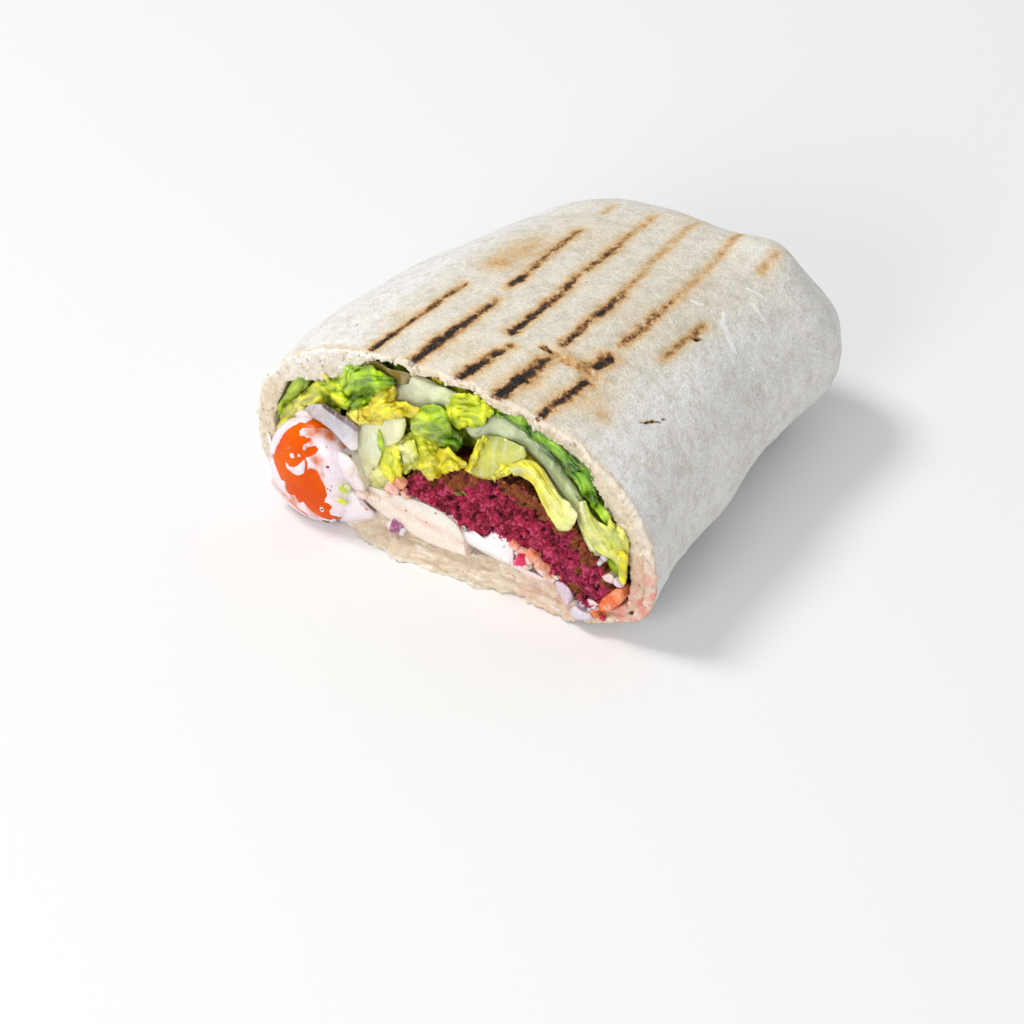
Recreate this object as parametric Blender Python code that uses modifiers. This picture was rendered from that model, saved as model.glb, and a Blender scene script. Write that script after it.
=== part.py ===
# Falafel wrap, one cut half, lying on its rolled seam.
# A large soft flatbread is rolled round a row of beetroot falafel, shredded
# lettuce, tomato, onion, a pale vegetable slab and garlic sauce, pressed on a
# ribbed grill and cut across the middle.  The cut looks along -Y, the tucked
# end along +Y, and the wrap rests on its flat underside at Z = 0.
#
# Sections are drawn in the plane of the cut: X across, Z up, in metres, with
# Y counted from the cut into the wrap.  Everything is moved at the end so that
# the origin lies under the middle of the whole thing.

import math

import bmesh
import bpy
from mathutils import Vector, noise

MM = 0.001

# ------------------------------------------------------------ driving sizes
LENGTH = 94.0 * MM                # cut face to tucked end
END_ROUND = 22.0 * MM             # how far back from the end it starts to close
END_POWER = 2.7                   # fullness of the closing curve
END_WIDTH_POWER = 0.40            # the end closes faster in height than width

# half widths and height at five places along the wrap
STATION_Y = (0.0, 15 * MM, 38 * MM, 57 * MM, 78 * MM, 94 * MM)
HALF_RIGHT = (48.2 * MM, 44.6 * MM, 42.4 * MM, 39.8 * MM, 40.0 * MM, 39.5 * MM)
HALF_LEFT = (50.4 * MM, 50.3 * MM, 47.4 * MM, 43.4 * MM, 38.4 * MM, 34.5 * MM)
HEIGHT = (47.2 * MM, 48.5 * MM, 48.2 * MM, 46.6 * MM, 44.0 * MM, 41.5 * MM)
WIDEST_AT = (0.36, 0.42, 0.45, 0.46, 0.46, 0.46)   # of the height

POWER_RIGHT = 2.4                 # squareness of the section, by side
POWER_LEFT = 2.3
POWER_TOP = 2.25
POWER_BOTTOM = 3.3
BASE_SINK = 1.3 * MM              # cut off flat where it rests

CORNER_LIFT = 4.2 * MM            # folded corner of the tucked end
CORNER_AT = (24 * MM, 84 * MM)    # its place, X and Y
CORNER_SIZE = 9.5 * MM
PLEAT_DEPTH = 2.3 * MM            # creases where the end is tucked in

# bread layers, measured inward from the outside of the wrap
LAYER_TOP = 3.3 * MM
LAYER_LEFT = 4.2 * MM
LAYER_BOTTOM = 2.2 * MM           # the single layer under the tomato
LAYER_OUTER = 3.3 * MM            # outer of the two layers, underside
LAYER_OUTER_SIDE = 2.9 * MM       # outer of the two layers, right side
SLIT = 0.45 * MM                  # between the two layers
DOUBLE_BOTTOM = 7.7 * MM          # both layers together
DOUBLE_CORNER = 3.8 * MM
DOUBLE_SIDE = 6.2 * MM
SAG_DEPTH = 2.4 * MM              # the filling presses the inner layer thin here
SAG_X = 1.0 * MM
SAG_WIDTH = 10.0 * MM
SEAM_ANGLE = -116.0               # where the outer layer ends, underneath
INNER_END_ANGLE = 47.0            # where the inner layer ends, top right
CAVITY_END = 81.0 * MM            # the roll is closed beyond this

# fillings
GAP = 0.35 * MM
FALAFEL_LEFT = (-13.0 * MM, 15.0 * MM)
FALAFEL_CROWN = (15.6 * MM, 28.6 * MM)      # control point of its arch
FALAFEL_RIGHT = (35.4 * MM, 9.8 * MM)
FALAFEL_HALF_THICK = 7.0 * MM
FALAFEL_BACK = 76.0 * MM

TOMATO_CENTRE = (-34.5 * MM, 14.9 * MM)
TOMATO_RADIUS = 10.5 * MM
TOMATO_PROUD = 2.2 * MM           # how far its face stands out of the cut

ONION_CENTRE = (-39.0 * MM, 4.2 * MM)
ONION_INNER = 22.5 * MM
ONION_THICK = 2.6 * MM
ONION_FROM, ONION_TO = 44.0, 87.0
ONION_DEPTH = 13.0 * MM

SLAB_LEFT = -22.8 * MM
SLAB_RIGHT = 2.2 * MM
SLAB_DEPTH = 74.0 * MM

SAUCE_LEFT = 3.0 * MM
SAUCE_RIGHT = 15.2 * MM
SAUCE_DEPTH = 72.0 * MM

LETTUCE_BACK = 79.5 * MM
LETTUCE_RELIEF = 1.5 * MM


# ------------------------------------------------------------ small helpers
def smooth01(v):
    v = max(0.0, min(1.0, v))
    return v * v * (3.0 - 2.0 * v)


def along(y, values):
    """Monotone blend between the named stations along the wrap."""
    if y <= STATION_Y[0]:
        return values[0]
    if y >= STATION_Y[-1]:
        return values[-1]
    for i in range(len(STATION_Y) - 1):
        if y <= STATION_Y[i + 1]:
            break
    slopes = []
    for k in range(len(STATION_Y) - 1):
        slopes.append((values[k + 1] - values[k]) / (STATION_Y[k + 1] - STATION_Y[k]))

    def tangent(k):
        if k == 0:
            return slopes[0]
        if k == len(slopes):
            return slopes[-1]
        a, b = slopes[k - 1], slopes[k]
        return 0.0 if a * b <= 0 else 2 * a * b / (a + b)

    h = STATION_Y[i + 1] - STATION_Y[i]
    t = (y - STATION_Y[i]) / h
    return ((2 * t ** 3 - 3 * t ** 2 + 1) * values[i]
            + (t ** 3 - 2 * t ** 2 + t) * h * tangent(i)
            + (-2 * t ** 3 + 3 * t ** 2) * values[i + 1]
            + (t ** 3 - t ** 2) * h * tangent(i + 1))


def by_angle(angle, keys):
    """Smooth blend of sizes given at angles (degrees) round the section."""
    angle = (angle + 180.0) % 360.0 - 180.0
    keys = list(keys)
    keys = [(keys[-1][0] - 360.0, keys[-1][1])] + keys + [(keys[0][0] + 360.0, keys[0][1])]
    for (a0, v0), (a1, v1) in zip(keys, keys[1:]):
        if a0 <= angle <= a1:
            return v0 + (v1 - v0) * smooth01((angle - a0) / (a1 - a0))
    return keys[0][1]


def closing(y):
    """1 in the body of the roll, falling to 0 at the tucked end."""
    if y <= LENGTH - END_ROUND:
        return 1.0
    t = min(0.9995, (y - (LENGTH - END_ROUND)) / END_ROUND)
    return (1.0 - t ** END_POWER) ** (1.0 / END_POWER)


def outer_point(angle, y):
    """A point of the outside of the wrap, (x, z), at an angle and a place."""
    c, s = math.cos(math.radians(angle)), math.sin(math.radians(angle))
    y = max(0.0, y)
    k = closing(y)
    wide = k ** END_WIDTH_POWER
    height = along(y, HEIGHT)
    middle = height * along(y, WIDEST_AT)
    if c >= 0:
        x = along(y, HALF_RIGHT) * wide * abs(c) ** (2 / POWER_RIGHT)
    else:
        x = -along(y, HALF_LEFT) * wide * abs(c) ** (2 / POWER_LEFT)
    if s >= 0:
        z = middle + (height - middle) * k * abs(s) ** (2 / POWER_TOP)
    else:
        z = middle - (middle + BASE_SINK) * k * abs(s) ** (2 / POWER_BOTTOM)
    if s > 0:
        d2 = ((x - CORNER_AT[0]) ** 2 + (y - CORNER_AT[1]) ** 2) / CORNER_SIZE ** 2
        z += CORNER_LIFT * math.exp(-d2) * smooth01(s / 0.5)
    return x, max(0.0, z)


def inward(angle, depth, y):
    """A point at a depth under the outside, square to the section's edge."""
    x, z = outer_point(angle, y)
    x0, z0 = outer_point(angle - 3.0, y)
    x1, z1 = outer_point(angle + 3.0, y)
    tx, tz = x1 - x0, z1 - z0
    n = math.hypot(tx, tz)
    return x - depth * tz / n, z + depth * tx / n


def single_depth(angle):
    """Thickness of the single layer over the top and down the left."""
    return by_angle(angle, ((-150, LAYER_BOTTOM), (-118, LAYER_BOTTOM), (30, LAYER_OUTER_SIDE),
                            (70, LAYER_TOP), (120, LAYER_TOP), (175, LAYER_LEFT)))


def outer_layer_depth(angle):
    return by_angle(angle, ((-118, LAYER_OUTER), (-69, LAYER_OUTER), (-56, 2.2 * MM), (-40, 2.1 * MM),
                            (0, LAYER_OUTER_SIDE), (50, LAYER_OUTER_SIDE), (70, LAYER_TOP)))


def double_depth(angle, x):
    """Depth of the inside of the inner layer, underneath and at the right."""
    d = by_angle(angle, ((-118, DOUBLE_BOTTOM), (-69, DOUBLE_BOTTOM), (-56, DOUBLE_CORNER),
                         (-40, DOUBLE_CORNER * 0.95), (-5, DOUBLE_SIDE), (30, DOUBLE_SIDE),
                         (50, 5.4 * MM)))
    if math.sin(math.radians(angle)) < 0:
        d -= SAG_DEPTH * math.exp(-((x - SAG_X) / SAG_WIDTH) ** 2)
    return d


# ------------------------------------------------------------ mesh helpers
def new_object(name, bm, collection, material=None):
    mesh = bpy.data.meshes.new(name)
    bmesh.ops.recalc_face_normals(bm, faces=bm.faces)
    if bm.calc_volume(signed=True) < 0:
        bmesh.ops.reverse_faces(bm, faces=bm.faces)
    bm.to_mesh(mesh)
    bm.free()
    obj = bpy.data.objects.new(name, mesh)
    collection.objects.link(obj)
    if material is not None:
        mesh.materials.append(material)
    return obj


def loft(rings):
    """A closed body through rings of equal point count, flat at both ends."""
    bm = bmesh.new()
    rows = [[bm.verts.new(p) for p in ring] for ring in rings]
    count = len(rows[0])
    for a, b in zip(rows, rows[1:]):
        for i in range(count):
            j = (i + 1) % count
            bm.faces.new((a[i], a[j], b[j], b[i]))
    front = bm.faces.new(rows[0][::-1])
    bm.faces.new(rows[-1])
    return bm, front


def roughen_cap(bm, face, amount, size, cuts=1, seed=0.0):
    """Break a flat end into small facets that rise and fall along Y."""
    ring = set(face.verts)
    out = bmesh.ops.triangulate(bm, faces=[face], quad_method='BEAUTY', ngon_method='BEAUTY')
    inner = list({e for f in out['faces'] for e in f.edges
                  if all(g in out['faces'] for g in e.link_faces)})
    res = bmesh.ops.subdivide_edges(bm, edges=inner, cuts=cuts)
    fresh = [g for g in res['geom_inner'] if isinstance(g, bmesh.types.BMVert)]
    for v in fresh:
        if v in ring:
            continue
        v.co.y += amount * noise.noise(Vector((v.co.x / size, v.co.z / size, seed)))
    bmesh.ops.triangulate(bm, faces=[f for f in bm.faces if len(f.verts) > 4])


def squeeze(x, z, y):
    """Carries a point of the cut's plane back along the narrowing roll."""
    half = HALF_RIGHT if x >= 0 else HALF_LEFT
    tight = 1.0 - 0.05 * smooth01(y / (70 * MM))
    return (x * tight * along(y, half) / half[0],
            z * min(1.0, along(y, HEIGHT) / HEIGHT[0]))


def material(name, colour, rough, **extra):
    m = bpy.data.materials.new(name)
    m.use_nodes = True
    b = m.node_tree.nodes["Principled BSDF"]
    b.inputs["Base Color"].default_value = (*colour, 1.0)
    b.inputs["Roughness"].default_value = rough
    b.inputs["Metallic"].default_value = 0.0
    m.diffuse_color = (*colour, 1.0)
    return m


def apply_modifiers(obj):
    dg = bpy.context.evaluated_depsgraph_get()
    mesh = bpy.data.meshes.new_from_object(obj.evaluated_get(dg))
    obj.modifiers.clear()
    obj.data = mesh


# ------------------------------------------------------------ the scene
for old in list(bpy.data.objects):
    bpy.data.objects.remove(old)

wrap = bpy.data.collections.new("falafel_wrap")
bpy.context.scene.collection.children.link(wrap)
tools = bpy.data.collections.new("cutters")
bpy.context.scene.collection.children.link(tools)

BREAD = material("flatbread", (0.70, 0.62, 0.50), 0.75)
CRUMB = material("beetroot_falafel", (0.28, 0.02, 0.05), 0.80)
LEAF = material("lettuce", (0.32, 0.47, 0.05), 0.40)
TOMATO = material("tomato", (0.83, 0.13, 0.01), 0.15)
ONION = material("red_onion", (0.62, 0.56, 0.58), 0.30)
PALE = material("pale_vegetable", (0.86, 0.80, 0.68), 0.30)
SAUCE = material("garlic_sauce", (0.90, 0.84, 0.84), 0.20)
DICE = material("chopped_vegetables", (0.80, 0.30, 0.15), 0.35)


# ------------------------------------------------------------ flatbread
ROUND = 60                        # points round the outside
STEPS = (0, 6, 13, 21, 30, 40, 49, 56, 62, 67, 72, 76, 80, 83.5, 86.5, 89, 91, 92.6, 93.6, 94)


def pleat(x, z, y, angle):
    """Tucked folds at the closed end, running in from the rim."""
    t = smooth01((y - (LENGTH - 0.55 * END_ROUND)) / (0.4 * END_ROUND))
    crease = 0.0
    for at in (-152.0, -28.0, 38.0, 128.0):
        d = abs((angle - at + 180.0) % 360.0 - 180.0)
        crease += max(0.0, 1.0 - d / 13.0)
    return PLEAT_DEPTH * t * min(1.0, crease)


rings = []
for step in STEPS:
    y = step * MM
    ring = []
    mid = along(y, HEIGHT) * along(y, WIDEST_AT)
    for i in range(ROUND):
        angle = 360.0 * i / ROUND
        x, z = outer_point(angle, y)
        p = pleat(x, z, y, angle)
        r = math.hypot(x, z - mid)
        if r > 1e-6 and p > 0:
            x -= x / r * p
            z -= (z - mid) / r * p
        ring.append(Vector((x, y, max(0.0, z))))
    rings.append(ring)
bm, _ = loft(rings)
flatbread = new_object("flatbread", bm, wrap, BREAD)


def hollow_ring(y):
    """The space inside the roll, with the slit between its two layers.

    It starts where the inner layer ends at the upper right, runs over the
    top, down the left, along the inner layer to its end, and comes back
    through the slit to the seam underneath.
    """
    pts = []
    seam = SEAM_ANGLE
    end = INNER_END_ANGLE
    # over the top and down the left, under the single layer
    for k in range(25):
        a = end + 5.0 + (360.0 - 128.0 - end - 5.0) * k / 24.0
        d = single_depth(a)
        pts.append(inward(a, d, y))
    # along the inside of the inner layer, from the seam to its end
    for k in range(25):
        a = -121.0 + (end + 121.0) * k / 24.0
        x, _ = outer_point(a, y)
        d = double_depth(a, x)
        d = LAYER_BOTTOM + (d - LAYER_BOTTOM) * smooth01((a + 126.0) / 14.0)
        pts.append(inward(a, d, y))
    # round the inner layer's end and back through the slit
    for k in range(19):
        a = end + (seam + 4.0 - end) * k / 18.0
        pts.append(inward(a, outer_layer_depth(a) + SLIT, y))
    pts.append(inward(seam - 4.5, 1.2 * MM, y))
    pts.append(inward(seam - 6.5, -1.5 * MM, y))
    pts.append(inward(seam - 4.5, -1.5 * MM, y))
    pts.append(inward(seam - 2.0, 0.9 * MM, y))
    for k in range(20):
        a = seam + 4.5 + (end + 2.5 - seam - 4.5) * k / 19.0
        pts.append(inward(a, outer_layer_depth(a), y))
    return [Vector((x, y, z)) for x, z in pts]


hollow_rings = []
for k, y in enumerate((-2, 7, 17, 28, 40, 50, 58, 65, 71, 76, CAVITY_END / MM)):
    ring = hollow_ring(max(0.0, y * MM))
    for p in ring:
        p.y = y * MM
    hollow_rings.append(ring)
bm, _ = loft(hollow_rings)
hollow = new_object("roll_hollow", bm, tools)
hollow.hide_render = True
hollow.display_type = 'WIRE'

cut = flatbread.modifiers.new("hollow", 'BOOLEAN')
cut.operation = 'DIFFERENCE'
cut.solver = 'EXACT'
cut.object = hollow


# ------------------------------------------------------------ falafel
def falafel_axis(t):
    a, b, c = FALAFEL_LEFT, FALAFEL_CROWN, FALAFEL_RIGHT
    x = (1 - t) ** 2 * a[0] + 2 * t * (1 - t) * b[0] + t * t * c[0]
    z = (1 - t) ** 2 * a[1] + 2 * t * (1 - t) * b[1] + t * t * c[1]
    dx = 2 * (1 - t) * (b[0] - a[0]) + 2 * t * (c[0] - b[0])
    dz = 2 * (1 - t) * (b[1] - a[1]) + 2 * t * (c[1] - b[1])
    n = math.hypot(dx, dz)
    return x, z, -dz / n, dx / n


def falafel_half(t):
    return FALAFEL_HALF_THICK * min(1.0, t / 0.36) ** 0.62 * max(0.0, 1.0 - t ** 7) ** 0.5


def falafel_ring(y, shrink, count=18):
    pts = []
    for k in range(count):
        t = 0.004 + 0.992 * (0.5 - 0.5 * math.cos(math.pi * (k + 0.5) / count))
        x, z, nx, nz = falafel_axis(t)
        h = max(0.4 * MM, falafel_half(t) - shrink)
        rough = 0.55 * MM * noise.noise(Vector((x / (4 * MM), y / (5 * MM), 1.7)))
        pts.append((x + nx * (h + rough), z + nz * (h + rough)))
    for k in range(count):
        t = 0.004 + 0.992 * (0.5 + 0.5 * math.cos(math.pi * (k + 0.5) / count))
        x, z, nx, nz = falafel_axis(t)
        h = max(0.4 * MM, falafel_half(t) - shrink)
        rough = 0.55 * MM * noise.noise(Vector((x / (4 * MM), y / (5 * MM), 5.3)))
        pts.append((x - nx * (h + rough), z - nz * (h + rough)))
    out = []
    for x, z in pts:
        x, z = squeeze(x, z, y)
        out.append(Vector((x, y, z)))
    return out


rings = []
for y, shrink in ((-0.4, 0.25), (2, 0.0), (7, 0.0), (14, 0.0), (22, 0.1), (32, 0.2), (43, 0.3),
                  (54, 0.5), (64, 0.9), (71, 1.8), (FALAFEL_BACK / MM, 3.2)):
    rings.append(falafel_ring(y * MM, shrink * MM))
bm, front = loft(rings)
roughen_cap(bm, front, 0.9 * MM, 3.0 * MM, cuts=1, seed=2.0)
falafel = new_object("falafel", bm, wrap, CRUMB)


# ------------------------------------------------------------ tomato half
bpy.ops.mesh.primitive_uv_sphere_add(segments=24, ring_count=14, radius=TOMATO_RADIUS,
                                     location=(0, 0, 0))
tomato = bpy.context.object
tomato.name = tomato.data.name = "cherry_tomato"
for c in list(tomato.users_collection):
    c.objects.unlink(tomato)
wrap.objects.link(tomato)
tomato.data.materials.append(TOMATO)
bm = bmesh.new()
bm.from_mesh(tomato.data)
for v in bm.verts:
    # slightly taller than wide, pressed flat against the bread underneath
    v.co.z *= 1.02
    v.co.y *= 1.12
    v.co.x *= 1.0
res = bmesh.ops.bisect_plane(bm, geom=bm.verts[:] + bm.edges[:] + bm.faces[:],
                             plane_co=(0, -0.6 * MM, 0), plane_no=(0, -1, 0), clear_outer=True)
edges = [e for e in res['geom_cut'] if isinstance(e, bmesh.types.BMEdge)]
face = bmesh.ops.contextual_create(bm, geom=edges)['faces'][0]
poke = bmesh.ops.poke(bm, faces=[face])
for v in poke['verts']:
    v.co.y -= 0.9 * MM
for v in bm.verts:
    v.co += Vector((TOMATO_CENTRE[0], 0.6 * MM - TOMATO_PROUD + 0.9 * MM, TOMATO_CENTRE[1]))
bmesh.ops.recalc_face_normals(bm, faces=bm.faces)
bm.to_mesh(tomato.data)
bm.free()


# ------------------------------------------------------------ onion slice
def arc_ring(y, inset):
    pts = []
    n = 9
    for k in range(n):
        a = math.radians(ONION_FROM + inset * 40 + (ONION_TO - ONION_FROM - inset * 80) * k / (n - 1))
        r = ONION_INNER + ONION_THICK
        pts.append((ONION_CENTRE[0] + r * math.cos(a), ONION_CENTRE[1] + r * math.sin(a)))
    for k in range(n):
        a = math.radians(ONION_TO - inset * 40 - (ONION_TO - ONION_FROM - inset * 80) * k / (n - 1))
        r = ONION_INNER
        pts.append((ONION_CENTRE[0] + r * math.cos(a), ONION_CENTRE[1] + r * math.sin(a)))
    return [Vector((x, y, z)) for x, z in pts]


bm, _ = loft([arc_ring(y * MM, i) for y, i in ((-0.6, 0.0), (3, 0.0), (7, 0.02), (ONION_DEPTH / MM, 0.08))])
onion = new_object("onion_slice", bm, wrap, ONION)
soft = onion.modifiers.new("edges", 'BEVEL')
soft.width = 0.35 * MM
soft.segments = 1
soft.limit_method = 'ANGLE'
soft.angle_limit = math.radians(50)


# ------------------------------------------------------------ pale slab
def slab_ring(y, lift):
    n = 8
    pts = []
    for k in range(n):
        x = SLAB_LEFT + (SLAB_RIGHT - SLAB_LEFT) * k / (n - 1)
        t = k / (n - 1)
        pts.append((x, (8.35 - 2.45 * t + 0.35 * math.sin(math.pi * t)) * MM))
    for k in range(n):
        t = 1 - k / (n - 1)
        x = SLAB_LEFT + (SLAB_RIGHT - SLAB_LEFT) * t
        pts.append((x, (12.1 - 1.1 * t) * MM + lift * (1.0 - 0.35 * t)))
    return [Vector((*squeeze(x, z, y)[:1], y, squeeze(x, z, y)[1])) for x, z in pts]


bm, _ = loft([slab_ring(y * MM, l * MM) for y, l in
              ((-0.6, 0.0), (0.9, 0.55), (2.4, 1.1), (10, 1.2), (22, 1.0), (48, 0.9), (66, 0.8), (SLAB_DEPTH / MM, 0.5))])
slab = new_object("pale_slab", bm, wrap, PALE)
soft = slab.modifiers.new("edges", 'BEVEL')
soft.width = 0.3 * MM
soft.segments = 1
soft.limit_method = 'ANGLE'
soft.angle_limit = math.radians(40)


# ------------------------------------------------------------ sauce
def sauce_ring(y, low, high, left, right, droop):
    n = 8
    pts = []
    for k in range(n):
        t = k / (n - 1)
        x = left + (right - left) * t
        pts.append((x, (low + 1.8 * t) * MM))
    for k in range(n):
        t = 1 - k / (n - 1)
        x = left + (right - left) * t
        round_off = 1.0 - abs(2 * t - 1) ** 4
        pts.append((x, (low + 1.8 * t + (high - low - 1.8 * t) * (0.45 + 0.55 * round_off) - droop) * MM))
    return [Vector((squeeze(x, z, y)[0], y, squeeze(x, z, y)[1])) for x, z in pts]


bm, _ = loft([sauce_ring(y * MM, 6.2, h, SAUCE_LEFT, SAUCE_RIGHT, d) for y, h, d in
              ((-0.7, 11.0, 0.9), (0.6, 11.6, 0.2), (6, 11.6, 0.0), (16, 11.4, 0.0), (40, 11.3, 0.0), (62, 11.1, 0.1), (SAUCE_DEPTH / MM, 10.8, 0.5))])
sauce = new_object("sauce_pool", bm, wrap, SAUCE)


def blob(name, centre, size, turn, mat, cut_at=None, wobble=0.25, seed=0.0, segs=(14, 9), boxy=2.6):
    """A small rounded piece: a superellipsoid turned in the cut's plane."""
    bpy.ops.mesh.primitive_uv_sphere_add(segments=segs[0], ring_count=segs[1], radius=1.0)
    obj = bpy.context.object
    obj.name = obj.data.name = name
    for c in list(obj.users_collection):
        c.objects.unlink(obj)
    wrap.objects.link(obj)
    obj.data.materials.append(mat)
    ca, sa = math.cos(math.radians(turn)), math.sin(math.radians(turn))
    for v in obj.data.vertices:
        d = v.co.normalized()
        k = (abs(d.x) ** boxy + abs(d.y) ** boxy + abs(d.z) ** boxy) ** (-1.0 / boxy)
        k *= 1.0 + wobble * 0.5 * noise.noise(d * 1.6 + Vector((seed, 0, 0)))
        p = Vector((d.x * k * size[0] / 2, d.y * k * size[1] / 2, d.z * k * size[2] / 2))
        p = Vector((p.x * ca - p.z * sa, p.y, p.x * sa + p.z * ca))
        v.co = p + Vector(centre)
    return obj


# chopped vegetables between the falafel and the bread, right of the sauce
def dice_ring(y, shrink):
    n = 7
    pts = []
    for k in range(n):
        t = k / (n - 1)
        x = (15.9 + 8.2 * t) * MM
        pts.append((x, (8.3 + shrink) * MM))
    for k in range(n):
        t = 1 - k / (n - 1)
        x = (15.9 + 8.2 * t) * MM
        pts.append((x, (11.9 - 2.0 * t - shrink + 0.35 * math.cos(9.0 * t)) * MM))
    return [Vector((squeeze(x, z, y)[0], y, squeeze(x, z, y)[1])) for x, z in pts]


bm, _ = loft([dice_ring(y * MM, s) for y, s in ((-0.5, 0.25), (0.6, 0.0), (8, 0.0), (24, 0.1), (44, 0.15), (62, 0.2), (70, 0.5))])
dice = new_object("chopped_vegetables", bm, wrap, DICE)

blob("onion_piece_left", (26.2 * MM, 1.6 * MM, 7.2 * MM), (3.4 * MM, 5.6 * MM, 3.3 * MM), -30, ONION,
     wobble=0.3, seed=3.1, boxy=3.4)
blob("onion_piece_right", (30.8 * MM, 1.8 * MM, 7.0 * MM), (4.6 * MM, 5.6 * MM, 2.6 * MM), -8, ONION,
     wobble=0.3, seed=7.7, boxy=3.4)
blob("tomato_piece", (36.5 * MM, 1.7 * MM, 8.9 * MM), (4.4 * MM, 6.0 * MM, 2.6 * MM), 52, TOMATO,
     wobble=0.3, seed=5.2, boxy=3.2)


# ------------------------------------------------------------ lettuce
def lettuce_ring(y, shrink):
    """The heap fills the roll above the falafel and over the tomato.

    Behind the tomato it sinks to the bread and fills the roll's left side.
    """
    back = smooth01((y - ONION_DEPTH - 2 * MM) / (9 * MM))
    last = 172.0 + 60.0 * back
    pts = []
    # under the bread, from the right end over the top to the left
    for k in range(30):
        a = 4.0 + (last - 4.0) * k / 29.0
        if a < INNER_END_ANGLE + 4:
            x, _ = outer_point(a, y)
            d = double_depth(a, x)
        else:
            d = single_depth(a)
            d += (5.4 * MM - d) * (1 - smooth01((a - INNER_END_ANGLE - 4) / 10.0))
        lump = 0.35 * MM * (1 + math.sin(0.21 * a + 60 * y)) + shrink
        pts.append(inward(a, d + GAP + lump, y))
    # over the onion slice and the tomato, or down to the bread behind them
    ox, oz = ONION_CENTRE
    r = ONION_INNER + ONION_THICK + 0.6 * MM + shrink
    low = pts[-1]
    near = squeeze(SLAB_LEFT - 1.4 * MM - shrink, 13.8 * MM, y)
    for k in range(8):
        a = math.radians(97.0 - (97.0 - 40.0) * k / 7.0)
        x, z = squeeze(ox + r * math.cos(a), oz + r * math.sin(a), y)
        t = (k + 1) / 8.0
        bx, bz = low[0] + (near[0] - low[0]) * t, low[1] + (near[1] - low[1]) * t
        pts.append((x + (bx - x) * back, z + (bz - z) * back))
    # down to the slab, along it, and over the falafel to the right
    pts.append(squeeze(-19.8 * MM + shrink, 16.0 * MM + shrink, y))
    pts.append(squeeze(-18.6 * MM, 14.4 * MM + shrink, y))
    pts.append(squeeze(-15.2 * MM - shrink, 14.3 * MM + shrink, y))
    for k in range(17):
        t = 0.0 + 0.985 * k / 16.0
        x, z, nx, nz = falafel_axis(t)
        h = falafel_half(t) + 0.75 * MM + shrink
        if k == 0:
            pts.append(squeeze(x - 2.0 * MM, z + 0.4 * MM, y))
        else:
            pts.append(squeeze(x + nx * h, z + nz * h, y))
    return [Vector((x, y, z)) for x, z in pts]


rings = [lettuce_ring(y * MM, s * MM) for y, s in
         ((-0.4, 0.3), (1.6, 0.0), (6, 0.0), (14, 0.05), (17.5, 0.05), (21, 0.1), (25, 0.1),
          (36, 0.15), (50, 0.25), (64, 0.4), (74, 0.8), (LETTUCE_BACK / MM, 1.8))]
bm, front = loft(rings)
roughen_cap(bm, front, LETTUCE_RELIEF * 2.0, 6.0 * MM, cuts=2, seed=4.0)
lettuce = new_object("lettuce", bm, wrap, LEAF)


# ------------------------------------------------------------ set down
bpy.context.view_layer.update()
dg = bpy.context.evaluated_depsgraph_get()
low = Vector((1e9, 1e9, 1e9))
high = -low
for obj in wrap.objects:
    me = obj.evaluated_get(dg).to_mesh()
    for v in me.vertices:
        p = obj.matrix_world @ v.co
        low = Vector(map(min, low, p))
        high = Vector(map(max, high, p))
    obj.evaluated_get(dg).to_mesh_clear()
root = bpy.data.objects.new("wrap_root", None)
wrap.objects.link(root)
for obj in [o for o in wrap.objects if o is not root] + list(tools.objects):
    obj.parent = root
    if obj.type == 'MESH':
        for p in obj.data.polygons:
            p.use_smooth = False
root.location = (-(low.x + high.x) / 2, -(low.y + high.y) / 2, -low.z)
bpy.context.view_layer.update()
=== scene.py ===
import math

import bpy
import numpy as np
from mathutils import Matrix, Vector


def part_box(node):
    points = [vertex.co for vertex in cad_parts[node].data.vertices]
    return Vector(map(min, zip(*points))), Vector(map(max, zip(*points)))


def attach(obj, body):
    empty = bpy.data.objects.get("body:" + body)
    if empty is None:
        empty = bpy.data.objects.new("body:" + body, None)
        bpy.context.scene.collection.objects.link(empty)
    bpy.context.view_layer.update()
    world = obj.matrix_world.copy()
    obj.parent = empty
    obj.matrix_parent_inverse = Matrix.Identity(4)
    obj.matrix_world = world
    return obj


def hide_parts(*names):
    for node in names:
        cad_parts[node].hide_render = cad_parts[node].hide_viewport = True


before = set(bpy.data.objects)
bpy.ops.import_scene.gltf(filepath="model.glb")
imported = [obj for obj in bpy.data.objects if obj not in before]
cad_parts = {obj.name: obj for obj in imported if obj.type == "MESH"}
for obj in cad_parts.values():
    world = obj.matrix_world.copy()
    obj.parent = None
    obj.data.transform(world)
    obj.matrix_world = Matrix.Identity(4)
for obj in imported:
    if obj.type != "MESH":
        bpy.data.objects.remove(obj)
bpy.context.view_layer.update()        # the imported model: bodies, nodes, joints, record

# The cut half of a rolled flatbread wrap, dressed for looking at.  Shapes are
# worked out in millimetres in the section's own axes: X across the cut, Y from
# the cut into the wrap, Z up from the surface that it rests on.  They are
# shifted at the end by where the flatbread node really lies.

MM = 0.001
_lo, _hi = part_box("flatbread")
SHIFT = np.array([_lo.x / MM + 50.4, _lo.y / MM, 0.0])
RNG = np.random.default_rng(71)

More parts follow.
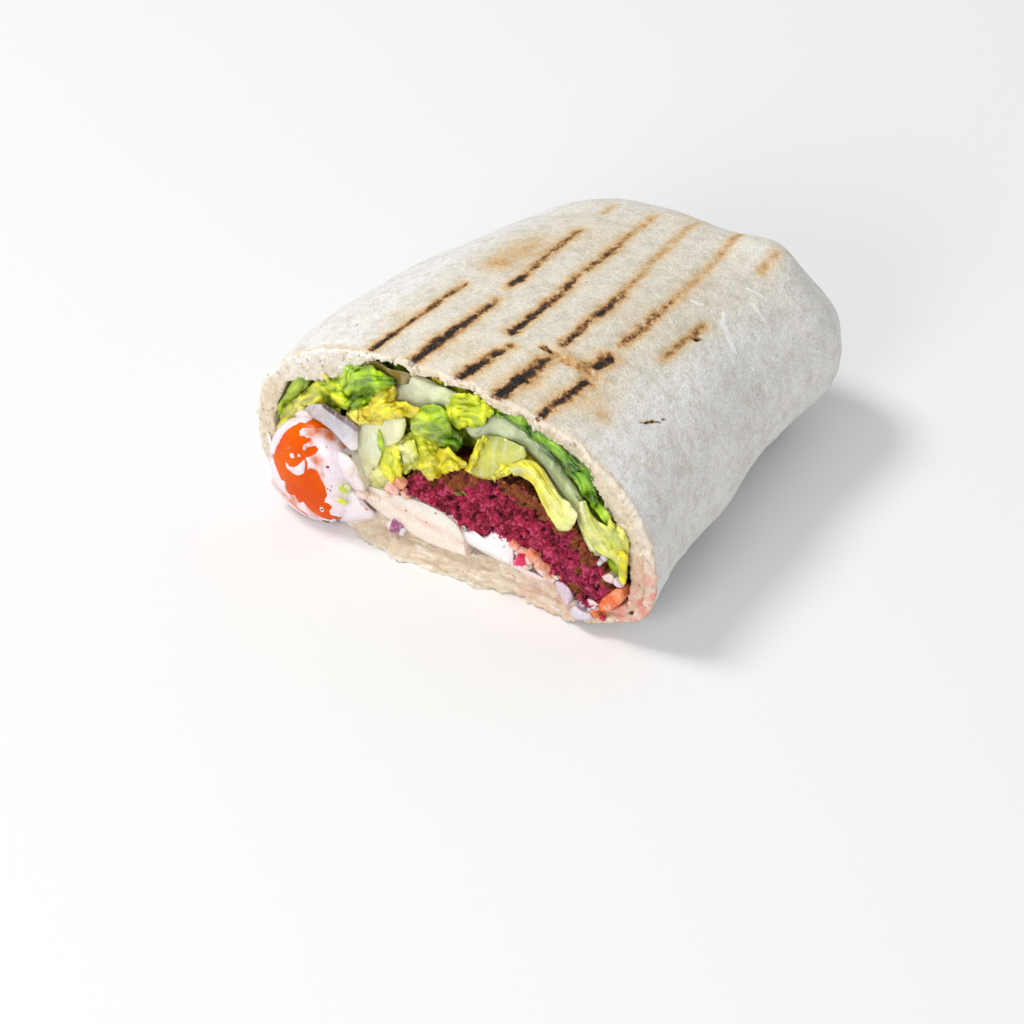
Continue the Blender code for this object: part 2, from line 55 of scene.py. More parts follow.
LENGTH = (_hi.y - _lo.y) / MM
END_ROUND = 22.0
END_POWER = 2.7
END_WIDTH_POWER = 0.40
STATION_Y = (0.0, 15.0, 38.0, 57.0, 78.0, 94.0)
HALF_RIGHT = (48.2, 44.6, 42.4, 39.8, 40.0, 39.5)
HALF_LEFT = (50.4, 50.3, 47.4, 43.4, 38.4, 34.5)
HEIGHT = (47.2, 48.5, 48.2, 46.6, 44.0, 41.5)
WIDEST_AT = (0.36, 0.42, 0.45, 0.46, 0.46, 0.46)
POWER_RIGHT, POWER_LEFT, POWER_TOP, POWER_BOTTOM = 2.4, 2.3, 2.25, 3.3
BASE_SINK = 1.3
CORNER_LIFT, CORNER_AT, CORNER_SIZE = 4.2, (24.0, 84.0), 9.5
LAYER_TOP, LAYER_LEFT, LAYER_BOTTOM = 3.3, 4.2, 2.2
LAYER_OUTER, LAYER_OUTER_SIDE, SLIT = 3.3, 2.9, 0.45
DOUBLE_BOTTOM, DOUBLE_CORNER, DOUBLE_SIDE = 7.7, 3.8, 6.2
SAG_DEPTH, SAG_X, SAG_WIDTH = 2.4, 1.0, 10.0
INNER_END_ANGLE = 47.0

# where someone stands who looks down at the cut from its right-hand corner
VIEW_X, VIEW_Y, VIEW_Z = 400.8, 531.9, 494.4


# ------------------------------------------------------------ numbers
def smooth(v):
    v = np.clip(v, 0.0, 1.0)
    return v * v * (3.0 - 2.0 * v)


def step(v, a, b):
    """0 before a, 1 after b; a may be the larger."""
    return smooth((np.asarray(v, float) - a) / (b - a))


def bell(v, centre, width):
    return np.exp(-((np.asarray(v, float) - centre) / width) ** 2)


def _hash(i, j, k, seed):
    h = (i.astype(np.int64) * 374761393 + j.astype(np.int64) * 668265263
         + k.astype(np.int64) * 2147483647 + seed * 1274126177) & 0xFFFFFFFF
    h = ((h ^ (h >> 13)) * 1274126177) & 0xFFFFFFFF
    h = ((h ^ (h >> 16)) * 2246822519) & 0xFFFFFFFF
    return (h ^ (h >> 15)) & 0xFFFFFFFF


_g = np.random.default_rng(5).normal(size=(512, 3))
GRADS = _g / np.linalg.norm(_g, axis=1, keepdims=True)


def noise(p, size=1.0, seed=0):
    """Gradient noise, about -1 to 1, with features of the given size."""
    p = np.asarray(p, float) / size
    base = np.floor(p).astype(np.int64)
    f = p - base
    u = f * f * f * (f * (f * 6 - 15) + 10)
    total = np.zeros(p.shape[:-1])
    for dx in (0, 1):
        wx = u[..., 0] if dx else 1 - u[..., 0]
        for dy in (0, 1):
            wy = u[..., 1] if dy else 1 - u[..., 1]
            for dz in (0, 1):
                wz = u[..., 2] if dz else 1 - u[..., 2]
                g = GRADS[_hash(base[..., 0] + dx, base[..., 1] + dy, base[..., 2] + dz, seed) & 511]
                d = (g[..., 0] * (f[..., 0] - dx) + g[..., 1] * (f[..., 1] - dy)
                     + g[..., 2] * (f[..., 2] - dz))
                total += wx * wy * wz * d
    return total * 1.6


def fbm(p, size, octaves=3, gain=0.5, seed=0):
    total, amp, norm = 0.0, 1.0, 0.0
    for o in range(octaves):
        total = total + amp * noise(p, size / 2 ** o, seed + 17 * o)
        norm += amp
        amp *= gain
    return total / norm


def cells(p, size=1.0, seed=0, jitter=0.9):
    """Nearest and second nearest cell centres: f1, f2, a value per cell."""
    p = np.asarray(p, float) / size
    base = np.floor(p).astype(np.int64)
    f1 = np.full(p.shape[:-1], 9.0)
    f2 = np.full(p.shape[:-1], 9.0)
    tag = np.zeros(p.shape[:-1])
    for dx in (-1, 0, 1):
        for dy in (-1, 0, 1):
            for dz in (-1, 0, 1):
                i, j, k = base[..., 0] + dx, base[..., 1] + dy, base[..., 2] + dz
                h = _hash(i, j, k, seed)
                ox = 0.5 + jitter * ((h & 1023) / 1023.0 - 0.5)
                oy = 0.5 + jitter * (((h >> 10) & 1023) / 1023.0 - 0.5)
                oz = 0.5 + jitter * (((h >> 20) & 1023) / 1023.0 - 0.5)
                d = np.sqrt((i + ox - p[..., 0]) ** 2 + (j + oy - p[..., 1]) ** 2
                            + (k + oz - p[..., 2]) ** 2)
                near = d < f1
                f2 = np.where(near, f1, np.minimum(f2, d))
                tag = np.where(near, (_hash(i, j, k, seed + 91) & 65535) / 65535.0, tag)
                f1 = np.where(near, d, f1)
    return f1, f2, tag


def curve(points, n, closed=False):
    """n points evenly spaced on a smooth curve through the given points."""
    pts = np.asarray(points, float)
    if closed:
        ext = np.vstack([pts[-1], pts, pts[0], pts[1]])
    else:
        ext = np.vstack([2 * pts[0] - pts[1], pts, 2 * pts[-1] - pts[-2]])
    out = []
    for i in range(len(ext) - 3):
        p0, p1, p2, p3 = ext[i:i + 4]
        for t in np.linspace(0, 1, 16, endpoint=False):
            out.append(0.5 * ((2 * p1) + (-p0 + p2) * t + (2 * p0 - 5 * p1 + 4 * p2 - p3) * t * t
                              + (-p0 + 3 * p1 - 3 * p2 + p3) * t ** 3))
    out.append(ext[-2])
    out = np.array(out)
    run = np.concatenate([[0], np.cumsum(np.linalg.norm(np.diff(out, axis=0), axis=1))])
    at = np.linspace(0, run[-1], n, endpoint=not closed)
    return np.stack([np.interp(at, run, out[:, k]) for k in range(out.shape[1])], axis=1)


# ------------------------------------------------------------ the roll's own shape
def _along(y, values):
    if y <= STATION_Y[0]:
        return values[0]
    if y >= STATION_Y[-1]:
        return values[-1]
    slopes = [(values[k + 1] - values[k]) / (STATION_Y[k + 1] - STATION_Y[k])
              for k in range(len(STATION_Y) - 1)]
    i = max(k for k in range(len(slopes)) if STATION_Y[k] <= y)

    def tangent(k):
        if k == 0:
            return slopes[0]
        if k == len(slopes):
            return slopes[-1]
        a, b = slopes[k - 1], slopes[k]
        return 0.0 if a * b <= 0 else 2 * a * b / (a + b)

    h = STATION_Y[i + 1] - STATION_Y[i]
    t = (y - STATION_Y[i]) / h
    return ((2 * t ** 3 - 3 * t ** 2 + 1) * values[i] + (t ** 3 - 2 * t ** 2 + t) * h * tangent(i)
            + (-2 * t ** 3 + 3 * t ** 2) * values[i + 1] + (t ** 3 - t ** 2) * h * tangent(i + 1))


_ty = np.linspace(0, 94, 377)
_table = {id(v): np.array([_along(y, v) for y in _ty])
          for v in (HALF_RIGHT, HALF_LEFT, HEIGHT, WIDEST_AT)}


def along(y, values):
    return np.interp(y, _ty, _table[id(values)])


def closing(y):
    t = np.clip((np.asarray(y, float) - (94.0 - END_ROUND)) / END_ROUND, 0.0, 1.0)
    return (1.0 - t ** END_POWER) ** (1.0 / END_POWER)


def by_angle(keys):
    """A lookup round the section from sizes given at angles in degrees."""
    keys = [(keys[-1][0] - 360.0, keys[-1][1])] + list(keys) + [(keys[0][0] + 360.0, keys[0][1])]
    at = np.linspace(-180, 180, 1441)
    out = np.zeros_like(at)
    for n, a in enumerate(at):
        for (a0, v0), (a1, v1) in zip(keys, keys[1:]):
            if a0 <= a <= a1:
                t = (a - a0) / (a1 - a0)
                out[n] = v0 + (v1 - v0) * t * t * (3 - 2 * t)
                break
    return lambda a: np.interp((np.asarray(a, float) + 180.0) % 360.0 - 180.0, at, out)


single_depth = by_angle(((-150, LAYER_BOTTOM), (-118, LAYER_BOTTOM), (30, LAYER_OUTER_SIDE),
                         (70, LAYER_TOP), (120, LAYER_TOP), (175, LAYER_LEFT)))
outer_layer_depth = by_angle(((-118, LAYER_OUTER), (-69, LAYER_OUTER), (-56, 2.2), (-40, 2.1),
                              (0, LAYER_OUTER_SIDE), (50, LAYER_OUTER_SIDE), (70, LAYER_TOP)))
_double = by_angle(((-118, DOUBLE_BOTTOM), (-69, DOUBLE_BOTTOM), (-56, DOUBLE_CORNER),
                    (-40, DOUBLE_CORNER * 0.95), (-5, DOUBLE_SIDE), (30, DOUBLE_SIDE), (50, 5.4)))


def double_depth(angle, x):
    return _double(angle) - np.where(np.sin(np.radians(angle)) < 0,
                                     SAG_DEPTH * bell(x, SAG_X, SAG_WIDTH), 0.0)


def outer_point(angle, y, k=None):
    """Outside of the wrap: x and z at angles (degrees) and places along it."""
    angle = np.asarray(angle, float)
    y = np.maximum(0.0, np.asarray(y, float))
    c, s = np.cos(np.radians(angle)), np.sin(np.radians(angle))
    k = closing(y) if k is None else k
    wide = k ** END_WIDTH_POWER
    height = along(y, HEIGHT)
    middle = height * along(y, WIDEST_AT)
    x = np.where(c >= 0, along(y, HALF_RIGHT) * wide * np.abs(c) ** (2 / POWER_RIGHT),
                 -along(y, HALF_LEFT) * wide * np.abs(c) ** (2 / POWER_LEFT))
    z = np.where(s >= 0, middle + (height - middle) * k * np.abs(s) ** (2 / POWER_TOP),
                 middle - (middle + BASE_SINK) * k * np.abs(s) ** (2 / POWER_BOTTOM))
    d2 = ((x - CORNER_AT[0]) ** 2 + (y - CORNER_AT[1]) ** 2) / CORNER_SIZE ** 2
    z = z + np.where(s > 0, CORNER_LIFT * np.exp(-d2) * smooth(s / 0.5), 0.0)
    return x, np.maximum(0.0, z)


def inward(angle, depth, y):
    x, z = outer_point(angle, y)
    x0, z0 = outer_point(angle - 3.0, y)
    x1, z1 = outer_point(angle + 3.0, y)
    tx, tz = x1 - x0, z1 - z0
    n = np.hypot(tx, tz) + 1e-9
    return x - depth * tz / n, z + depth * tx / n


def squeeze(x, z, y):
    """Carries a point of the cut's plane back along the narrowing roll."""
    tight = 1.0 - 0.05 * smooth(y / 70.0)
    half = np.where(x >= 0, along(y, HALF_RIGHT) / HALF_RIGHT[0], along(y, HALF_LEFT) / HALF_LEFT[0])
    return x * tight * half, z * np.minimum(1.0, along(y, HEIGHT) / HEIGHT[0])


# ------------------------------------------------------------ meshes
def grid_faces(rows, cols, wrap_cols=False, offset=0):
    r = np.arange(rows - 1)[:, None]
    c = np.arange(cols if wrap_cols else cols - 1)[None, :]
    c2 = (c + 1) % cols
    a = r * cols + c
    b = r * cols + c2
    d = (r + 1) * cols + c
    e = (r + 1) * cols + c2
    return np.stack([a, b, e, d], axis=-1).reshape(-1, 4) + offset


def signed_volume(verts, tris):
    a, b, c = verts[tris[:, 0]], verts[tris[:, 1]], verts[tris[:, 2]]
    return float(np.einsum('ij,ij->i', a, np.cross(b, c)).sum() / 6.0)


PIECE_TRIS = {}


def add_mesh(name, verts, quads, tris=None, material=None, attrs=None, colours=None,
             flip=None, smooth_shade=True):
    """A mesh object from arrays in section millimetres."""
    verts = np.asarray(verts, float) + SHIFT
    quads = np.zeros((0, 4), int) if quads is None else np.asarray(quads, int)
    tris = np.zeros((0, 3), int) if tris is None else np.asarray(tris, int)
    if flip is None:
        parts = [t for t in (quads[:, [0, 1, 2]], quads[:, [0, 2, 3]], tris) if len(t)]
        flip = signed_volume(verts - verts.mean(0), np.concatenate(parts)) < 0
    if flip:
        quads, tris = quads[:, ::-1], tris[:, ::-1]
    me = bpy.data.meshes.new(name)
    me.vertices.add(len(verts))
    me.vertices.foreach_set("co", (verts * MM).astype(np.float32).ravel())
    me.loops.add(quads.size + tris.size)
    me.loops.foreach_set("vertex_index", np.concatenate([quads.ravel(), tris.ravel()]).astype(np.int32))
    me.polygons.add(len(quads) + len(tris))
    starts = np.concatenate([np.arange(len(quads)) * 4, quads.size + np.arange(len(tris)) * 3])
    me.polygons.foreach_set("loop_start", starts.astype(np.int32))
    me.update(calc_edges=True)
    me.validate()
    for key, value in (attrs or {}).items():
        a = me.attributes.new(key, 'FLOAT', 'POINT')
        a.data.foreach_set("value", np.asarray(value, np.float32).ravel())
    for key, value in (colours or {}).items():
        a = me.attributes.new(key, 'FLOAT_COLOR', 'POINT')
        rgba = np.ones((len(verts), 4), np.float32)
        rgba[:, :3] = value
        a.data.foreach_set("color", rgba.ravel())
    if smooth_shade:
        me.polygons.foreach_set("use_smooth", np.ones(len(me.polygons), bool))
    obj = bpy.data.objects.new(name, me)
    bpy.context.scene.collection.objects.link(obj)
    if material is not None:
        me.materials.append(material)
    PIECE_TRIS[name] = 2 * len(quads) + len(tris)
    return obj


def put(obj, slot, *nodes):
    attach(obj, "root")
    if nodes:
        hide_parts(*nodes)
    return obj


def grid_normals(p, wrap_cols=True):
    dv = np.gradient(p, axis=0)
    if wrap_cols:
        du = np.roll(p, -1, axis=1) - np.roll(p, 1, axis=1)
    else:
        du = np.gradient(p, axis=1)
    n = np.cross(du, dv)
    return n / (np.linalg.norm(n, axis=-1, keepdims=True) + 1e-12)


def srgb(r, g, b):
    """Linear colour from 0-255 display values."""
    v = np.array([r, g, b], float) / 255.0
    return np.where(v <= 0.04045, v / 12.92, ((v + 0.055) / 1.055) ** 2.4)


# ------------------------------------------------------------ material helper
class Nodes:
    """A small writer of shader nodes for one Principled material."""

    def __init__(self, name):
        self.mat = bpy.data.materials.new(name)
        self.mat.use_nodes = True
        self.tree = self.mat.node_tree
        self.shader = self.tree.nodes["Principled BSDF"]
        self.coords = self.tree.nodes.new("ShaderNodeTexCoord").outputs["Object"]

    def put(self, socket, value):
        if hasattr(value, "is_output"):
            self.tree.links.new(value, socket)
        elif isinstance(value, (tuple, list, np.ndarray)) and len(value) == 3 and socket.type == 'RGBA':
            socket.default_value = (*[float(v) for v in value], 1.0)
        else:
            socket.default_value = value

    def set(self, **inputs):
        for key, value in inputs.items():
            self.put(self.shader.inputs[key.replace("_", " ")], value)

    def attr(self, name, colour=False):
        n = self.tree.nodes.new("ShaderNodeAttribute")
        n.attribute_type = 'GEOMETRY'
        n.attribute_name = name
        return n.outputs["Color" if colour else "Fac"]

    def math(self, op, a, b=0.0, c=0.0, clamp=False):
        n = self.tree.nodes.new("ShaderNodeMath")
        n.operation = op
        n.use_clamp = clamp
        for s, v in zip(n.inputs, (a, b, c)):
            self.put(s, v)
        return n.outputs[0]

    def noise(self, size_mm, detail=3.0, rough=0.55, distort=0.0, stretch=None, seed=0.0):
        n = self.tree.nodes.new("ShaderNodeTexNoise")
        n.noise_dimensions = '4D'
        n.inputs["W"].default_value = seed
        n.inputs["Scale"].default_value = 1000.0 / size_mm
        n.inputs["Detail"].default_value = detail
        n.inputs["Roughness"].default_value = rough
        n.inputs["Distortion"].default_value = distort
        self.tree.links.new(self.vector(stretch), n.inputs["Vector"])
        return n.outputs["Fac"]

    def vector(self, stretch=None):
        if stretch is None:
            return self.coords
        m = self.tree.nodes.new("ShaderNodeMapping")
        m.inputs["Scale"].default_value = stretch
        self.tree.links.new(self.coords, m.inputs["Vector"])
        return m.outputs["Vector"]

    def cells(self, size_mm, feature='F1', output="Distance", random=1.0, smoothness=None):
        n = self.tree.nodes.new("ShaderNodeTexVoronoi")
        n.feature = feature
        n.inputs["Scale"].default_value = 1000.0 / size_mm
        n.inputs["Randomness"].default_value = random
        if smoothness is not None:
            n.inputs["Smoothness"].default_value = smoothness
        self.tree.links.new(self.coords, n.inputs["Vector"])
        return n.outputs[output]

    def ramp(self, fac, stops, mode='LINEAR'):
        n = self.tree.nodes.new("ShaderNodeValToRGB")
        n.color_ramp.interpolation = mode
        els = n.color_ramp.elements
        while len(els) > 1:
            els.remove(els[-1])
        for i, (at, col) in enumerate(stops):
            e = els[0] if i == 0 else els.new(at)
            e.position = at
            col = (col, col, col) if np.isscalar(col) else col
            e.color = (*[float(v) for v in col], 1.0)
        self.put(n.inputs["Fac"], fac)
        return n.outputs["Color"]

    def remap(self, value, a, b, lo=0.0, hi=1.0):
        n = self.tree.nodes.new("ShaderNodeMapRange")
        n.interpolation_type = 'SMOOTHSTEP'
        self.put(n.inputs["Value"], value)
        n.inputs["From Min"].default_value = a
        n.inputs["From Max"].default_value = b
        n.inputs["To Min"].default_value = lo
        n.inputs["To Max"].default_value = hi
        return n.outputs["Result"]

    def mix(self, fac, a, b, mode='MIX'):
        n = self.tree.nodes.new("ShaderNodeMix")
        n.data_type = 'RGBA'
        n.blend_type = mode
        n.clamp_factor = True
        self.put(n.inputs[0], fac)
        self.put(n.inputs[6], a)
        self.put(n.inputs[7], b)
        return n.outputs[2]

    def scale(self, colour, value):
        n = self.tree.nodes.new("ShaderNodeVectorMath")
        n.operation = 'SCALE'
        self.put(n.inputs[0], colour)
        self.put(n.inputs["Scale"], value)
        return n.outputs[0]

    def bump(self, height, distance_mm, strength=1.0, normal=None):
        n = self.tree.nodes.new("ShaderNodeBump")
        n.inputs["Strength"].default_value = strength
        n.inputs["Distance"].default_value = distance_mm * MM
        self.put(n.inputs["Height"], height)
        if normal is not None:
            self.put(n.inputs["Normal"], normal)
        return n.outputs["Normal"]


# ------------------------------------------------------------ flatbread
# Grill bars: points (x, y) along each mark, its half width, and how hard the
# bread is burnt at each point.
GRILL = (
    (((-20.9, 1.6), (-19.9, 7.5), (-19.3, 10.8), (-18.5, 18.1), (-18.2, 29.3)), 0.80, (0.86, 0.74, 0.50, 0.56, 0.50)),
    (((-9.9, 0.6), (-8.9, 11.9), (-8.3, 19.0), (-8.4, 27.0)), 1.02, (0.84, 0.86, 0.70, 0.42)),
    (((-9.2, 33.0), (-9.4, 36.0), (-9.6, 39.5), (-10.1, 46.4), (-11.9, 61.2)), 0.88, (0.44, 0.84, 0.50, 0.42, 0.40)),
    (((1.2, 0.4), (2.6, 7.8), (4.0, 14.5)), 0.92, (0.88, 0.72, 0.50)),
    (((1.5, 18.4), (1.2, 27.0), (0.9, 36.0), (-0.3, 46.0), (-0.8, 56.7), (-1.6, 62.0), (-3.4, 76.6)), 0.90,
     (0.82, 0.70, 0.56, 0.42, 0.52, 0.27, 0.28)),
    (((10.7, 0.0), (11.5, 7.0), (12.1, 14.7)), 1.15, (0.92, 0.90, 0.72)),
    (((11.9, 21.0), (11.6, 29.0), (11.1, 38.0), (10.8, 43.0), (10.0, 47.4), (7.6, 61.0), (4.3, 80.9)), 0.86,
     (0.58, 0.52, 0.60, 0.40, 0.28, 0.24, 0.19)),
    (((20.4, 0.4), (21.1, 8.6), (21.5, 14.8)), 0.88, (0.84, 0.58, 0.76)),
    (((20.6, 20.2), (20.9, 24.0)), 1.15, (0.88, 0.84)),
    (((20.3, 29.5), (20.0, 38.0), (19.4, 45.0), (18.6, 54.0), (16.8, 68.0), (14.0, 85.0)), 0.92, (0.40, 0.42, 0.36, 0.26, 0.23, 0.24)),
    (((27.6, 33.0), (26.9, 49.4)), 0.80, (0.28, 0.37)),
    (((25.0, 73.7), (24.7, 80.3)), 0.90, (0.24, 0.22)),
    (((-13.0, 72.1), (-14.2, 76.8)), 0.80, (0.22, 0.20)),
    (((9.4, 17.8), (11.4, 17.3), (13.2, 17.1), (17.0, 16.9), (21.0, 17.4), (25.0, 19.0)), 0.42, (0.78, 0.44, 0.24, 0.20, 0.24, 0.10)),
)
TOASTED = ((28.8, 10.5, 2.2, 0.15), (25.5, 14.0, 3.5, 0.10), (-17.0, 40.0, 3.6, 0.23), (-16.5, 47.5, 4.6, 0.20), (-17.5, 54.0, 3.6, 0.09),
           (-22.5, 14.0, 3.0, 0.06), (5.0, 5.0, 4.0, 0.05), (15.8, 6.5, 4.0, 0.06), (-4.0, 9.0, 4.5, 0.05), (14.0, 18.4, 2.0, 0.21),
           (17.6, 18.2, 2.0, 0.20), (20.6, 18.8, 2.0, 0.12), (15.0, 40.0, 7.0, 0.04), (2.0, 84.0, 6.0, 0.05), (-6.0, 60.0, 8.0, 0.03), (24.0, 9.0, 3.0, 0.08))
# dry flour rubbed into the skin, as short strokes
FLOUR = (((28.6, 53.6), (33.3, 50.7), 0.64, 1.0), ((27.0, 56.4), (28.6, 54.0), 0.50, 0.9), ((21.4, 53.4), (23.1, 54.3), 0.42, 0.9),
         ((25.9, 67.1), (28.5, 68.2), 0.40, 0.9), ((28.5, 64.4), (32.1, 64.3), 0.38, 0.8), ((26.4, 62.0), (29.0, 61.2), 0.22, 0.5),
         ((31.0, 45.0), (33.0, 44.0), 0.22, 0.5), ((-4.0, 79.0), (1.0, 80.0), 0.30, 0.5), ((35.0, 36.0), (36.2, 34.0), 0.25, 0.5),
         ((-28.0, 30.0), (-27.2, 34.0), 0.25, 0.5), ((4.8, 60.0), (5.6, 57.0), 0.2, 0.4), ((33.5, 60.0), (34.5, 57.5), 0.25, 0.5))


def grill_marks(x, y, wob):
    """Distance to the nearest bar, how burnt it is, and the heat there."""
    heat = np.zeros_like(x)
    press = np.zeros_like(x)
    for points, half, burn in GRILL:
        best = np.full(x.shape, 99.0)
        level = np.zeros_like(x)
        for (p, q, b0, b1) in zip(points, points[1:], burn, burn[1:]):
            dx, dy = q[0] - p[0], q[1] - p[1]
            t = np.clip(((x - p[0]) * dx + (y - p[1]) * dy) / (dx * dx + dy * dy), 0, 1)
            d = np.hypot(x - p[0] - t * dx, y - p[1] - t * dy)
            near = d < best
            level = np.where(near, b0 + (b1 - b0) * t, level)
            best = np.where(near, d, best)
        d = np.maximum(0.0, best + wob * half) / half
        fat = 1.0 + 0.34 * noise(np.stack([x * 0.4, y, 0 * y + 7.7], axis=-1), 2.3, 25) + 0.16 * noise(np.stack([x, y, 0 * y + 3.1], axis=-1), 1.0, 26)
        mark = level * (0.72 * np.exp(-(d / (1.02 * fat)) ** 2) + 0.34 * np.exp(-(d / (2.25 * fat)) ** 2))
        heat = np.maximum(heat, mark)
        press = np.maximum(press, np.sqrt(level) * np.exp(-(best / (1.25 * half)) ** 2))
    for cx, cy, r, amount in TOASTED:
        heat = heat + amount * np.exp(-((x - cx) ** 2 + (y - cy) ** 2) / r ** 2)
    return heat, press


def polyline_distance(x, y, points):
    best = np.full(x.shape, 99.0)
    side = np.zeros_like(x)
    run = np.zeros_like(x)
    gone = 0.0
    for p, q in zip(points, points[1:]):
        dx, dy = q[0] - p[0], q[1] - p[1]
        n = math.hypot(dx, dy)
        t = np.clip(((x - p[0]) * dx + (y - p[1]) * dy) / (n * n), 0, 1)
        d = np.hypot(x - p[0] - t * dx, y - p[1] - t * dy)
        near = d < best
        side = np.where(near, ((x - p[0]) * dy - (y - p[1]) * dx) / n, side)
        run = np.where(near, gone + t * n, run)
        best = np.where(near, d, best)
        gone += n
    return best, side, run / gone


def build_bread(mat):
    cols = 600
    fine = np.linspace(-180, 180, 7201)
    x, z = outer_point(fine, 10.0)
    mid = 0.5 * (fine[1:] + fine[:-1])
    weight = 0.72 + 0.50 * step(np.sin(np.radians(mid)), -0.25, 0.35)
    cum = np.concatenate([[0], np.cumsum(np.hypot(np.diff(x), np.diff(z)) * weight)])
    angles = np.interp(np.arange(cols) / cols * cum[-1], cum, fine)
    xs, zs = outer_point(angles, 4.0)
    arc = np.concatenate([[0], np.cumsum(np.hypot(np.diff(xs), np.diff(zs)))])
    ring = np.stack([xs, 0 * xs, zs], axis=-1)

    # rows: the tucked end, the outside, across the cut rim, and back inside
    ks = np.array([0.006, 0.016, 0.03, 0.048, 0.07, 0.10, 0.135, 0.18, 0.23, 0.29, 0.355, 0.42, 0.49, 0.56,
                   0.63, 0.695, 0.755, 0.81, 0.86, 0.90, 0.935, 0.96, 0.98, 0.992])
    cap_y = 94.0 - END_ROUND + END_ROUND * (1 - ks ** END_POWER) ** (1 / END_POWER)
    body = [cap_y[-1] - 1.4]
    while body[-1] > 0.9:
        y = body[-1]
        body.append(y - (0.36 + 0.9 * min(1.0, y / 45.0)))
    body_y = np.array([v for v in body if v > 0.3] + [0.16])
    outer_y = np.concatenate([cap_y, body_y])
    rows, kind = [], []
    for n, y in enumerate(outer_y):
        k = ks[n] if n < len(ks) else None
        x, z = outer_point(angles, y, k)
        rows.append(np.stack([x, np.full(cols, y), z], axis=-1))
        kind.append((0, 0.0))

    rim_q = np.concatenate([np.linspace(0.0, 0.10, 3), np.linspace(0.145, 0.86, 19), np.linspace(0.90, 1.0, 3)])
    x0, z0 = outer_point(angles, 0.0)
    two = step(angles, -122.0, -112.0) * (1 - step(angles, 44.0, 51.0))
    single = single_depth(angles)
    double = double_depth(angles, x0)
    # the torn lip hangs lower at the upper left
    lip = np.exp(-((x0 + 33.0) / 8.5) ** 4) * (zs > 20)
    single = single + 2.9 * lip + 0.9 * lip * noise(ring, 2.2, 4) + 0.5 * noise(ring, 5.0, 3) * (np.sin(np.radians(angles)) > 0)
    wall = np.exp(-((angles - 22.0) / 20.0) ** 4)
    double = double + 1.5 * wall + 0.35 * noise(ring, 4.0, 6) + 0.25 * noise(ring, 1.7, 7)
    single = single - 1.5 * np.exp(-((angles - 97.0) / 19.0) ** 4) - 1.0 * np.exp(-((x0 + 15.0) / 5.5) ** 4) * (zs > 25) + 0.35 * noise(ring, 1.9, 8) + 0.8 * np.exp(-((angles - 58.0) / 9.0) ** 2)
    total = single * (1 - two) + double * two
    split = outer_layer_depth(angles) + 0.5 * noise(ring, 6.0, 9) + 0.25 * noise(ring, 2.0, 10)
    share = np.clip(split / total, 0.2, 0.8)
    rag = (0.75 * noise(ring, 7.0, 11) + 0.52 * noise(ring, 2.6, 12) + 0.32 * noise(ring, 1.1, 13) + 0.14 * noise(ring, 0.6, 18))
    flap = np.interp(x0, (-30, -25.6, -24.6, -22.5, -20.5, -18.2, -15.5, -13.3, -10.8, -9, -6.5, -4, -0.5, 3, 7, 10, 12.5, 16, 18, 21, 25, 28, 32, 37),
                     (0.0, 0.0, 1.3, 2.0, 2.4, 2.8, 3.2, 3.9, 4.0, 3.0, 3.2, 2.8, 2.0, 2.3, 2.4, 1.0, 0.2, 0.0, 1.3, 0.9, 0.9, 1.5, 0.8, 0.0)) * (zs < 12)
    flap = flap * (1 + 0.10 * noise(ring, 2.2, 14)) + (flap > 0.3) * (0.42 * noise(ring, 1.3, 15) + 0.32 * noise(ring, 0.6, 16))
    for q in rim_q:
        depth = total * q
        x, z = inward(angles, depth, 0.0)
        rows.append(np.stack([x, np.zeros(cols), z], axis=-1))
        kind.append((1, q))
    inner_y = np.array([0.35, 0.9, 1.6, 2.5, 3.6, 5.0, 6.6, 8.4, 10.5, 13, 16, 20, 25, 31, 38, 46, 55, 63, 70, 76])
    for y in inner_y:
        xo, _ = outer_point(angles, y)
        fade = math.exp(-y / 5.0)
        keep = single * fade + single_depth(angles) * (1 - fade)
        depth = keep * (1 - two) + double_depth(angles, xo) * two
        x, z = inward(angles, depth, y)
        rows.append(np.stack([x, np.full(cols, y), z], axis=-1))
        kind.append((2, y))
    p = np.array(rows)
    kinds = np.array([k[0] for k in kind])[:, None]
    q = np.array([k[1] if k[0] == 1 else (0.0 if k[0] == 0 else 1.0) for k in kind])[:, None]
    nrm = grid_normals(p)
    if np.mean(nrm[60, :, 2] * (p[60, :, 2] - 20)) < 0:
        nrm = -nrm
    y = p[..., 1].copy()
    up = nrm[..., 2]
    outside = (kinds == 0)
    rim = (kinds == 1)

    # ---- outside: slow swells, baked skin, pressed bars, folds
    skin = np.where(outside, 1.0, 0.0)
    h = 0.55 * fbm(p, 26.0, 2, 0.5, 1) + 0.20 * fbm(p, 8.0, 2, 0.5, 2)
    h += 0.085 * fbm(p, 1.9, 2, 0.6, 3)
    wob = 0.34 * noise(p * [1, 0.45, 1], 1.5, 21) + 0.22 * noise(p, 0.75, 22)
    heat, press = grill_marks(p[..., 0], y, wob)
    top = outside * step(up, 0.05, 0.35)
    scorch, _ = grill_marks(p[..., 0], 0 * y + 0.8, wob)
    scorch = np.where(rim, scorch * (1 - step(q * 3.5, 0.15, 1.0)) * (p[..., 2] > 30), 0.0)
    heat = heat * top
    press = press * top
    h -= 0.34 * press
    h += 0.10 * press * cells(p, 1.5, 4)[0]
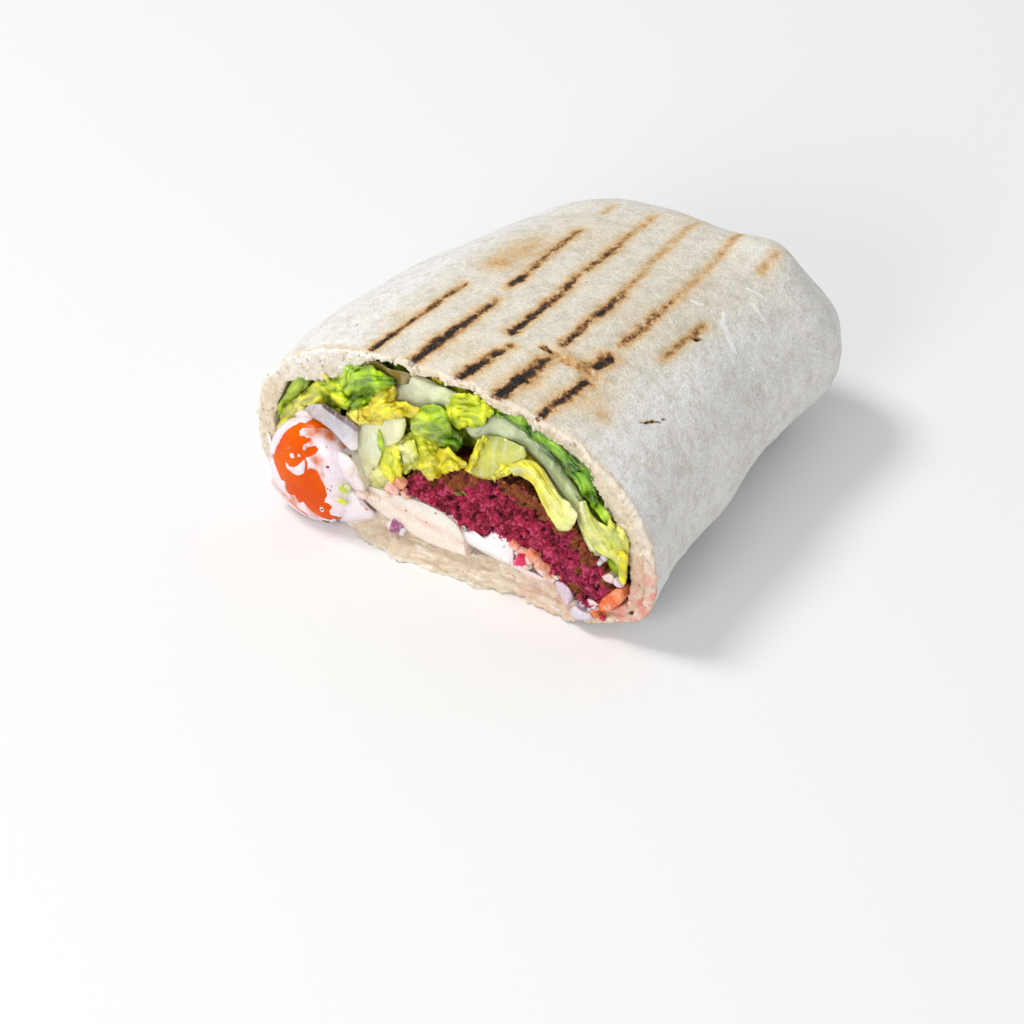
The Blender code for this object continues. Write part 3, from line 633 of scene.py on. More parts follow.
    # a blister lifts behind the cut, between two bars, with a crease before it
    d, side, run = polyline_distance(p[..., 0], y, ((9.5, 18.5), (13.0, 17.6), (17.0, 16.6), (21.0, 16.9), (26.0, 18.8)))
    ends = np.sin(np.clip(run, 0, 1) * math.pi) ** 0.5
    h += top * ends * (0.80 * np.exp(-((d - 1.3) / 1.5) ** 2) * (side < 0) - 0.42 * np.exp(-(d / 0.5) ** 2))
    flour = np.zeros_like(h)
    for p0, p1, wide, amount in FLOUR:
        d, side, run = polyline_distance(p[..., 0] + 0.3 * noise(p, 1.5, 33), y, (p0, p1))
        flour = np.maximum(flour, amount * (1 - step(d, wide * 0.7, wide * 1.15)) * step(noise(p, 0.9, 34), -0.65, -0.25))
    flour *= top
    h += 0.10 * flour
    # small crack and a burst bubble on the right
    d, side, run = polyline_distance(p[..., 0], y, ((33.9, 16.6), (34.4, 17.4), (34.9, 18.9), (35.7, 20.2)))
    crack = top * np.exp(-(d / (0.20 + 0.10 * noise(p, 0.9, 31))) ** 2) * step(noise(p, 1.1, 32), -0.25, 0.15)
    h -= 0.25 * crack
    hole = top * np.exp(-((p[..., 0] - 28.3) ** 2 + (y - 44.3) ** 2) / 0.55 ** 2)
    rimlet = top * np.exp(-((np.hypot(p[..., 0] - 28.3, y - 44.3) - 0.95) / 0.4) ** 2)
    h += 0.22 * rimlet - 0.6 * hole
    # tucked folds of the closed end: each is an edge laid over the next
    back = step(y, 70.0, 84.0) * outside
    fx, fz = p[..., 0], p[..., 2]
    for points, lift, reach in (
            (((-33, 8), (-24, 19), (-10, 27), (4, 30), (14, 32), (22, 33)), 1.7, 7.0),
            (((-20, 1), (-12, 10), (0, 17), (14, 21), (26, 22), (38, 19)), 1.5, 6.0),
            (((-30, 31), (-21, 27), (-12, 22), (-4, 15), (-1, 8)), 1.1, 5.0)):
        d, side, run = polyline_distance(fx + 1.5 * noise(p, 9.0, 41), fz, points)
        fade = np.sin(np.clip(run * 0.94 + 0.03, 0, 1) * math.pi) ** 0.6
        lay = np.where(side < 0, np.exp(-d / reach) * step(d, 0.0, 0.8), 0.0)
        h += back * fade * (lift * lay - 0.5 * np.exp(-(d / 0.7) ** 2))
    for at, depth in ((-152.0, 1.8), (-28.0, 1.6), (128.0, 1.9), (80.0, 0.9), (165.0, 0.9), (5.0, 0.8)):
        da = np.abs((angles - at + 180.0) % 360.0 - 180.0)[None, :]
        h -= outside * step(y, 80.0, 93.0) * depth * np.exp(-(da / 7.0) ** 2)
    # long soft creases where the roll was pressed
    for points, depth in ((((40, 30), (37, 45), (36, 60), (33, 76)), 0.55), (((-38, 20), (-36, 40), (-33, 62)), 0.45),
                          (((30, 60), (34, 67), (37, 76)), 0.5), (((-28, 66), (-18, 72), (-8, 80)), 0.4)):
        d, side, run = polyline_distance(p[..., 0], y, points)
        h -= top * np.sin(np.clip(run, 0, 1) * math.pi) * depth * np.exp(-(d / 2.4) ** 2)
    # the far right end is tucked in low down, with fine upright wrinkles above it
    low_right = np.exp(-((angles + 25.0) / 14.0) ** 2)[None, :]
    h -= outside * 5.4 * low_right * step(y, 34.0, 76.0)
    side_wall = step(p[..., 0], 30.0, 42.0)
    tall = np.stack([p[..., 0] * 0.5, y * 1.1, p[..., 2] * 0.22], axis=-1)
    h += outside * side_wall * step(y, 40.0, 70.0) * (0.16 * noise(tall, 2.4, 53) + 0.07 * noise(tall, 1.1, 54))
    h += outside * side_wall * 0.10 * noise(p, 3.2, 55)
    corner = np.exp(-((p[..., 0] - 27.5) / 6.0) ** 2 - ((y - 87.5) / 5.0) ** 2 - ((p[..., 2] - 37.5) / 6.0) ** 2)
    h -= outside * (1.1 * corner + 1.3 * np.exp(-((p[..., 0] - 32.0) / 6.0) ** 2 - ((y - 85.0) / 6.0) ** 2 - ((p[..., 2] - 34.0) / 6.0) ** 2))
    near = np.exp(-(y / 2.0) ** 2)
    h += outside * near * (0.22 * noise(p, 2.4, 51) + 0.16 * noise(p, 0.9, 52))
    h = h * skin
    # the inside of the roll is soft and a little wavy
    h += np.where(kinds == 2, 0.30 * fbm(p, 9.0, 2, 0.5, 61) + 0.10 * noise(p, 1.8, 62) + 5.2 * low_right * step(y, 30.0, 72.0), 0.0)
    swell_only = np.where(rim, 0.55 * fbm(p, 26.0, 2, 0.5, 1) * (1 - q), 0.0)
    p = p + nrm * np.where(rim, 0.0, h)[..., None]
    radial = np.stack([p[..., 0], 0 * y, p[..., 2] - 18.0], axis=-1)
    radial /= np.linalg.norm(radial, axis=-1, keepdims=True) + 1e-9
    p = p + radial * swell_only[..., None]

    # ---- the cut rim: ragged, with crumb, pores and the line between layers
    qd = q * total[None, :]
    soft = 1 - 0.8 * np.clip(flap / 2.0, 0, 1)
    round_out = 0.55 * soft[None, :] * np.clip(1 - qd / 0.7, 0, 1) ** 2
    round_in = 0.45 * np.clip(1 - (total[None, :] - qd) / 0.6, 0, 1) ** 2
    sheet = noise(np.stack([p[..., 0] * 0.35, 0 * y, qd * 2.2], axis=-1) + 0.3 * noise(p, 2.0, 76)[..., None], 1.1, 77)
    crumb_h = (0.50 * fbm(p, 2.6, 3, 0.65, 71) + 0.26 * noise(p, 0.8, 72) + 0.20 * noise(p, 0.45, 73)) * (1 + 1.0 * lip[None, :]) \
        + 0.52 * sheet * np.clip(0.35 + flap / 2.0, 0, 1)[None, :]
    f1, f2, tag = cells(p, 1.9, 5)
    pores = (tag > 0.80) * np.clip(1 - f1 / 0.34, 0, 1) ** 0.7
    gap = 0.25 + 0.75 * step(noise(ring, 5.0, 17), -0.25, 0.35) * (1 - 0.5 * wall)
    line = (two * gap)[None, :] * np.exp(-((qd - split[None, :]) / 0.30) ** 2)
    inner_part = two[None, :] * step(qd - split[None, :], 0.0, 0.35)
    recess = inner_part * (0.6 - 0.4 * step(x0, 4.0, 16.0) * (z0 < 14))[None, :]
    on_rim = round_out + round_in - crumb_h + 0.5 * pores + 1.3 * line + recess
    first, last_rim = len(outer_y), len(outer_y) + len(rim_q) - 1
    shift_y = np.where(rim, rag[None, :] + on_rim,
                       np.where(outside, (rag + on_rim[first])[None, :] * np.exp(-y / 2.0),
                                (rag + on_rim[last_rim])[None, :] * np.exp(-y / 2.2)))
    # the lower layers were cut on a slant: their outer edge lies forward
    slope = np.clip(1 - qd / (np.where(two > 0.5, split, total)[None, :] * 1.12), 0, 1) ** 0.85
    reach = np.where(outside, np.exp(-y / 3.0), np.where(rim, slope, 0.0))
    shift_y = shift_y - flap[None, :] * reach
    p[..., 1] += shift_y
    p[..., 2] = np.maximum(p[..., 2], 0.02 + 0.0 * y)

    # ---- paint sources
    tear = 0.35 + 0.8 * np.maximum(0, noise(ring, 4.0, 81)) + 1.7 * np.exp(-((x0 + 29.0) / 7.0) ** 4) * (zs > 25) \
        + 0.9 * np.exp(-((x0 - 31) / 6.0) ** 2) * (zs > 25)
    crumb = np.where(outside, 1 - step(y, tear[None, :] * 0.6, tear[None, :] * 1.25 + 0.25), 1.0)
    warm = outside * step(up, 0.25, 0.8) * step(p[..., 0], -30.0, -20.0) * (1 - step(p[..., 0], 24.0, 36.0)) \
        * (1 - 0.45 * step(y, 55.0, 85.0))
    warm = np.clip(warm + 0.25 * outside * noise(p, 16.0, 91), 0, 1)
    # painted shade along the slit between the layers, for the material
    slit_shade = np.where(rim, line, 0.0)
    pink = (rim | (kinds == 2)) * (0.85 * np.exp(-((p[..., 0] - 41) / 7.0) ** 2 - ((p[..., 2] - 7) / 5.5) ** 2)
                                 + 0.75 * np.exp(-((p[..., 0] - 47) / 5.0) ** 2 - ((p[..., 2] - 15) / 7.0) ** 2)
                                 + 0.35 * np.exp(-((p[..., 0] - 22) / 9.0) ** 2) * (p[..., 2] < 8)
                                 + 0.30 * np.exp(-((p[..., 0] + 43) / 5.0) ** 2 - ((p[..., 2] - 3) / 5.0) ** 2))
    spots = hole * 0.9 + crack * 0.9
    # flour caught on the torn edge at the upper left and along the outer skin
    powder = np.where(rim, step(p[..., 2], 27.0, 35.0) * (1 - step(p[..., 0], -22.0, -10.0)) * (1.0 - 0.45 * q)
                      + 0.42 * (1 - step(q, 0.10, 0.36)) * step(p[..., 2], 8.0, 16.0), 0.0)
    low_front = np.where(rim | (kinds == 2), (p[..., 2] < 13) * (1 - step(p[..., 1], 4.0, 9.0)), 0.0)
    powder = np.clip(powder + 0.8 * np.where(rim, np.clip(flap / 2.0, 0, 1)[None, :] * (1 - step(q, 0.02, 0.10)), 0.0), 0, 1)
    inside = np.where(kinds == 2, step(y, 0.0, 3.0), 0.0)

    n_rows = p.shape[0]
    verts = p.reshape(-1, 3)
    quads = grid_faces(n_rows, cols, wrap_cols=True)
    pole = np.array([[np.mean(p[0, :, 0]), 94.0, np.mean(p[0, :, 2])]])
    deep = np.array([[np.mean(p[-1, :, 0]), p[-1, :, 1].mean(), np.mean(p[-1, :, 2])]])
    verts = np.vstack([verts, pole, deep])
    c = np.arange(cols)
    c2 = (c + 1) % cols
    top_fan = np.stack([np.full(cols, len(verts) - 2), c2, c], axis=-1)
    last = (n_rows - 1) * cols
    deep_fan = np.stack([np.full(cols, len(verts) - 1), last + c, last + c2], axis=-1)

    def flat(v, a=0.0, b=0.0):
        v = np.broadcast_to(v, p.shape[:2]).astype(float).ravel()
        return np.concatenate([v, [a, b]])

    global RIM_POINTS
    RIM_POINTS = (p[first:last_rim + 1], angles, q[first:last_rim + 1])
    attrs = {"burnt": flat(heat), "warm": flat(warm), "crumb": flat(crumb, 0, 1), "slit_shade": flat(slit_shade),
             "pink": flat(pink), "spots": flat(spots), "inside": flat(inside, 0, 1), "dusted": flat(flour),
             "powder": flat(powder), "across": flat(p[..., 0]), "along": flat(y, 94.0, 76.0), "upper": flat(top), "lower": flat(low_front), "scorch": flat(scorch), "tan": flat(np.where(rim, (np.clip(flap / 2.0, 0, 1) * (1 - 0.6 * step(x0, 4.0, 18.0)))[None, :] * (1 - 0.5 * q) * step(q + 0.03 * noise(p, 1.0, 19), 0.05, 0.16), 0.0))}
    return add_mesh("rolled_flatbread", verts, quads, np.vstack([top_fan, deep_fan]), mat, attrs)


def near_line(m, across, along, p0, p1):
    """Distance in mm from a short straight line on the skin."""
    dx, dy = p1[0] - p0[0], p1[1] - p0[1]
    n = dx * dx + dy * dy
    u, v = m.math('SUBTRACT', across, p0[0]), m.math('SUBTRACT', along, p0[1])
    t = m.math('ADD', m.math('MULTIPLY', u, dx / n), m.math('MULTIPLY', v, dy / n), clamp=True)
    ex, ey = m.math('MULTIPLY_ADD', t, -dx, u), m.math('MULTIPLY_ADD', t, -dy, v)
    return m.math('POWER', m.math('ADD', m.math('MULTIPLY', ex, ex), m.math('MULTIPLY', ey, ey)), 0.5)


CRACKS = (((33.7, 16.2), (34.4, 17.4), 0.20), ((34.4, 17.4), (34.9, 18.9), 0.26), ((34.9, 18.9), (35.7, 20.4), 0.18),
          ((35.5, 21.2), (35.7, 21.8), 0.18), ((10.0, 18.2), (11.6, 17.4), 0.34), ((28.0, 43.6), (28.7, 45.0), 0.34))


def bread_material():
    m = Nodes("baked_flatbread")
    heat, warm = m.attr("burnt"), m.attr("warm")
    crumb, slit_shade, pink = m.attr("crumb"), m.attr("slit_shade"), m.attr("pink")
    fine = m.noise(0.55, 3, 0.6)
    mid = m.noise(2.4, 3, 0.6, seed=2.0)
    wide = m.noise(9.0, 2, 0.5, seed=3.0)
    white = srgb(241, 239, 236)
    cream = srgb(232, 225, 210)
    olive = srgb(211, 207, 189)
    base = m.mix(warm, white, cream)
    patch = m.math('MULTIPLY', m.remap(mid, 0.48, 0.66), m.math('MULTIPLY_ADD', warm, 0.55, 0.26))
    base = m.mix(patch, base, olive)
    base = m.mix(m.math('MULTIPLY', m.remap(wide, 0.52, 0.75), 0.35), base, srgb(219, 213, 202))
    grey = m.math('MULTIPLY', m.remap(m.noise(4.5, 3, 0.6, seed=17.0), 0.50, 0.70), 0.38)
    base = m.mix(grey, base, srgb(204, 198, 184))
    smudge = m.math('MULTIPLY', m.remap(m.noise(3.0, 4, 0.68, seed=21.0), 0.49, 0.64), 0.42)
    base = m.mix(smudge, base, srgb(206, 197, 178))
    flour = m.math('MULTIPLY', m.remap(m.noise(1.3, 4, 0.7, seed=5.0), 0.54, 0.68), 0.60)
    base = m.mix(flour, base, srgb(243, 241, 237))
    dust = m.remap(m.noise(0.42, 3, 0.7, seed=6.0), 0.35, 0.65, 0.87, 1.10)
    base = m.scale(base, dust)
    speck = m.math('MULTIPLY', m.remap(m.noise(0.9, 1, 0.4, seed=9.0), 0.765, 0.80), 0.75)
    base = m.mix(speck, base, srgb(150, 118, 84))
    across, along, upper = m.attr("across"), m.attr("along"), m.attr("upper")
    rag = m.math('MULTIPLY', m.math('SUBTRACT', m.noise(0.9, 3, 0.65, seed=33.0), 0.5), 1.1)
    strokes = 0.0
    for p0, p1, wide, amount in FLOUR:
        d = m.math('ADD', near_line(m, across, along, p0, p1), rag)
        strokes = m.math('MAXIMUM', strokes, m.remap(d, wide * 1.25, wide * 0.75, 0.0, amount))
    strokes = m.math('MULTIPLY', strokes, upper)
    base = m.mix(m.math('MULTIPLY', strokes, 0.95), base, srgb(252, 251, 248))
    split = 0.0
    for p0, p1, wide in CRACKS:
        d = m.math('ADD', near_line(m, across, along, p0, p1), m.math('MULTIPLY', rag, 0.7))
        split = m.math('MAXIMUM', split, m.remap(d, wide * 1.3, wide * 0.6, 0.0, 0.85))
    base = m.mix(m.math('MULTIPLY', split, upper), base, srgb(104, 74, 46))
    # bars: the grain breaks up the edge of each, dark cores inside
    grain = m.math('SUBTRACT', m.noise(0.62, 3, 0.7, seed=4.0), 0.5)
    near = m.remap(heat, 0.05, 0.5)
    burn = m.math('ADD', heat, m.math('MULTIPLY', grain, m.math('MULTIPLY', near, 1.15)))
    blotch = m.math('SUBTRACT', m.noise(2.0, 3, 0.6, seed=8.0), 0.5)
    burn = m.math('ADD', burn, m.math('MULTIPLY', blotch, m.math('MULTIPLY', near, 1.65)))
    burn = m.math('MAXIMUM', burn, m.attr("spots"))
    tint = m.ramp(burn, ((0.0, (1, 1, 1)), (0.05, (0.99, 0.93, 0.84)), (0.14, (0.95, 0.77, 0.56)),
                         (0.27, (0.83, 0.53, 0.26)), (0.40, (0.52, 0.28, 0.12)), (0.54, (0.26, 0.13, 0.055)),
                         (0.68, (0.085, 0.042, 0.022)), (0.84, (0.022, 0.014, 0.012)), (1.0, (0.010, 0.008, 0.008))))
    skin = m.mix(1.0, base, tint, 'MULTIPLY')
    # cut crumb: doughy, yellower, with paler torn threads
    dough = m.mix(m.remap(mid, 0.35, 0.65), srgb(238, 223, 201), srgb(227, 209, 181))
    dough = m.mix(m.math('MULTIPLY', m.remap(fine, 0.55, 0.72), 0.55), dough, srgb(248, 242, 230))
    dough = m.mix(m.math('MULTIPLY', m.remap(m.noise(1.6, 2, 0.5, seed=12.0), 0.68, 0.78), 0.25), dough, srgb(208, 184, 142))
    dough = m.mix(m.math('MULTIPLY', m.attr("inside"), 0.50), dough, srgb(220, 203, 172))
    # painted shade in the slit between the layers
    dough = m.mix(m.math('MULTIPLY', slit_shade, 0.5), dough, srgb(176, 146, 104))
    fibre = m.noise(0.95, 4, 0.68, stretch=(0.20, 1.0, 1.0), seed=22.0)
    tan = m.math('MULTIPLY', m.attr("tan"), m.remap(fibre, 0.38, 0.62, 0.45, 1.0))
    dough = m.mix(tan, dough, srgb(219, 197, 170))
    low_rim = m.math('MAXIMUM', m.attr("tan"), m.math('MULTIPLY', m.attr("lower"), 0.85))
    dough = m.mix(m.math('MULTIPLY', low_rim, m.remap(fibre, 0.53, 0.64)), dough, srgb(247, 240, 228))
    dough = m.mix(m.math('MULTIPLY', low_rim, m.remap(fibre, 0.45, 0.36, 0.0, 0.75)), dough, srgb(196, 166, 132))
    dough = m.mix(m.math('MULTIPLY', m.attr("powder"), m.remap(m.noise(1.4, 4, 0.7, seed=31.0), 0.36, 0.60, 0.25, 0.95)), dough, srgb(247, 244, 239))
    burnt_edge = m.math('MULTIPLY', m.attr("scorch"), m.remap(m.noise(0.9, 3, 0.6, seed=23.0), 0.35, 0.65, 0.2, 1.2))
    dough = m.mix(m.remap(burnt_edge, 0.05, 0.75), dough, srgb(150, 88, 40))
    stain = m.math('MULTIPLY', pink, m.remap(m.noise(2.2, 3, 0.6, seed=14.0), 0.36, 0.64, 0.20, 1.30), clamp=True)
    dough = m.mix(stain, dough, srgb(231, 164, 150))
    dots = m.math('MULTIPLY', m.remap(m.noise(1.1, 1, 0.4, seed=15.0), 0.70, 0.76), m.remap(pink, 0.25, 0.6))
    dough = m.mix(dots, dough, srgb(202, 52, 64))
    m.set(Base_Color=m.mix(crumb, skin, dough))
    rough = m.remap(burn, 0.45, 0.85, 0.80, 0.36)
    m.set(Roughness=m.math('ADD', rough, m.math('MULTIPLY_ADD', fine, 0.16, -0.08)))
    m.shader.inputs["Specular IOR Level"].default_value = 0.35
    m.shader.inputs["Subsurface Weight"].default_value = 0.12
    m.shader.inputs["Subsurface Radius"].default_value = (1.0, 0.75, 0.5)
    m.shader.inputs["Subsurface Scale"].default_value = 0.0016
    height = m.math('ADD', m.math('MULTIPLY', fine, 0.55), m.math('MULTIPLY', m.noise(1.4, 3, 0.6, seed=20.0), 0.9))
    char = m.math('MULTIPLY', m.cells(0.8, 'SMOOTH_F1', smoothness=0.4), m.remap(burn, 0.4, 0.9))
    height = m.math('ADD', height, m.math('MULTIPLY', char, 1.6))
    m.set(Normal=m.bump(height, 0.34, 1.15))
    return m.mat


# ------------------------------------------------------------ heaps of small closed meshes
class Heap:
    """Gathers closed bodies that become one object."""

    def __init__(self):
        self.verts, self.quads, self.tris, self.attrs, self.colours = [], [], [], {}, []
        self.count = 0

    def add(self, verts, quads=None, tris=None, colour=None, **attrs):
        verts = np.asarray(verts, float).reshape(-1, 3)
        quads = np.zeros((0, 4), int) if quads is None else np.asarray(quads, int)
        tris = np.zeros((0, 3), int) if tris is None else np.asarray(tris, int)
        parts = [t for t in (quads[:, [0, 1, 2]], quads[:, [0, 2, 3]], tris) if len(t)]
        if signed_volume(verts - verts.mean(0), np.concatenate(parts)) < 0:
            quads, tris = quads[:, ::-1], tris[:, ::-1]
        n = len(verts)
        self.verts.append(verts)
        self.quads.append(quads + self.count)
        self.tris.append(tris + self.count)
        col = np.ones((n, 3)) if colour is None else np.broadcast_to(colour, (n, 3))
        self.colours.append(col)
        for key, value in attrs.items():
            self.attrs.setdefault(key, []).append((self.count, np.broadcast_to(np.asarray(value, float).ravel() if np.ndim(value) else value, (n,))))
        self.count += n

    def build(self, name, material):
        attrs = {}
        for key, runs in self.attrs.items():
            full = np.zeros(self.count)
            for at, values in runs:
                full[at:at + len(values)] = values
            attrs[key] = full
        return add_mesh(name, np.vstack(self.verts), np.vstack(self.quads), np.vstack(self.tris), material,
                        attrs, {"tone": np.vstack(self.colours)}, flip=False)


_sphere_cache = {}


def sphere(n):
    """A cube sphere with n cells along each cube edge: unit points and quads."""
    if n in _sphere_cache:
        return _sphere_cache[n]
    keys, pts, quads = {}, [], []
    lin = np.tan(np.linspace(-math.pi / 4, math.pi / 4, n + 1))

    def vert(v):
        k = tuple(np.round(v, 6))
        if k not in keys:
            keys[k] = len(pts)
            pts.append(np.array(v) / np.linalg.norm(v))
        return keys[k]

    for axis in range(3):
        for sign in (-1.0, 1.0):
            for i in range(n):
                for j in range(n):
                    q = []
                    for di, dj in ((0, 0), (1, 0), (1, 1), (0, 1)):
                        v = [0, 0, 0]
                        v[axis] = sign
                        v[(axis + 1) % 3] = lin[i + di] * sign
                        v[(axis + 2) % 3] = lin[j + dj]
                        q.append(vert(v))
                    quads.append(q)
    _sphere_cache[n] = (np.array(pts), np.array(quads))
    return _sphere_cache[n]


def turned(v, angles):
    """Rotates points by angles in degrees about X, then Y, then Z."""
    for axis, deg in enumerate(angles):
        if deg:
            a = math.radians(deg)
            c, s = math.cos(a), math.sin(a)
            i, j = (axis + 1) % 3, (axis + 2) % 3
            w = v.copy()
            w[..., i] = v[..., i] * c - v[..., j] * s
            w[..., j] = v[..., i] * s + v[..., j] * c
            v = w
    return v


def lump(centre, size, turn=(0, 0, 0), boxy=2.4, n=10, wobble=0.12, rough=0.0, seed=0):
    """A rounded irregular bit: centre, full size, turn, squareness."""
    d, quads = sphere(n)
    k = (np.abs(d) ** boxy).sum(1) ** (-1.0 / boxy)
    k = k * (1 + wobble * noise(d + seed * 3.7, 0.9, seed) + 0.5 * wobble * noise(d + seed, 0.45, seed + 1))
    p = d * k[:, None] * np.asarray(size, float) / 2
    if rough:
        p = p * (1 + rough * noise(p + seed * 5.1, 0.5, seed + 2))[:, None]
    return turned(p, turn) + np.asarray(centre, float), quads


def at_view(x, y, z):
    """The place at depth y that shows at (x, z) of the cut's plane."""
    t = y / VIEW_Y
    return x + (x - VIEW_X) * t, y, z + (z - VIEW_Z) * t


def seen(p):
    """Where points show in the cut's plane."""
    t = p[..., 1] / VIEW_Y
    return (p[..., 0] + VIEW_X * t) / (1 + t), (p[..., 2] + VIEW_Z * t) / (1 + t)


def confine(p, margin=0.35):
    """Keeps points inside the roll's hollow."""
    x, y, z = p[..., 0].copy(), p[..., 1], p[..., 2].copy()
    yy = np.clip(y, 0, 79)
    mid = along(yy, HEIGHT) * along(yy, WIDEST_AT)
    hx = np.where(x >= 0, along(yy, HALF_RIGHT) - 6.9, along(yy, HALF_LEFT) - 4.9) - margin
    hz = np.where(z >= mid, along(yy, HEIGHT) - mid - 3.9 - 1.6 * step(x, 18, 34), mid - 3.4) - margin
    px = np.where(x >= 0, POWER_RIGHT, POWER_LEFT)
    pz = np.where(z >= mid, POWER_TOP, POWER_BOTTOM)
    f = (np.abs(x) / hx) ** px + (np.abs(z - mid) / hz) ** pz
    k = np.where((f > 1) & (y > 0.6), f ** (-1 / 2.5), 1.0)
    k = 1 + (k - 1) * step(y, 0.6, 1.8)
    return np.stack([x * k, p[..., 1], mid + (z - mid) * k], axis=-1)


# ------------------------------------------------------------ falafel
F_LEFT, F_CROWN, F_RIGHT, F_HALF, F_BACK = (-13.6, 15.4), (15.6, 29.2), (36.8, 6.9), 7.1, 76.0


def falafel_axis(t):
    a, b, c = F_LEFT, F_CROWN, F_RIGHT
    x = (1 - t) ** 2 * a[0] + 2 * t * (1 - t) * b[0] + t * t * c[0]
    z = (1 - t) ** 2 * a[1] + 2 * t * (1 - t) * b[1] + t * t * c[1]
    dx = 2 * (1 - t) * (b[0] - a[0]) + 2 * t * (c[0] - b[0])
    dz = 2 * (1 - t) * (b[1] - a[1]) + 2 * t * (c[1] - b[1])
    n = np.hypot(dx, dz)
    return x, z, -dz / n, dx / n


def falafel_half(t):
    t = np.clip(t, 1e-4, 1 - 1e-4)
    return F_HALF * np.minimum(1.0, t / 0.36) ** 0.62 * (1.0 - t ** 10) ** 0.5


def strip_body(low, high, face_v, back_y, n_cap=6):
    """A body seen end on: rows go forward along its underside, up its face,
    back along its top and down its far end.  low and high are functions of y
    that give (x, z) for every column.  Returns points, face share v, depth y
    and a zone per row: 0 under, 1 face, 2 top, 3 far end."""
    rows, vs, zone = [], [], []

    def row(v, y, z):
        lx, lz = low(y)
        hx, hz = high(y)
        s = (v + 1) / 2
        rows.append(np.stack([lx + (hx - lx) * s, np.full(len(lx), y), lz + (hz - lz) * s], axis=-1))
        vs.append(v)
        zone.append(z)

    for y in back_y[::-1]:
        row(-1.0, y, 0)
    for v in face_v:
        row(v, 0.0, 1)
    for y in back_y:
        row(1.0, y, 2)
    for v in np.linspace(1, -1, n_cap + 2)[1:-1]:
        row(v, back_y[-1], 3)
    return np.array(rows), np.array(vs)[:, None], np.array(zone)[:, None]


def strip_mesh(p):
    """Verts and faces of a strip body: rows wrap round, ends are fans."""
    rows, cols = p.shape[:2]
    r = np.arange(rows)[:, None]
    c = np.arange(cols - 1)[None, :]
    r2 = (r + 1) % rows
    quads = np.stack([r * cols + c, r * cols + c + 1, r2 * cols + c + 1, r2 * cols + c], axis=-1).reshape(-1, 4)
    verts = p.reshape(-1, 3)
    first, last = len(verts), len(verts) + 1
    verts = np.vstack([verts, p[:, 0].mean(0), p[:, -1].mean(0)])
    rr = np.arange(rows)
    rn = (rr + 1) % rows
    tris = np.vstack([np.stack([np.full(rows, first), rr * cols, rn * cols], axis=-1),
                      np.stack([np.full(rows, last), rn * cols + cols - 1, rr * cols + cols - 1], axis=-1)])
    return verts, quads, tris


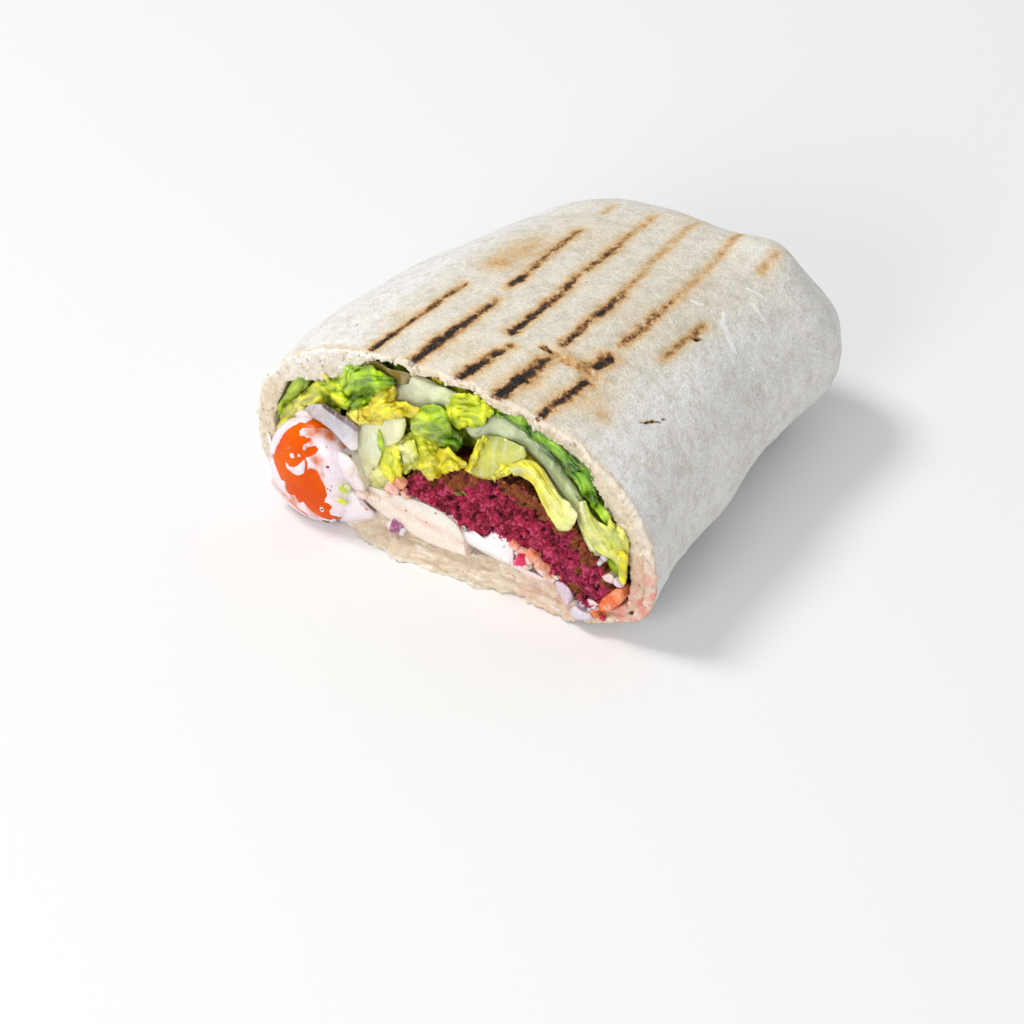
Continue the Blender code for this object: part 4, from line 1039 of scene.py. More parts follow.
def build_falafel(mat):
    cols = 330
    t = 0.5 - 0.5 * np.cos(np.linspace(0, math.pi, cols)) ** 1
    t = 0.35 * t + 0.65 * np.linspace(0, 1, cols)
    t = 0.002 + 0.996 * t
    ax, az, nx, nz = falafel_axis(t)
    half = np.maximum(0.35, falafel_half(t))
    back_y = np.concatenate([np.arange(0.22, 9.0, 0.32), np.array([9.5, 10.2, 11.2, 12.5, 14, 16, 19, 23, 28, 34, 41, 49, 57, 65, 71, 75])])

    belly = 1 + 0.30 * np.exp(-((t - 0.30) / 0.17) ** 2)

    def edge(sign):
        def at(y):
            shrink = np.interp(y, (0, 22, 43, 54, 64, 71, 76), (0, 0.1, 0.3, 0.5, 0.9, 1.8, 3.2))
            h = np.maximum(0.3, half * (belly if sign < 0 else 1.0) - shrink)
            return squeeze(ax + sign * nx * h, az + sign * nz * h, y)
        return at

    p, v, zone = strip_body(edge(-1.0), edge(1.0), np.linspace(-0.985, 0.985, 84), back_y)
    y = p[..., 1]
    ring = np.stack([ax, 0 * ax, az], axis=-1)
    n = grid_normals(p, wrap_cols=False)
    if n[len(back_y) + 40, cols // 2, 1] > 0:
        n = -n
    out = np.stack([nx, 0 * nx, nz], axis=-1)[None]
    face = (zone == 1)
    # the broken front: big lumps, crumbs, fine crumbs and torn pits
    f1, f2, tag = cells(p + 0.7 * noise(p, 1.1, 201)[..., None], 1.55, 7)
    g1, g2, tag2 = cells(p + 0.3 * noise(p, 0.5, 213)[..., None], 0.74, 8)
    big = 1.0 * fbm(p, 5.0, 2, 0.5, 202)
    dome = np.sqrt(np.clip(1 - (f1 / 0.82) ** 2, 0, 1))
    dome2 = np.sqrt(np.clip(1 - (g1 / 0.80) ** 2, 0, 1))
    pit = step(noise(p, 2.1, 203), 0.34, 0.60)
    fine = fbm(p, 0.60, 2, 0.7, 204)
    thready = 1 - np.abs(noise(p + 0.4 * noise(p, 0.7, 214)[..., None], 1.25, 215)) * 2.2
    shard = 1 - 2.4 * np.abs(noise(p * [1.5, 1, 0.8] + 0.5 * noise(p, 0.9, 216)[..., None], 0.8, 217))
    crumb = big + 0.40 * dome * (0.4 + tag) + 0.20 * dome2 + 0.60 * fine + 0.34 * np.clip(thready, 0, 1) \
        + 0.36 * np.clip(shard, 0, 1) - 0.85 * pit - 0.6
    crust_h = 0.26 * np.clip(shard, 0, 1) + 0.55 * fbm(p, 4.5, 2, 0.5, 205) + 0.34 * dome * (0.3 + tag) + 0.22 * dome2 + 0.16 * fine - 0.25
    rounding = 0.9 * np.clip((np.abs(v) - 0.80) / 0.2, 0, 1) ** 2
    where_face = np.where(face, 1.0, np.where(zone == 3, 0.0, np.exp(-y / 0.9)))
    h = crumb * where_face + crust_h * (1 - where_face)
    fade = np.clip(half / 2.5, 0.25, 1.0)[None, :]
    d = np.where(face, 1.0, np.exp(-y / 0.5) * 0.6)
    p = p + n * (h * fade)[..., None]
    p[..., 1] += face * rounding - 0.5 * np.where(face, 1, np.exp(-y / 1.2)) * (zone != 3)
    # the torn outline wanders
    wander = (0.75 * noise(ring, 3.4, 206) + 0.45 * noise(ring, 1.5, 207))[None, :]
    wander2 = (0.9 * noise(ring, 3.0, 208) + 0.5 * noise(ring, 1.3, 209))[None, :]
    sidew = np.where(v >= 0, wander, wander2) * np.abs(v) ** 3 * np.sign(v) * np.exp(-y / 6.0)
    p = p + out * (sidew * fade)[..., None]
    # browned crust: outside, and where it folds over the broken edge
    patch = np.zeros_like(y)
    for cx, cz, r in ((13.5, 27.2, 3.2), (17.5, 26.8, 4.2), (22.0, 24.9, 3.4), (26.0, 22.0, 2.0), (0.6, 23.8, 3.4), (-5.0, 21.6, 2.4), (4.6, 25.6, 2.4),
                      (30.4, 19.4, 2.2), (32.4, 17.0, 2.1), (29.5, 8.6, 2.0), (30.6, 13.4, 1.2), (36.8, 12.8, 1.6), (8.5, 27.2, 1.8), (37.2, 15.2, 1.5), (35.2, 5.2, 1.3)):
        patch = np.maximum(patch, np.exp(-(((p[..., 0] - cx) ** 2 + (p[..., 2] - cz) ** 2) / r ** 2) ** 1.3))
    rim_crust = step(np.abs(v) + 0.16 * noise(p, 2.0, 210), 0.90, 1.0) * 0.85
    crust = np.where(face, np.maximum(rim_crust * np.where(v > 0, 1.0, 0.75), step(patch + 0.25 * noise(p, 1.3, 211), 0.42, 0.62)),
                     step(y + 0.6 * noise(p, 1.6, 212), 0.15, 0.9))
    crust = np.where(zone == 3, 1.0, crust)
    # relief height of the broken face, normalised; the material darkens low crumb as painted shade and lightens raised
    # crumbs as painted highlight
    hollow = np.clip(0.5 + 0.86 * (0.34 * dome * (0.4 + tag) + 0.16 * dome2 + 0.44 * fine + 0.34 * np.clip(thready, 0, 1)
                                   + 0.26 * np.clip(shard, 0, 1) - 0.85 * pit + 0.25 * big - 0.50), 0, 1)
    verts, quads, tris = strip_mesh(p)

    def flat(a):
        a = np.broadcast_to(a, p.shape[:2]).astype(float).ravel()
        return np.concatenate([a, [a[0], a[-1]]])

    obj = add_mesh("beetroot_falafel", verts, quads, tris, mat,
                   {"crust": flat(crust), "relief_light": flat(hollow), "grain_a": flat(tag), "grain_b": flat(tag2), "moist": flat(step(p[..., 0], 22.0, 34.0) * (1 - crust))})
    r0 = len(back_y)
    return obj, p[r0:r0 + 84], p[r0 + 84:r0 + 84 + 14], crust[r0:r0 + 84]


def falafel_material():
    m = Nodes("beetroot_crumb")
    relief_light, crust = m.attr("relief_light"), m.attr("crust")
    a, b = m.attr("grain_a"), m.attr("grain_b")
    fine = m.noise(0.42, 3, 0.65)
    mid = m.noise(1.7, 3, 0.6, seed=3.0)
    base = m.ramp(a, ((0.0, srgb(116, 8, 34)), (0.30, srgb(156, 16, 52)), (0.60, srgb(178, 26, 68)), (0.85, srgb(194, 44, 88)),
                      (1.0, srgb(146, 14, 42))))
    base = m.mix(m.math('MULTIPLY', m.remap(b, 0.66, 0.95), 0.60), base, srgb(204, 70, 112))
    base = m.mix(m.math('MULTIPLY', m.remap(mid, 0.52, 0.70), 0.65), base, srgb(112, 20, 30))
    base = m.mix(m.math('MULTIPLY', m.remap(fine, 0.56, 0.72), 0.35), base, srgb(206, 84, 118))
    base = m.mix(m.math('MULTIPLY', m.remap(m.noise(0.9, 2, 0.5, seed=8.0), 0.66, 0.74), 0.6), base, srgb(92, 34, 30))
    # where the relief is low; used below to darken crevices as painted shade
    deep = m.remap(relief_light, 0.62, 0.15)
    base = m.mix(m.math('MULTIPLY', m.attr("moist"), m.remap(m.noise(2.6, 3, 0.6, seed=16.0), 0.40, 0.60, 0.15, 0.75)), base, srgb(186, 52, 104))
    base = m.mix(m.math('MULTIPLY', deep, 0.95), base, srgb(44, 3, 16))
    # painted highlight: raised crumbs lightened to pink
    base = m.mix(m.math('MULTIPLY', m.remap(relief_light, 0.66, 0.92), 0.62), base, srgb(226, 98, 138))
    base = m.mix(m.math('MULTIPLY', m.remap(m.noise(3.6, 2, 0.5, seed=11.0), 0.50, 0.66), 0.45), base, srgb(104, 14, 26))
    brown = m.ramp(m.math('MULTIPLY_ADD', mid, 0.7, m.math('MULTIPLY', a, 0.3)),
                   ((0.20, srgb(92, 38, 16)), (0.42, srgb(136, 68, 30)), (0.60, srgb(164, 92, 46)), (0.80, srgb(116, 50, 28))))
    brown = m.mix(m.math('MULTIPLY', m.remap(m.noise(0.8, 3, 0.6, seed=12.0), 0.50, 0.62), 0.6), brown, srgb(74, 30, 14))
    brown = m.mix(m.math('MULTIPLY', m.remap(fine, 0.55, 0.70), 0.6), brown, srgb(190, 118, 66))
    brown = m.mix(m.math('MULTIPLY', m.remap(m.noise(1.0, 2, 0.5, seed=13.0), 0.60, 0.70), 0.5), brown, srgb(150, 34, 54))
    # painted shade in the crevices of the crust
    brown = m.mix(m.math('MULTIPLY', deep, 0.75), brown, srgb(46, 18, 12))
    m.set(Base_Color=m.mix(crust, base, brown))
    m.set(Roughness=m.remap(fine, 0.3, 0.7, 0.42, 0.72))
    m.shader.inputs["Specular IOR Level"].default_value = 0.25
    m.shader.inputs["Subsurface Weight"].default_value = 0.06
    m.shader.inputs["Subsurface Radius"].default_value = (1.0, 0.25, 0.3)
    m.shader.inputs["Subsurface Scale"].default_value = 0.0008
    m.set(Normal=m.bump(m.math('ADD', fine, m.math('MULTIPLY', m.noise(0.2, 2, 0.6, seed=6.0), 0.6)), 0.16, 0.9))
    return m.mat


# ------------------------------------------------------------ leaves
def colour_run(t, stops):
    at = [s[0] for s in stops]
    cols = np.array([srgb(*s[1]) for s in stops])
    return np.stack([np.interp(t, at, cols[:, k]) for k in range(3)], axis=-1)


def leaf(heap, a, b, y0, tones, bulge=1.0, tilt=(0.0, 0.0), crinkle=(0.8, 3.5), fold=(0.8, 7.0), frill=0.4,
         thick=0.55, size=(64, 40), rib=None, vein=0.50, edge_tone=None, wet=0.0, seed=0, plump=0.0, inside=True):
    """A crumpled leaf between two edge lines given where they show in the
    cut's plane.  y0 is how far behind the cut it lies."""
    nt, ns = int(size[0] * 0.95), int(size[1] * 0.95)
    ea, eb = curve(a, nt), curve(b, nt)
    t = np.linspace(0, 1, nt)[:, None] * np.ones((1, ns))
    s = np.ones((nt, 1)) * (0.5 - 0.5 * np.cos(np.linspace(0, math.pi, ns)) * 0.6
                            - 0.2 * (1 - 2 * np.linspace(0, 1, ns)))[None, :]
    s = (s - s.min()) / (s.max() - s.min())
    width = np.linalg.norm(ea - eb, axis=1)[:, None] + 1e-6
    xz = ea[:, None, :] * (1 - s[..., None]) + eb[:, None, :] * s[..., None]
    q = np.stack([xz[..., 0], np.full((nt, ns), seed * 13.7), xz[..., 1]], axis=-1)
    edge = np.minimum(s, 1 - s) * width
    outw = (ea - eb)[:, None, :] / width[..., None]
    hem = np.exp(-edge / 0.9)
    wav = noise(q, 1.9, 301 + seed) + 0.6 * noise(q, 0.9, 302 + seed) + 0.3 * noise(q, 0.45, 317 + seed)
    xz = xz + outw * ((1 - 2 * (s > 0.5)) * hem * frill * wav)[..., None]
    cr = crinkle[1] * 1.55
    run = np.concatenate([[0], np.cumsum(np.linalg.norm(np.diff(0.5 * (ea + eb), axis=0), axis=1))])[:, None]
    pil = np.abs(noise(q + 0.35 * cr * noise(q, cr * 0.9, 303 + seed)[..., None], cr, 304 + seed))
    pil2 = np.abs(noise(q, cr * 0.5, 305 + seed))
    pillow = smooth(np.clip(pil * 2.1, 0, 1))
    # soft wrinkles that run with the leaf, and a few sharper ones
    flow = np.stack([run * 0.42 + 0.10 * s, (s - 0.5) * width, np.full((nt, ns), seed * 5.3)], axis=-1)
    flow = flow + 0.7 * noise(flow, 2.6, 315 + seed)[..., None]
    wrink = noise(flow, 1.75, 313 + seed) + 0.4 * noise(flow, 0.85, 316 + seed)
    ridges = 1 - smooth(np.clip(np.abs(noise(flow, 2.3, 314 + seed)) * 3.4, 0, 1))
    u = np.stack([run + 0 * s, 0.35 * edge + np.where(s > 0.5, 40.0, 0.0), np.full((nt, ns), seed * 3.1)], axis=-1)
    ruffle = noise(u, 3.0, 311 + seed) + 0.45 * noise(u, 1.5, 312 + seed)
    lying = np.sin(math.pi * np.clip(s, 0, 1)) ** 0.7 * np.sin(math.pi * np.clip(0.04 + 0.92 * t, 0, 1)) ** 0.4
    y = (y0 + tilt[0] * (s - 0.5) + tilt[1] * (t - 0.5) - bulge * lying
         + fold[0] * 1.5 * noise(q, fold[1], 306 + seed)
         - crinkle[0] * (0.42 * pillow + 0.44 * wrink - 0.2)
         - min(0.34, 0.26 * crinkle[0]) * ridges
         + frill * 1.9 * np.exp(-edge / 2.6) * ruffle)
    if rib is not None:
        r_at, r_w, r_lift, r_tone = rib
        ribness = np.exp(-((s - r_at) * width / (r_w * (1 - 0.6 * t))) ** 2) * (1 - 0.75 * t)
        y = y - r_lift * ribness
    x, yy, z = at_view(xz[..., 0], y, xz[..., 1])
    mid = np.stack([x, yy, z], axis=-1)
    n = grid_normals(mid, wrap_cols=False)
    th = 0.8 * thick * np.clip(edge / (0.6 + plump), 0.0, 1.0) ** 0.5 + 0.10
    ends = np.minimum(t, 1 - t) * np.linalg.norm(np.diff(ea, axis=0), axis=1).sum()
    th = th * np.clip(0.25 + ends / (0.8 + plump), 0, 1)
    front, rear = mid + n * th[..., None] / 2, mid - n * th[..., None] / 2
    if inside:
        front, rear = confine(front), confine(rear)
    verts = np.vstack([front.reshape(-1, 3), rear.reshape(-1, 3)])
    f = grid_faces(nt, ns)
    m = nt * ns
    r0 = np.arange(ns - 1)
    last = (nt - 1) * ns
    c0 = np.arange(nt - 1) * ns
    sides = np.vstack([
        np.stack([r0 + 1, r0, r0 + m, r0 + 1 + m], axis=-1),
        np.stack([last + r0, last + r0 + 1, last + r0 + 1 + m, last + r0 + m], axis=-1),
        np.stack([c0, c0 + ns, c0 + ns + m, c0 + m], axis=-1),
        np.stack([c0 + ns - 1 + ns, c0 + ns - 1, c0 + ns - 1 + m, c0 + ns - 1 + ns + m], axis=-1)])
    quads = np.vstack([f, f[:, ::-1] + m, sides])
    col = colour_run(t, tones)
    if rib is not None:
        col = col + (srgb(*r_tone) - col) * np.clip(ribness * 1.15, 0, 1)[..., None]
    crease = np.exp(-(pil / 0.06) ** 2) * vein
    ripe = np.clip((col[..., 0] / (col[..., 1] + 1e-6) - 0.55) / 0.4, 0, 1)[..., None]
    # painted light and shade: the colour is lifted on ridges, pillows and wrinkle crests and lowered between them
    painted_relief_light = np.clip(vein * (0.34 * ridges + 0.30 * pillow + 0.70 * wrink - 0.20), -0.55, 0.9)[..., None]
    col = col * (1 + (0.86 + 0.50 * (1 - ripe)) * painted_relief_light * np.array([1.3, 1.0, 0.4]))
    col = col + (np.array([0.74, 0.80, 0.22]) - col) * (0.22 * crease)[..., None]
    # painted shade: darker in the low places between the pillows and ridges
    low = np.clip(1 - pillow - 0.5 * ridges, 0, 1)[..., None] * vein
    col = col * (1 - np.clip(low * (0.95 - 0.42 * ripe) * np.array([0.42, 0.27, 0.50]), 0, 0.7))
    if edge_tone is not None:
        col = col + (srgb(*edge_tone) - col) * (0.8 * np.exp(-(edge / 0.9) ** 2))[..., None]
    # painted light: brighter on the raised pillows, on top of an overall brightness boost and random tone
    shade = 1.10 + 0.09 * ripe[..., 0] + 0.22 * (pillow - 0.55) + 0.13 * noise(q, 4.0, 308 + seed) + 0.05 * noise(q, 1.2, 309 + seed)
    hue = 0.10 * noise(q, 5.5, 310 + seed)
    grey = col.max(-1, keepdims=True)
    vivid = np.clip((grey - col.min(-1, keepdims=True)) / (grey + 1e-6), 0, 1)
    col = col * (1 - np.array([-0.02, 0.05, 0.62]) * vivid ** 2)
    col = np.clip(col * shade[..., None] * np.stack([1 + hue, 1 + 0.2 * hue, 1 - hue], axis=-1), 0, 0.93)
    both = np.vstack([col.reshape(-1, 3), col.reshape(-1, 3) * 0.97])
    heap.add(verts, quads, colour=both, crease=np.tile(crease.ravel(), 2), pale=np.full(2 * m, wet))


def leaf_material(name="lettuce_leaf"):
    m = Nodes(name)
    tone, crease, pale = m.attr("tone", colour=True), m.attr("crease"), m.attr("pale")
    fine = m.noise(0.5, 3, 0.6)
    mid = m.noise(2.0, 2, 0.5, seed=2.0)
    col = m.scale(tone, m.remap(fine, 0.3, 0.7, 0.93, 1.06))
    veins = m.cells(2.6, 'DISTANCE_TO_EDGE')
    net = m.math('MULTIPLY', m.remap(veins, 0.07, 0.0), m.math('SUBTRACT', 1.0, pale, clamp=True))
    col = m.mix(m.math('MULTIPLY', net, 0.16), col, (0.80, 0.86, 0.34))
    streak = m.noise(1.0, 2, 0.5, stretch=(1.0, 0.3, 0.16), seed=4.0)
    col = m.mix(m.math('MULTIPLY', m.math('MULTIPLY', m.remap(streak, 0.52, 0.66), pale), 0.35), col, (0.80, 0.84, 0.60))
    col = m.mix(m.math('MULTIPLY', m.remap(mid, 0.62, 0.80), 0.25), col, (0.62, 0.66, 0.10))
    m.set(Base_Color=col)
    m.set(Roughness=m.remap(m.noise(3.5, 2, 0.5, seed=7.0), 0.35, 0.65, 0.16, 0.32))
    m.shader.inputs["Specular IOR Level"].default_value = 0.40
    m.shader.inputs["Subsurface Weight"].default_value = 0.22
    m.shader.inputs["Subsurface Radius"].default_value = (0.8, 1.0, 0.15)
    m.shader.inputs["Subsurface Scale"].default_value = 0.0014
    m.shader.inputs["Coat Weight"].default_value = 0.46
    m.shader.inputs["Coat Roughness"].default_value = 0.07
    pucker = m.noise(1.15, 3, 0.6, seed=9.0, stretch=(1.0, 0.8, 0.6))
    h = m.math('SUBTRACT', m.math('MULTIPLY', fine, 0.30), m.math('MULTIPLY', net, 0.30))
    h = m.math('ADD', h, m.math('MULTIPLY', m.math('MULTIPLY', pucker, 1.5), m.math('SUBTRACT', 1.0, m.math('MULTIPLY', pale, 0.75))))
    m.set(Normal=m.bump(h, 0.22, 0.7))
    return m.mat


GREEN, DARK, BRIGHT = (134, 172, 26), (72, 128, 24), (160, 194, 44)
YELLOW, GOLD, PALE_Y = (220, 208, 56), (214, 190, 48), (230, 224, 130)
LIME, PALE_G, RIB, RIB_D = (198, 210, 66), (214, 220, 150), (206, 212, 166), (146, 158, 112)


def build_lettuce(mat):
    g, y, r, small = Heap(), Heap(), Heap(), Heap()
    # behind the first leaves: one that lines the left wall, and a limp brownish rib in the hollow under the lip, whose
    # brown-olive colour is painted shade standing for the shaded inside of the bread above it
    leaf(g, ((-47.0, 19.6), (-46.2, 23.4), (-44.6, 27.2), (-42.6, 30.8), (-40.2, 33.8), (-37.4, 36.4)),
         ((-43.0, 19.0), (-42.0, 22.4), (-40.4, 25.6), (-38.6, 28.6), (-36.6, 31.4), (-34.4, 34.0)),
         3.0, ((0, (164, 188, 50)), (0.5, (140, 174, 32)), (1, (118, 156, 26))), bulge=0.5, crinkle=(0.5, 3.4), fold=(0.4, 7), frill=0.2, seed=31)
    leaf(r, ((-24.8, 42.8), (-22.6, 44.4), (-19.0, 45.4), (-15.0, 46.0), (-12.4, 46.0), (-9.6, 45.2)),
         ((-24.0, 39.0), (-21.0, 39.4), (-18.0, 39.8), (-15.4, 40.2), (-13.0, 40.8), (-10.6, 41.8)),
         1.6, ((0, (112, 82, 30)), (0.3, (134, 112, 58)), (0.6, (154, 136, 84)), (1, (122, 96, 48))), bulge=0.5, crinkle=(0.35, 3.0),
         fold=(0.5, 6), frill=0.15, thick=0.8, vein=0.15, wet=0.7, seed=32)
    # upper left: a dark smooth leaf, yellow-green stems under it, bright folds
    leaf(g, ((-45.5, 21.7), (-45.0, 23.4), (-43.7, 26.4), (-42.3, 29.3), (-40.7, 32.0), (-38.8, 34.6), (-37.0, 36.6)),
         ((-45.1, 21.5), (-44.3, 23.0), (-42.9, 24.9), (-41.0, 26.7), (-38.7, 29.0), (-36.3, 31.6), (-34.6, 34.8)),
         1.9, ((0, (138, 178, 24)), (0.4, (154, 190, 28)), (1, (122, 160, 20))), bulge=1.2, crinkle=(0.35, 4.5), fold=(0.5, 8), frill=0.15,
         rib=(0.55, 0.7, 0.25, (150, 184, 50)), vein=0.5, seed=1)
    leaf(y, ((-45.4, 20.0), (-44.4, 21.8), (-42.2, 24.7), (-39.5, 27.8), (-37.6, 29.2)),
         ((-45.0, 15.6), (-43.3, 17.6), (-41.0, 20.0), (-39.0, 22.5), (-37.0, 25.5)),
         2.6, ((0, (196, 204, 64)), (0.5, (204, 204, 96)), (1, (214, 208, 116))), bulge=0.9, crinkle=(0.5, 2.2), fold=(0.7, 4), frill=0.3,
         thick=1.0, wet=0.6, seed=2)
    leaf(y, ((-45.3, 18.4), (-43.8, 20.6), (-41.6, 23.0), (-40.2, 24.6)),
         ((-45.3, 15.0), (-44.6, 16.4), (-42.9, 18.6), (-41.0, 21.0)),
         1.7, ((0, (188, 192, 60)), (1, (206, 202, 90))), bulge=0.6, crinkle=(0.4, 1.8), fold=(0.4, 3), frill=0.3, thick=0.8, wet=0.5,
         size=(40, 26), seed=3)
    leaf(g, ((-39.4, 27.6), (-36.8, 30.6), (-34.2, 33.8), (-32.0, 35.0), (-29.2, 36.8), (-26.4, 38.9)),
         ((-38.6, 26.4), (-36.2, 26.8), (-33.7, 28.3), (-31.5, 29.4), (-29.0, 29.8), (-26.5, 31.0)),
         1.0, ((0, (224, 210, 110)), (0.35, (204, 206, 62)), (0.7, (172, 194, 44)), (1, (140, 178, 28))), bulge=1.3, crinkle=(1.5, 3.8),
         fold=(1.0, 6), frill=0.45, vein=0.8, seed=4, size=(72, 48))
    leaf(g, ((-30.5, 35.6), (-27.4, 38.0), (-26.0, 40.7), (-24.2, 42.0), (-22.1, 42.4), (-19.6, 42.7), (-16.5, 42.0), (-13.2, 41.6)),
         ((-30.8, 30.2), (-28.0, 29.6), (-26.0, 29.8), (-23.7, 30.6), (-21.5, 32.0), (-20.0, 34.4), (-18.0, 37.0), (-14.6, 39.8)),
         0.5, ((0, (174, 194, 42)), (0.3, (138, 176, 24)), (0.65, (123, 165, 19)), (1, (110, 154, 18))), bulge=2.0, crinkle=(2.1, 3.8),
         fold=(1.2, 6), frill=0.5, vein=1.15, seed=5, size=(84, 64))
    # pale rib under the bread at the top
    leaf(r, ((-15.8, 39.4), (-12.5, 41.4), (-10.6, 43.6), (-9.1, 45.1), (-7.0, 44.9), (-3.7, 44.8), (-1.0, 44.9), (2.2, 44.6)),
         ((-14.8, 35.6), (-12.6, 36.5), (-9.1, 36.2), (-7.3, 36.6), (-5.6, 38.0), (-3.2, 38.7), (-1.0, 39.2), (1.4, 41.0)),
         2.1, ((0, (214, 216, 176)), (0.3, (226, 229, 204)), (0.6, (220, 224, 194)), (1, (200, 208, 166))), bulge=0.9, crinkle=(0.22, 4),
         fold=(0.6, 8), frill=0.15, thick=1.2, plump=0.6, vein=0.0, wet=1.0, seed=6)
    leaf(g, ((-9.5, 44.6), (-6.6, 44.6), (-3.2, 44.9), (0.5, 45.0)), ((-9.0, 43.4), (-6.5, 43.4), (-3.4, 43.4), (0.2, 43.2)),
         3.2, ((0, (84, 132, 30)), (1, (92, 142, 36))), bulge=0.4, crinkle=(0.4, 2), fold=(0.3, 4), frill=0.3, size=(36, 16), seed=7)
    # yellow crumpled leaf and its arm
    leaf(y, ((-23.0, 31.0), (-21.2, 33.2), (-19.7, 35.4), (-18.0, 37.6), (-15.3, 40.6)),
         ((-18.6, 30.4), (-17.0, 32.5), (-15.6, 34.5), (-14.3, 36.8), (-13.9, 39.8)),
         0.2, ((0, (214, 196, 62)), (0.5, (222, 206, 60)), (1, (212, 198, 74))), bulge=1.0, crinkle=(1.0, 2.6), fold=(0.8, 4), frill=0.5,
         seed=8, size=(56, 40))
    leaf(y, ((-26.8, 29.2), (-23.5, 30.9), (-20.5, 32.6), (-17.5, 34.4), (-14.5, 36.0), (-12.0, 37.1), (-7.9, 36.8)),
         ((-26.4, 27.8), (-23.8, 27.2), (-21.0, 28.0), (-18.0, 29.4), (-14.8, 31.6), (-12.0, 33.4), (-8.3, 34.8)),
         -0.7, ((0, (226, 208, 120)), (0.3, (216, 196, 66)), (0.7, (224, 208, 54)), (1, (214, 200, 60))), bulge=1.2, crinkle=(1.15, 2.8),
         fold=(1.0, 4.5), frill=0.6, seed=9, size=(80, 48))
    # pale lobes in the middle with a green sliver
    leaf(r, ((-21.4, 28.8), (-23.4, 27.6), (-24.5, 25.4), (-24.4, 22.4), (-24.2, 19.0), (-24.7, 15.5), (-25.6, 12.2)),
         ((-18.8, 29.4), (-18.3, 27.2), (-18.0, 24.5), (-18.2, 21.5), (-19.4, 18.6), (-21.0, 15.2), (-23.2, 12.0)),
         0.3, ((0, (226, 225, 196)), (0.3, (225, 226, 194)), (0.7, (220, 222, 182)), (1, (230, 230, 200))), bulge=0.8, crinkle=(0.2, 4.5),
         fold=(0.5, 8), frill=0.1, thick=0.9, plump=0.5, vein=0.0, wet=1.0, seed=10)
    leaf(r, ((-20.2, 29.4), (-17.5, 31.0), (-15.6, 32.0), (-13.6, 33.2), (-11.9, 33.6)),
         ((-18.4, 23.6), (-16.8, 24.3), (-15.0, 25.6), (-13.0, 27.8), (-11.5, 31.6)),
         -0.5, ((0, (228, 227, 198)), (0.5, (226, 227, 190)), (1, (220, 220, 172))), bulge=0.8, crinkle=(0.2, 4), fold=(0.5, 8), frill=0.1,
         thick=0.9, plump=0.5, vein=0.0, wet=1.0, seed=11)
    leaf(g, ((-18.6, 28.0), (-17.8, 26.3), (-17.5, 24.6), (-17.7, 22.8)), ((-18.8, 27.6), (-19.0, 25.6), (-19.0, 24.0), (-18.5, 22.7)),
         -1.5, ((0, (168, 200, 70)), (1, (140, 184, 50))), bulge=0.3, crinkle=(0.2, 2), fold=(0.2, 3), frill=0.1, size=(36, 14), seed=12)
    leaf(r, ((-24.6, 16.6), (-21.4, 18.6), (-18.6, 19.8), (-16.6, 18.4)), ((-25.6, 12.0), (-22.5, 12.2), (-19.4, 13.0), (-16.0, 15.4)),
         1.0, ((0, (222, 226, 176)), (0.6, (226, 224, 160)), (1, (206, 208, 104))), bulge=0.9, crinkle=(0.4, 2.6), fold=(0.8, 4), frill=0.35,
         thick=0.7, wet=0.9, seed=13, size=(56, 36))
    # frilly yellow-green leaves over the falafel's left end
    leaf(y, ((-17.6, 24.8), (-18.4, 21.6), (-18.3, 18.8), (-17.3, 16.2), (-15.0, 15.0)),
         ((-13.8, 25.6), (-13.4, 22.8), (-13.2, 20.6), (-13.2, 18.6), (-13.4, 16.4)),
         0.1, ((0, (218, 226, 84)), (0.5, (212, 224, 62)), (1, (216, 220, 74))), bulge=1.2, crinkle=(1.1, 3.0), fold=(1.0, 5), frill=0.6,
         seed=14, size=(64, 44))
    leaf(y, ((-16.8, 25.4), (-14.2, 27.6), (-11.6, 29.8), (-9.0, 30.8), (-6.0, 30.7), (-3.0, 30.2)),
         ((-14.8, 20.0), (-12.6, 19.6), (-10.4, 20.8), (-8.0, 22.8), (-6.4, 25.0), (-3.6, 27.0)),
         0.6, ((0, (216, 226, 80)), (0.35, (236, 242, 146)), (0.6, (220, 228, 78)), (1, (224, 220, 58))), bulge=1.0, crinkle=(1.1, 2.7),
         fold=(1.3, 4.2), frill=0.7, seed=15, size=(84, 60))
    leaf(y, ((-13.6, 25.8), (-11.6, 27.6), (-9.8, 28.8)), ((-12.6, 22.2), (-10.4, 22.6), (-8.6, 25.0)),
         -0.8, ((0, (236, 240, 190)), (1, (218, 228, 120))), bulge=0.8, crinkle=(0.6, 2.2), fold=(0.9, 2.6), frill=0.7, seed=16, size=(44, 36))
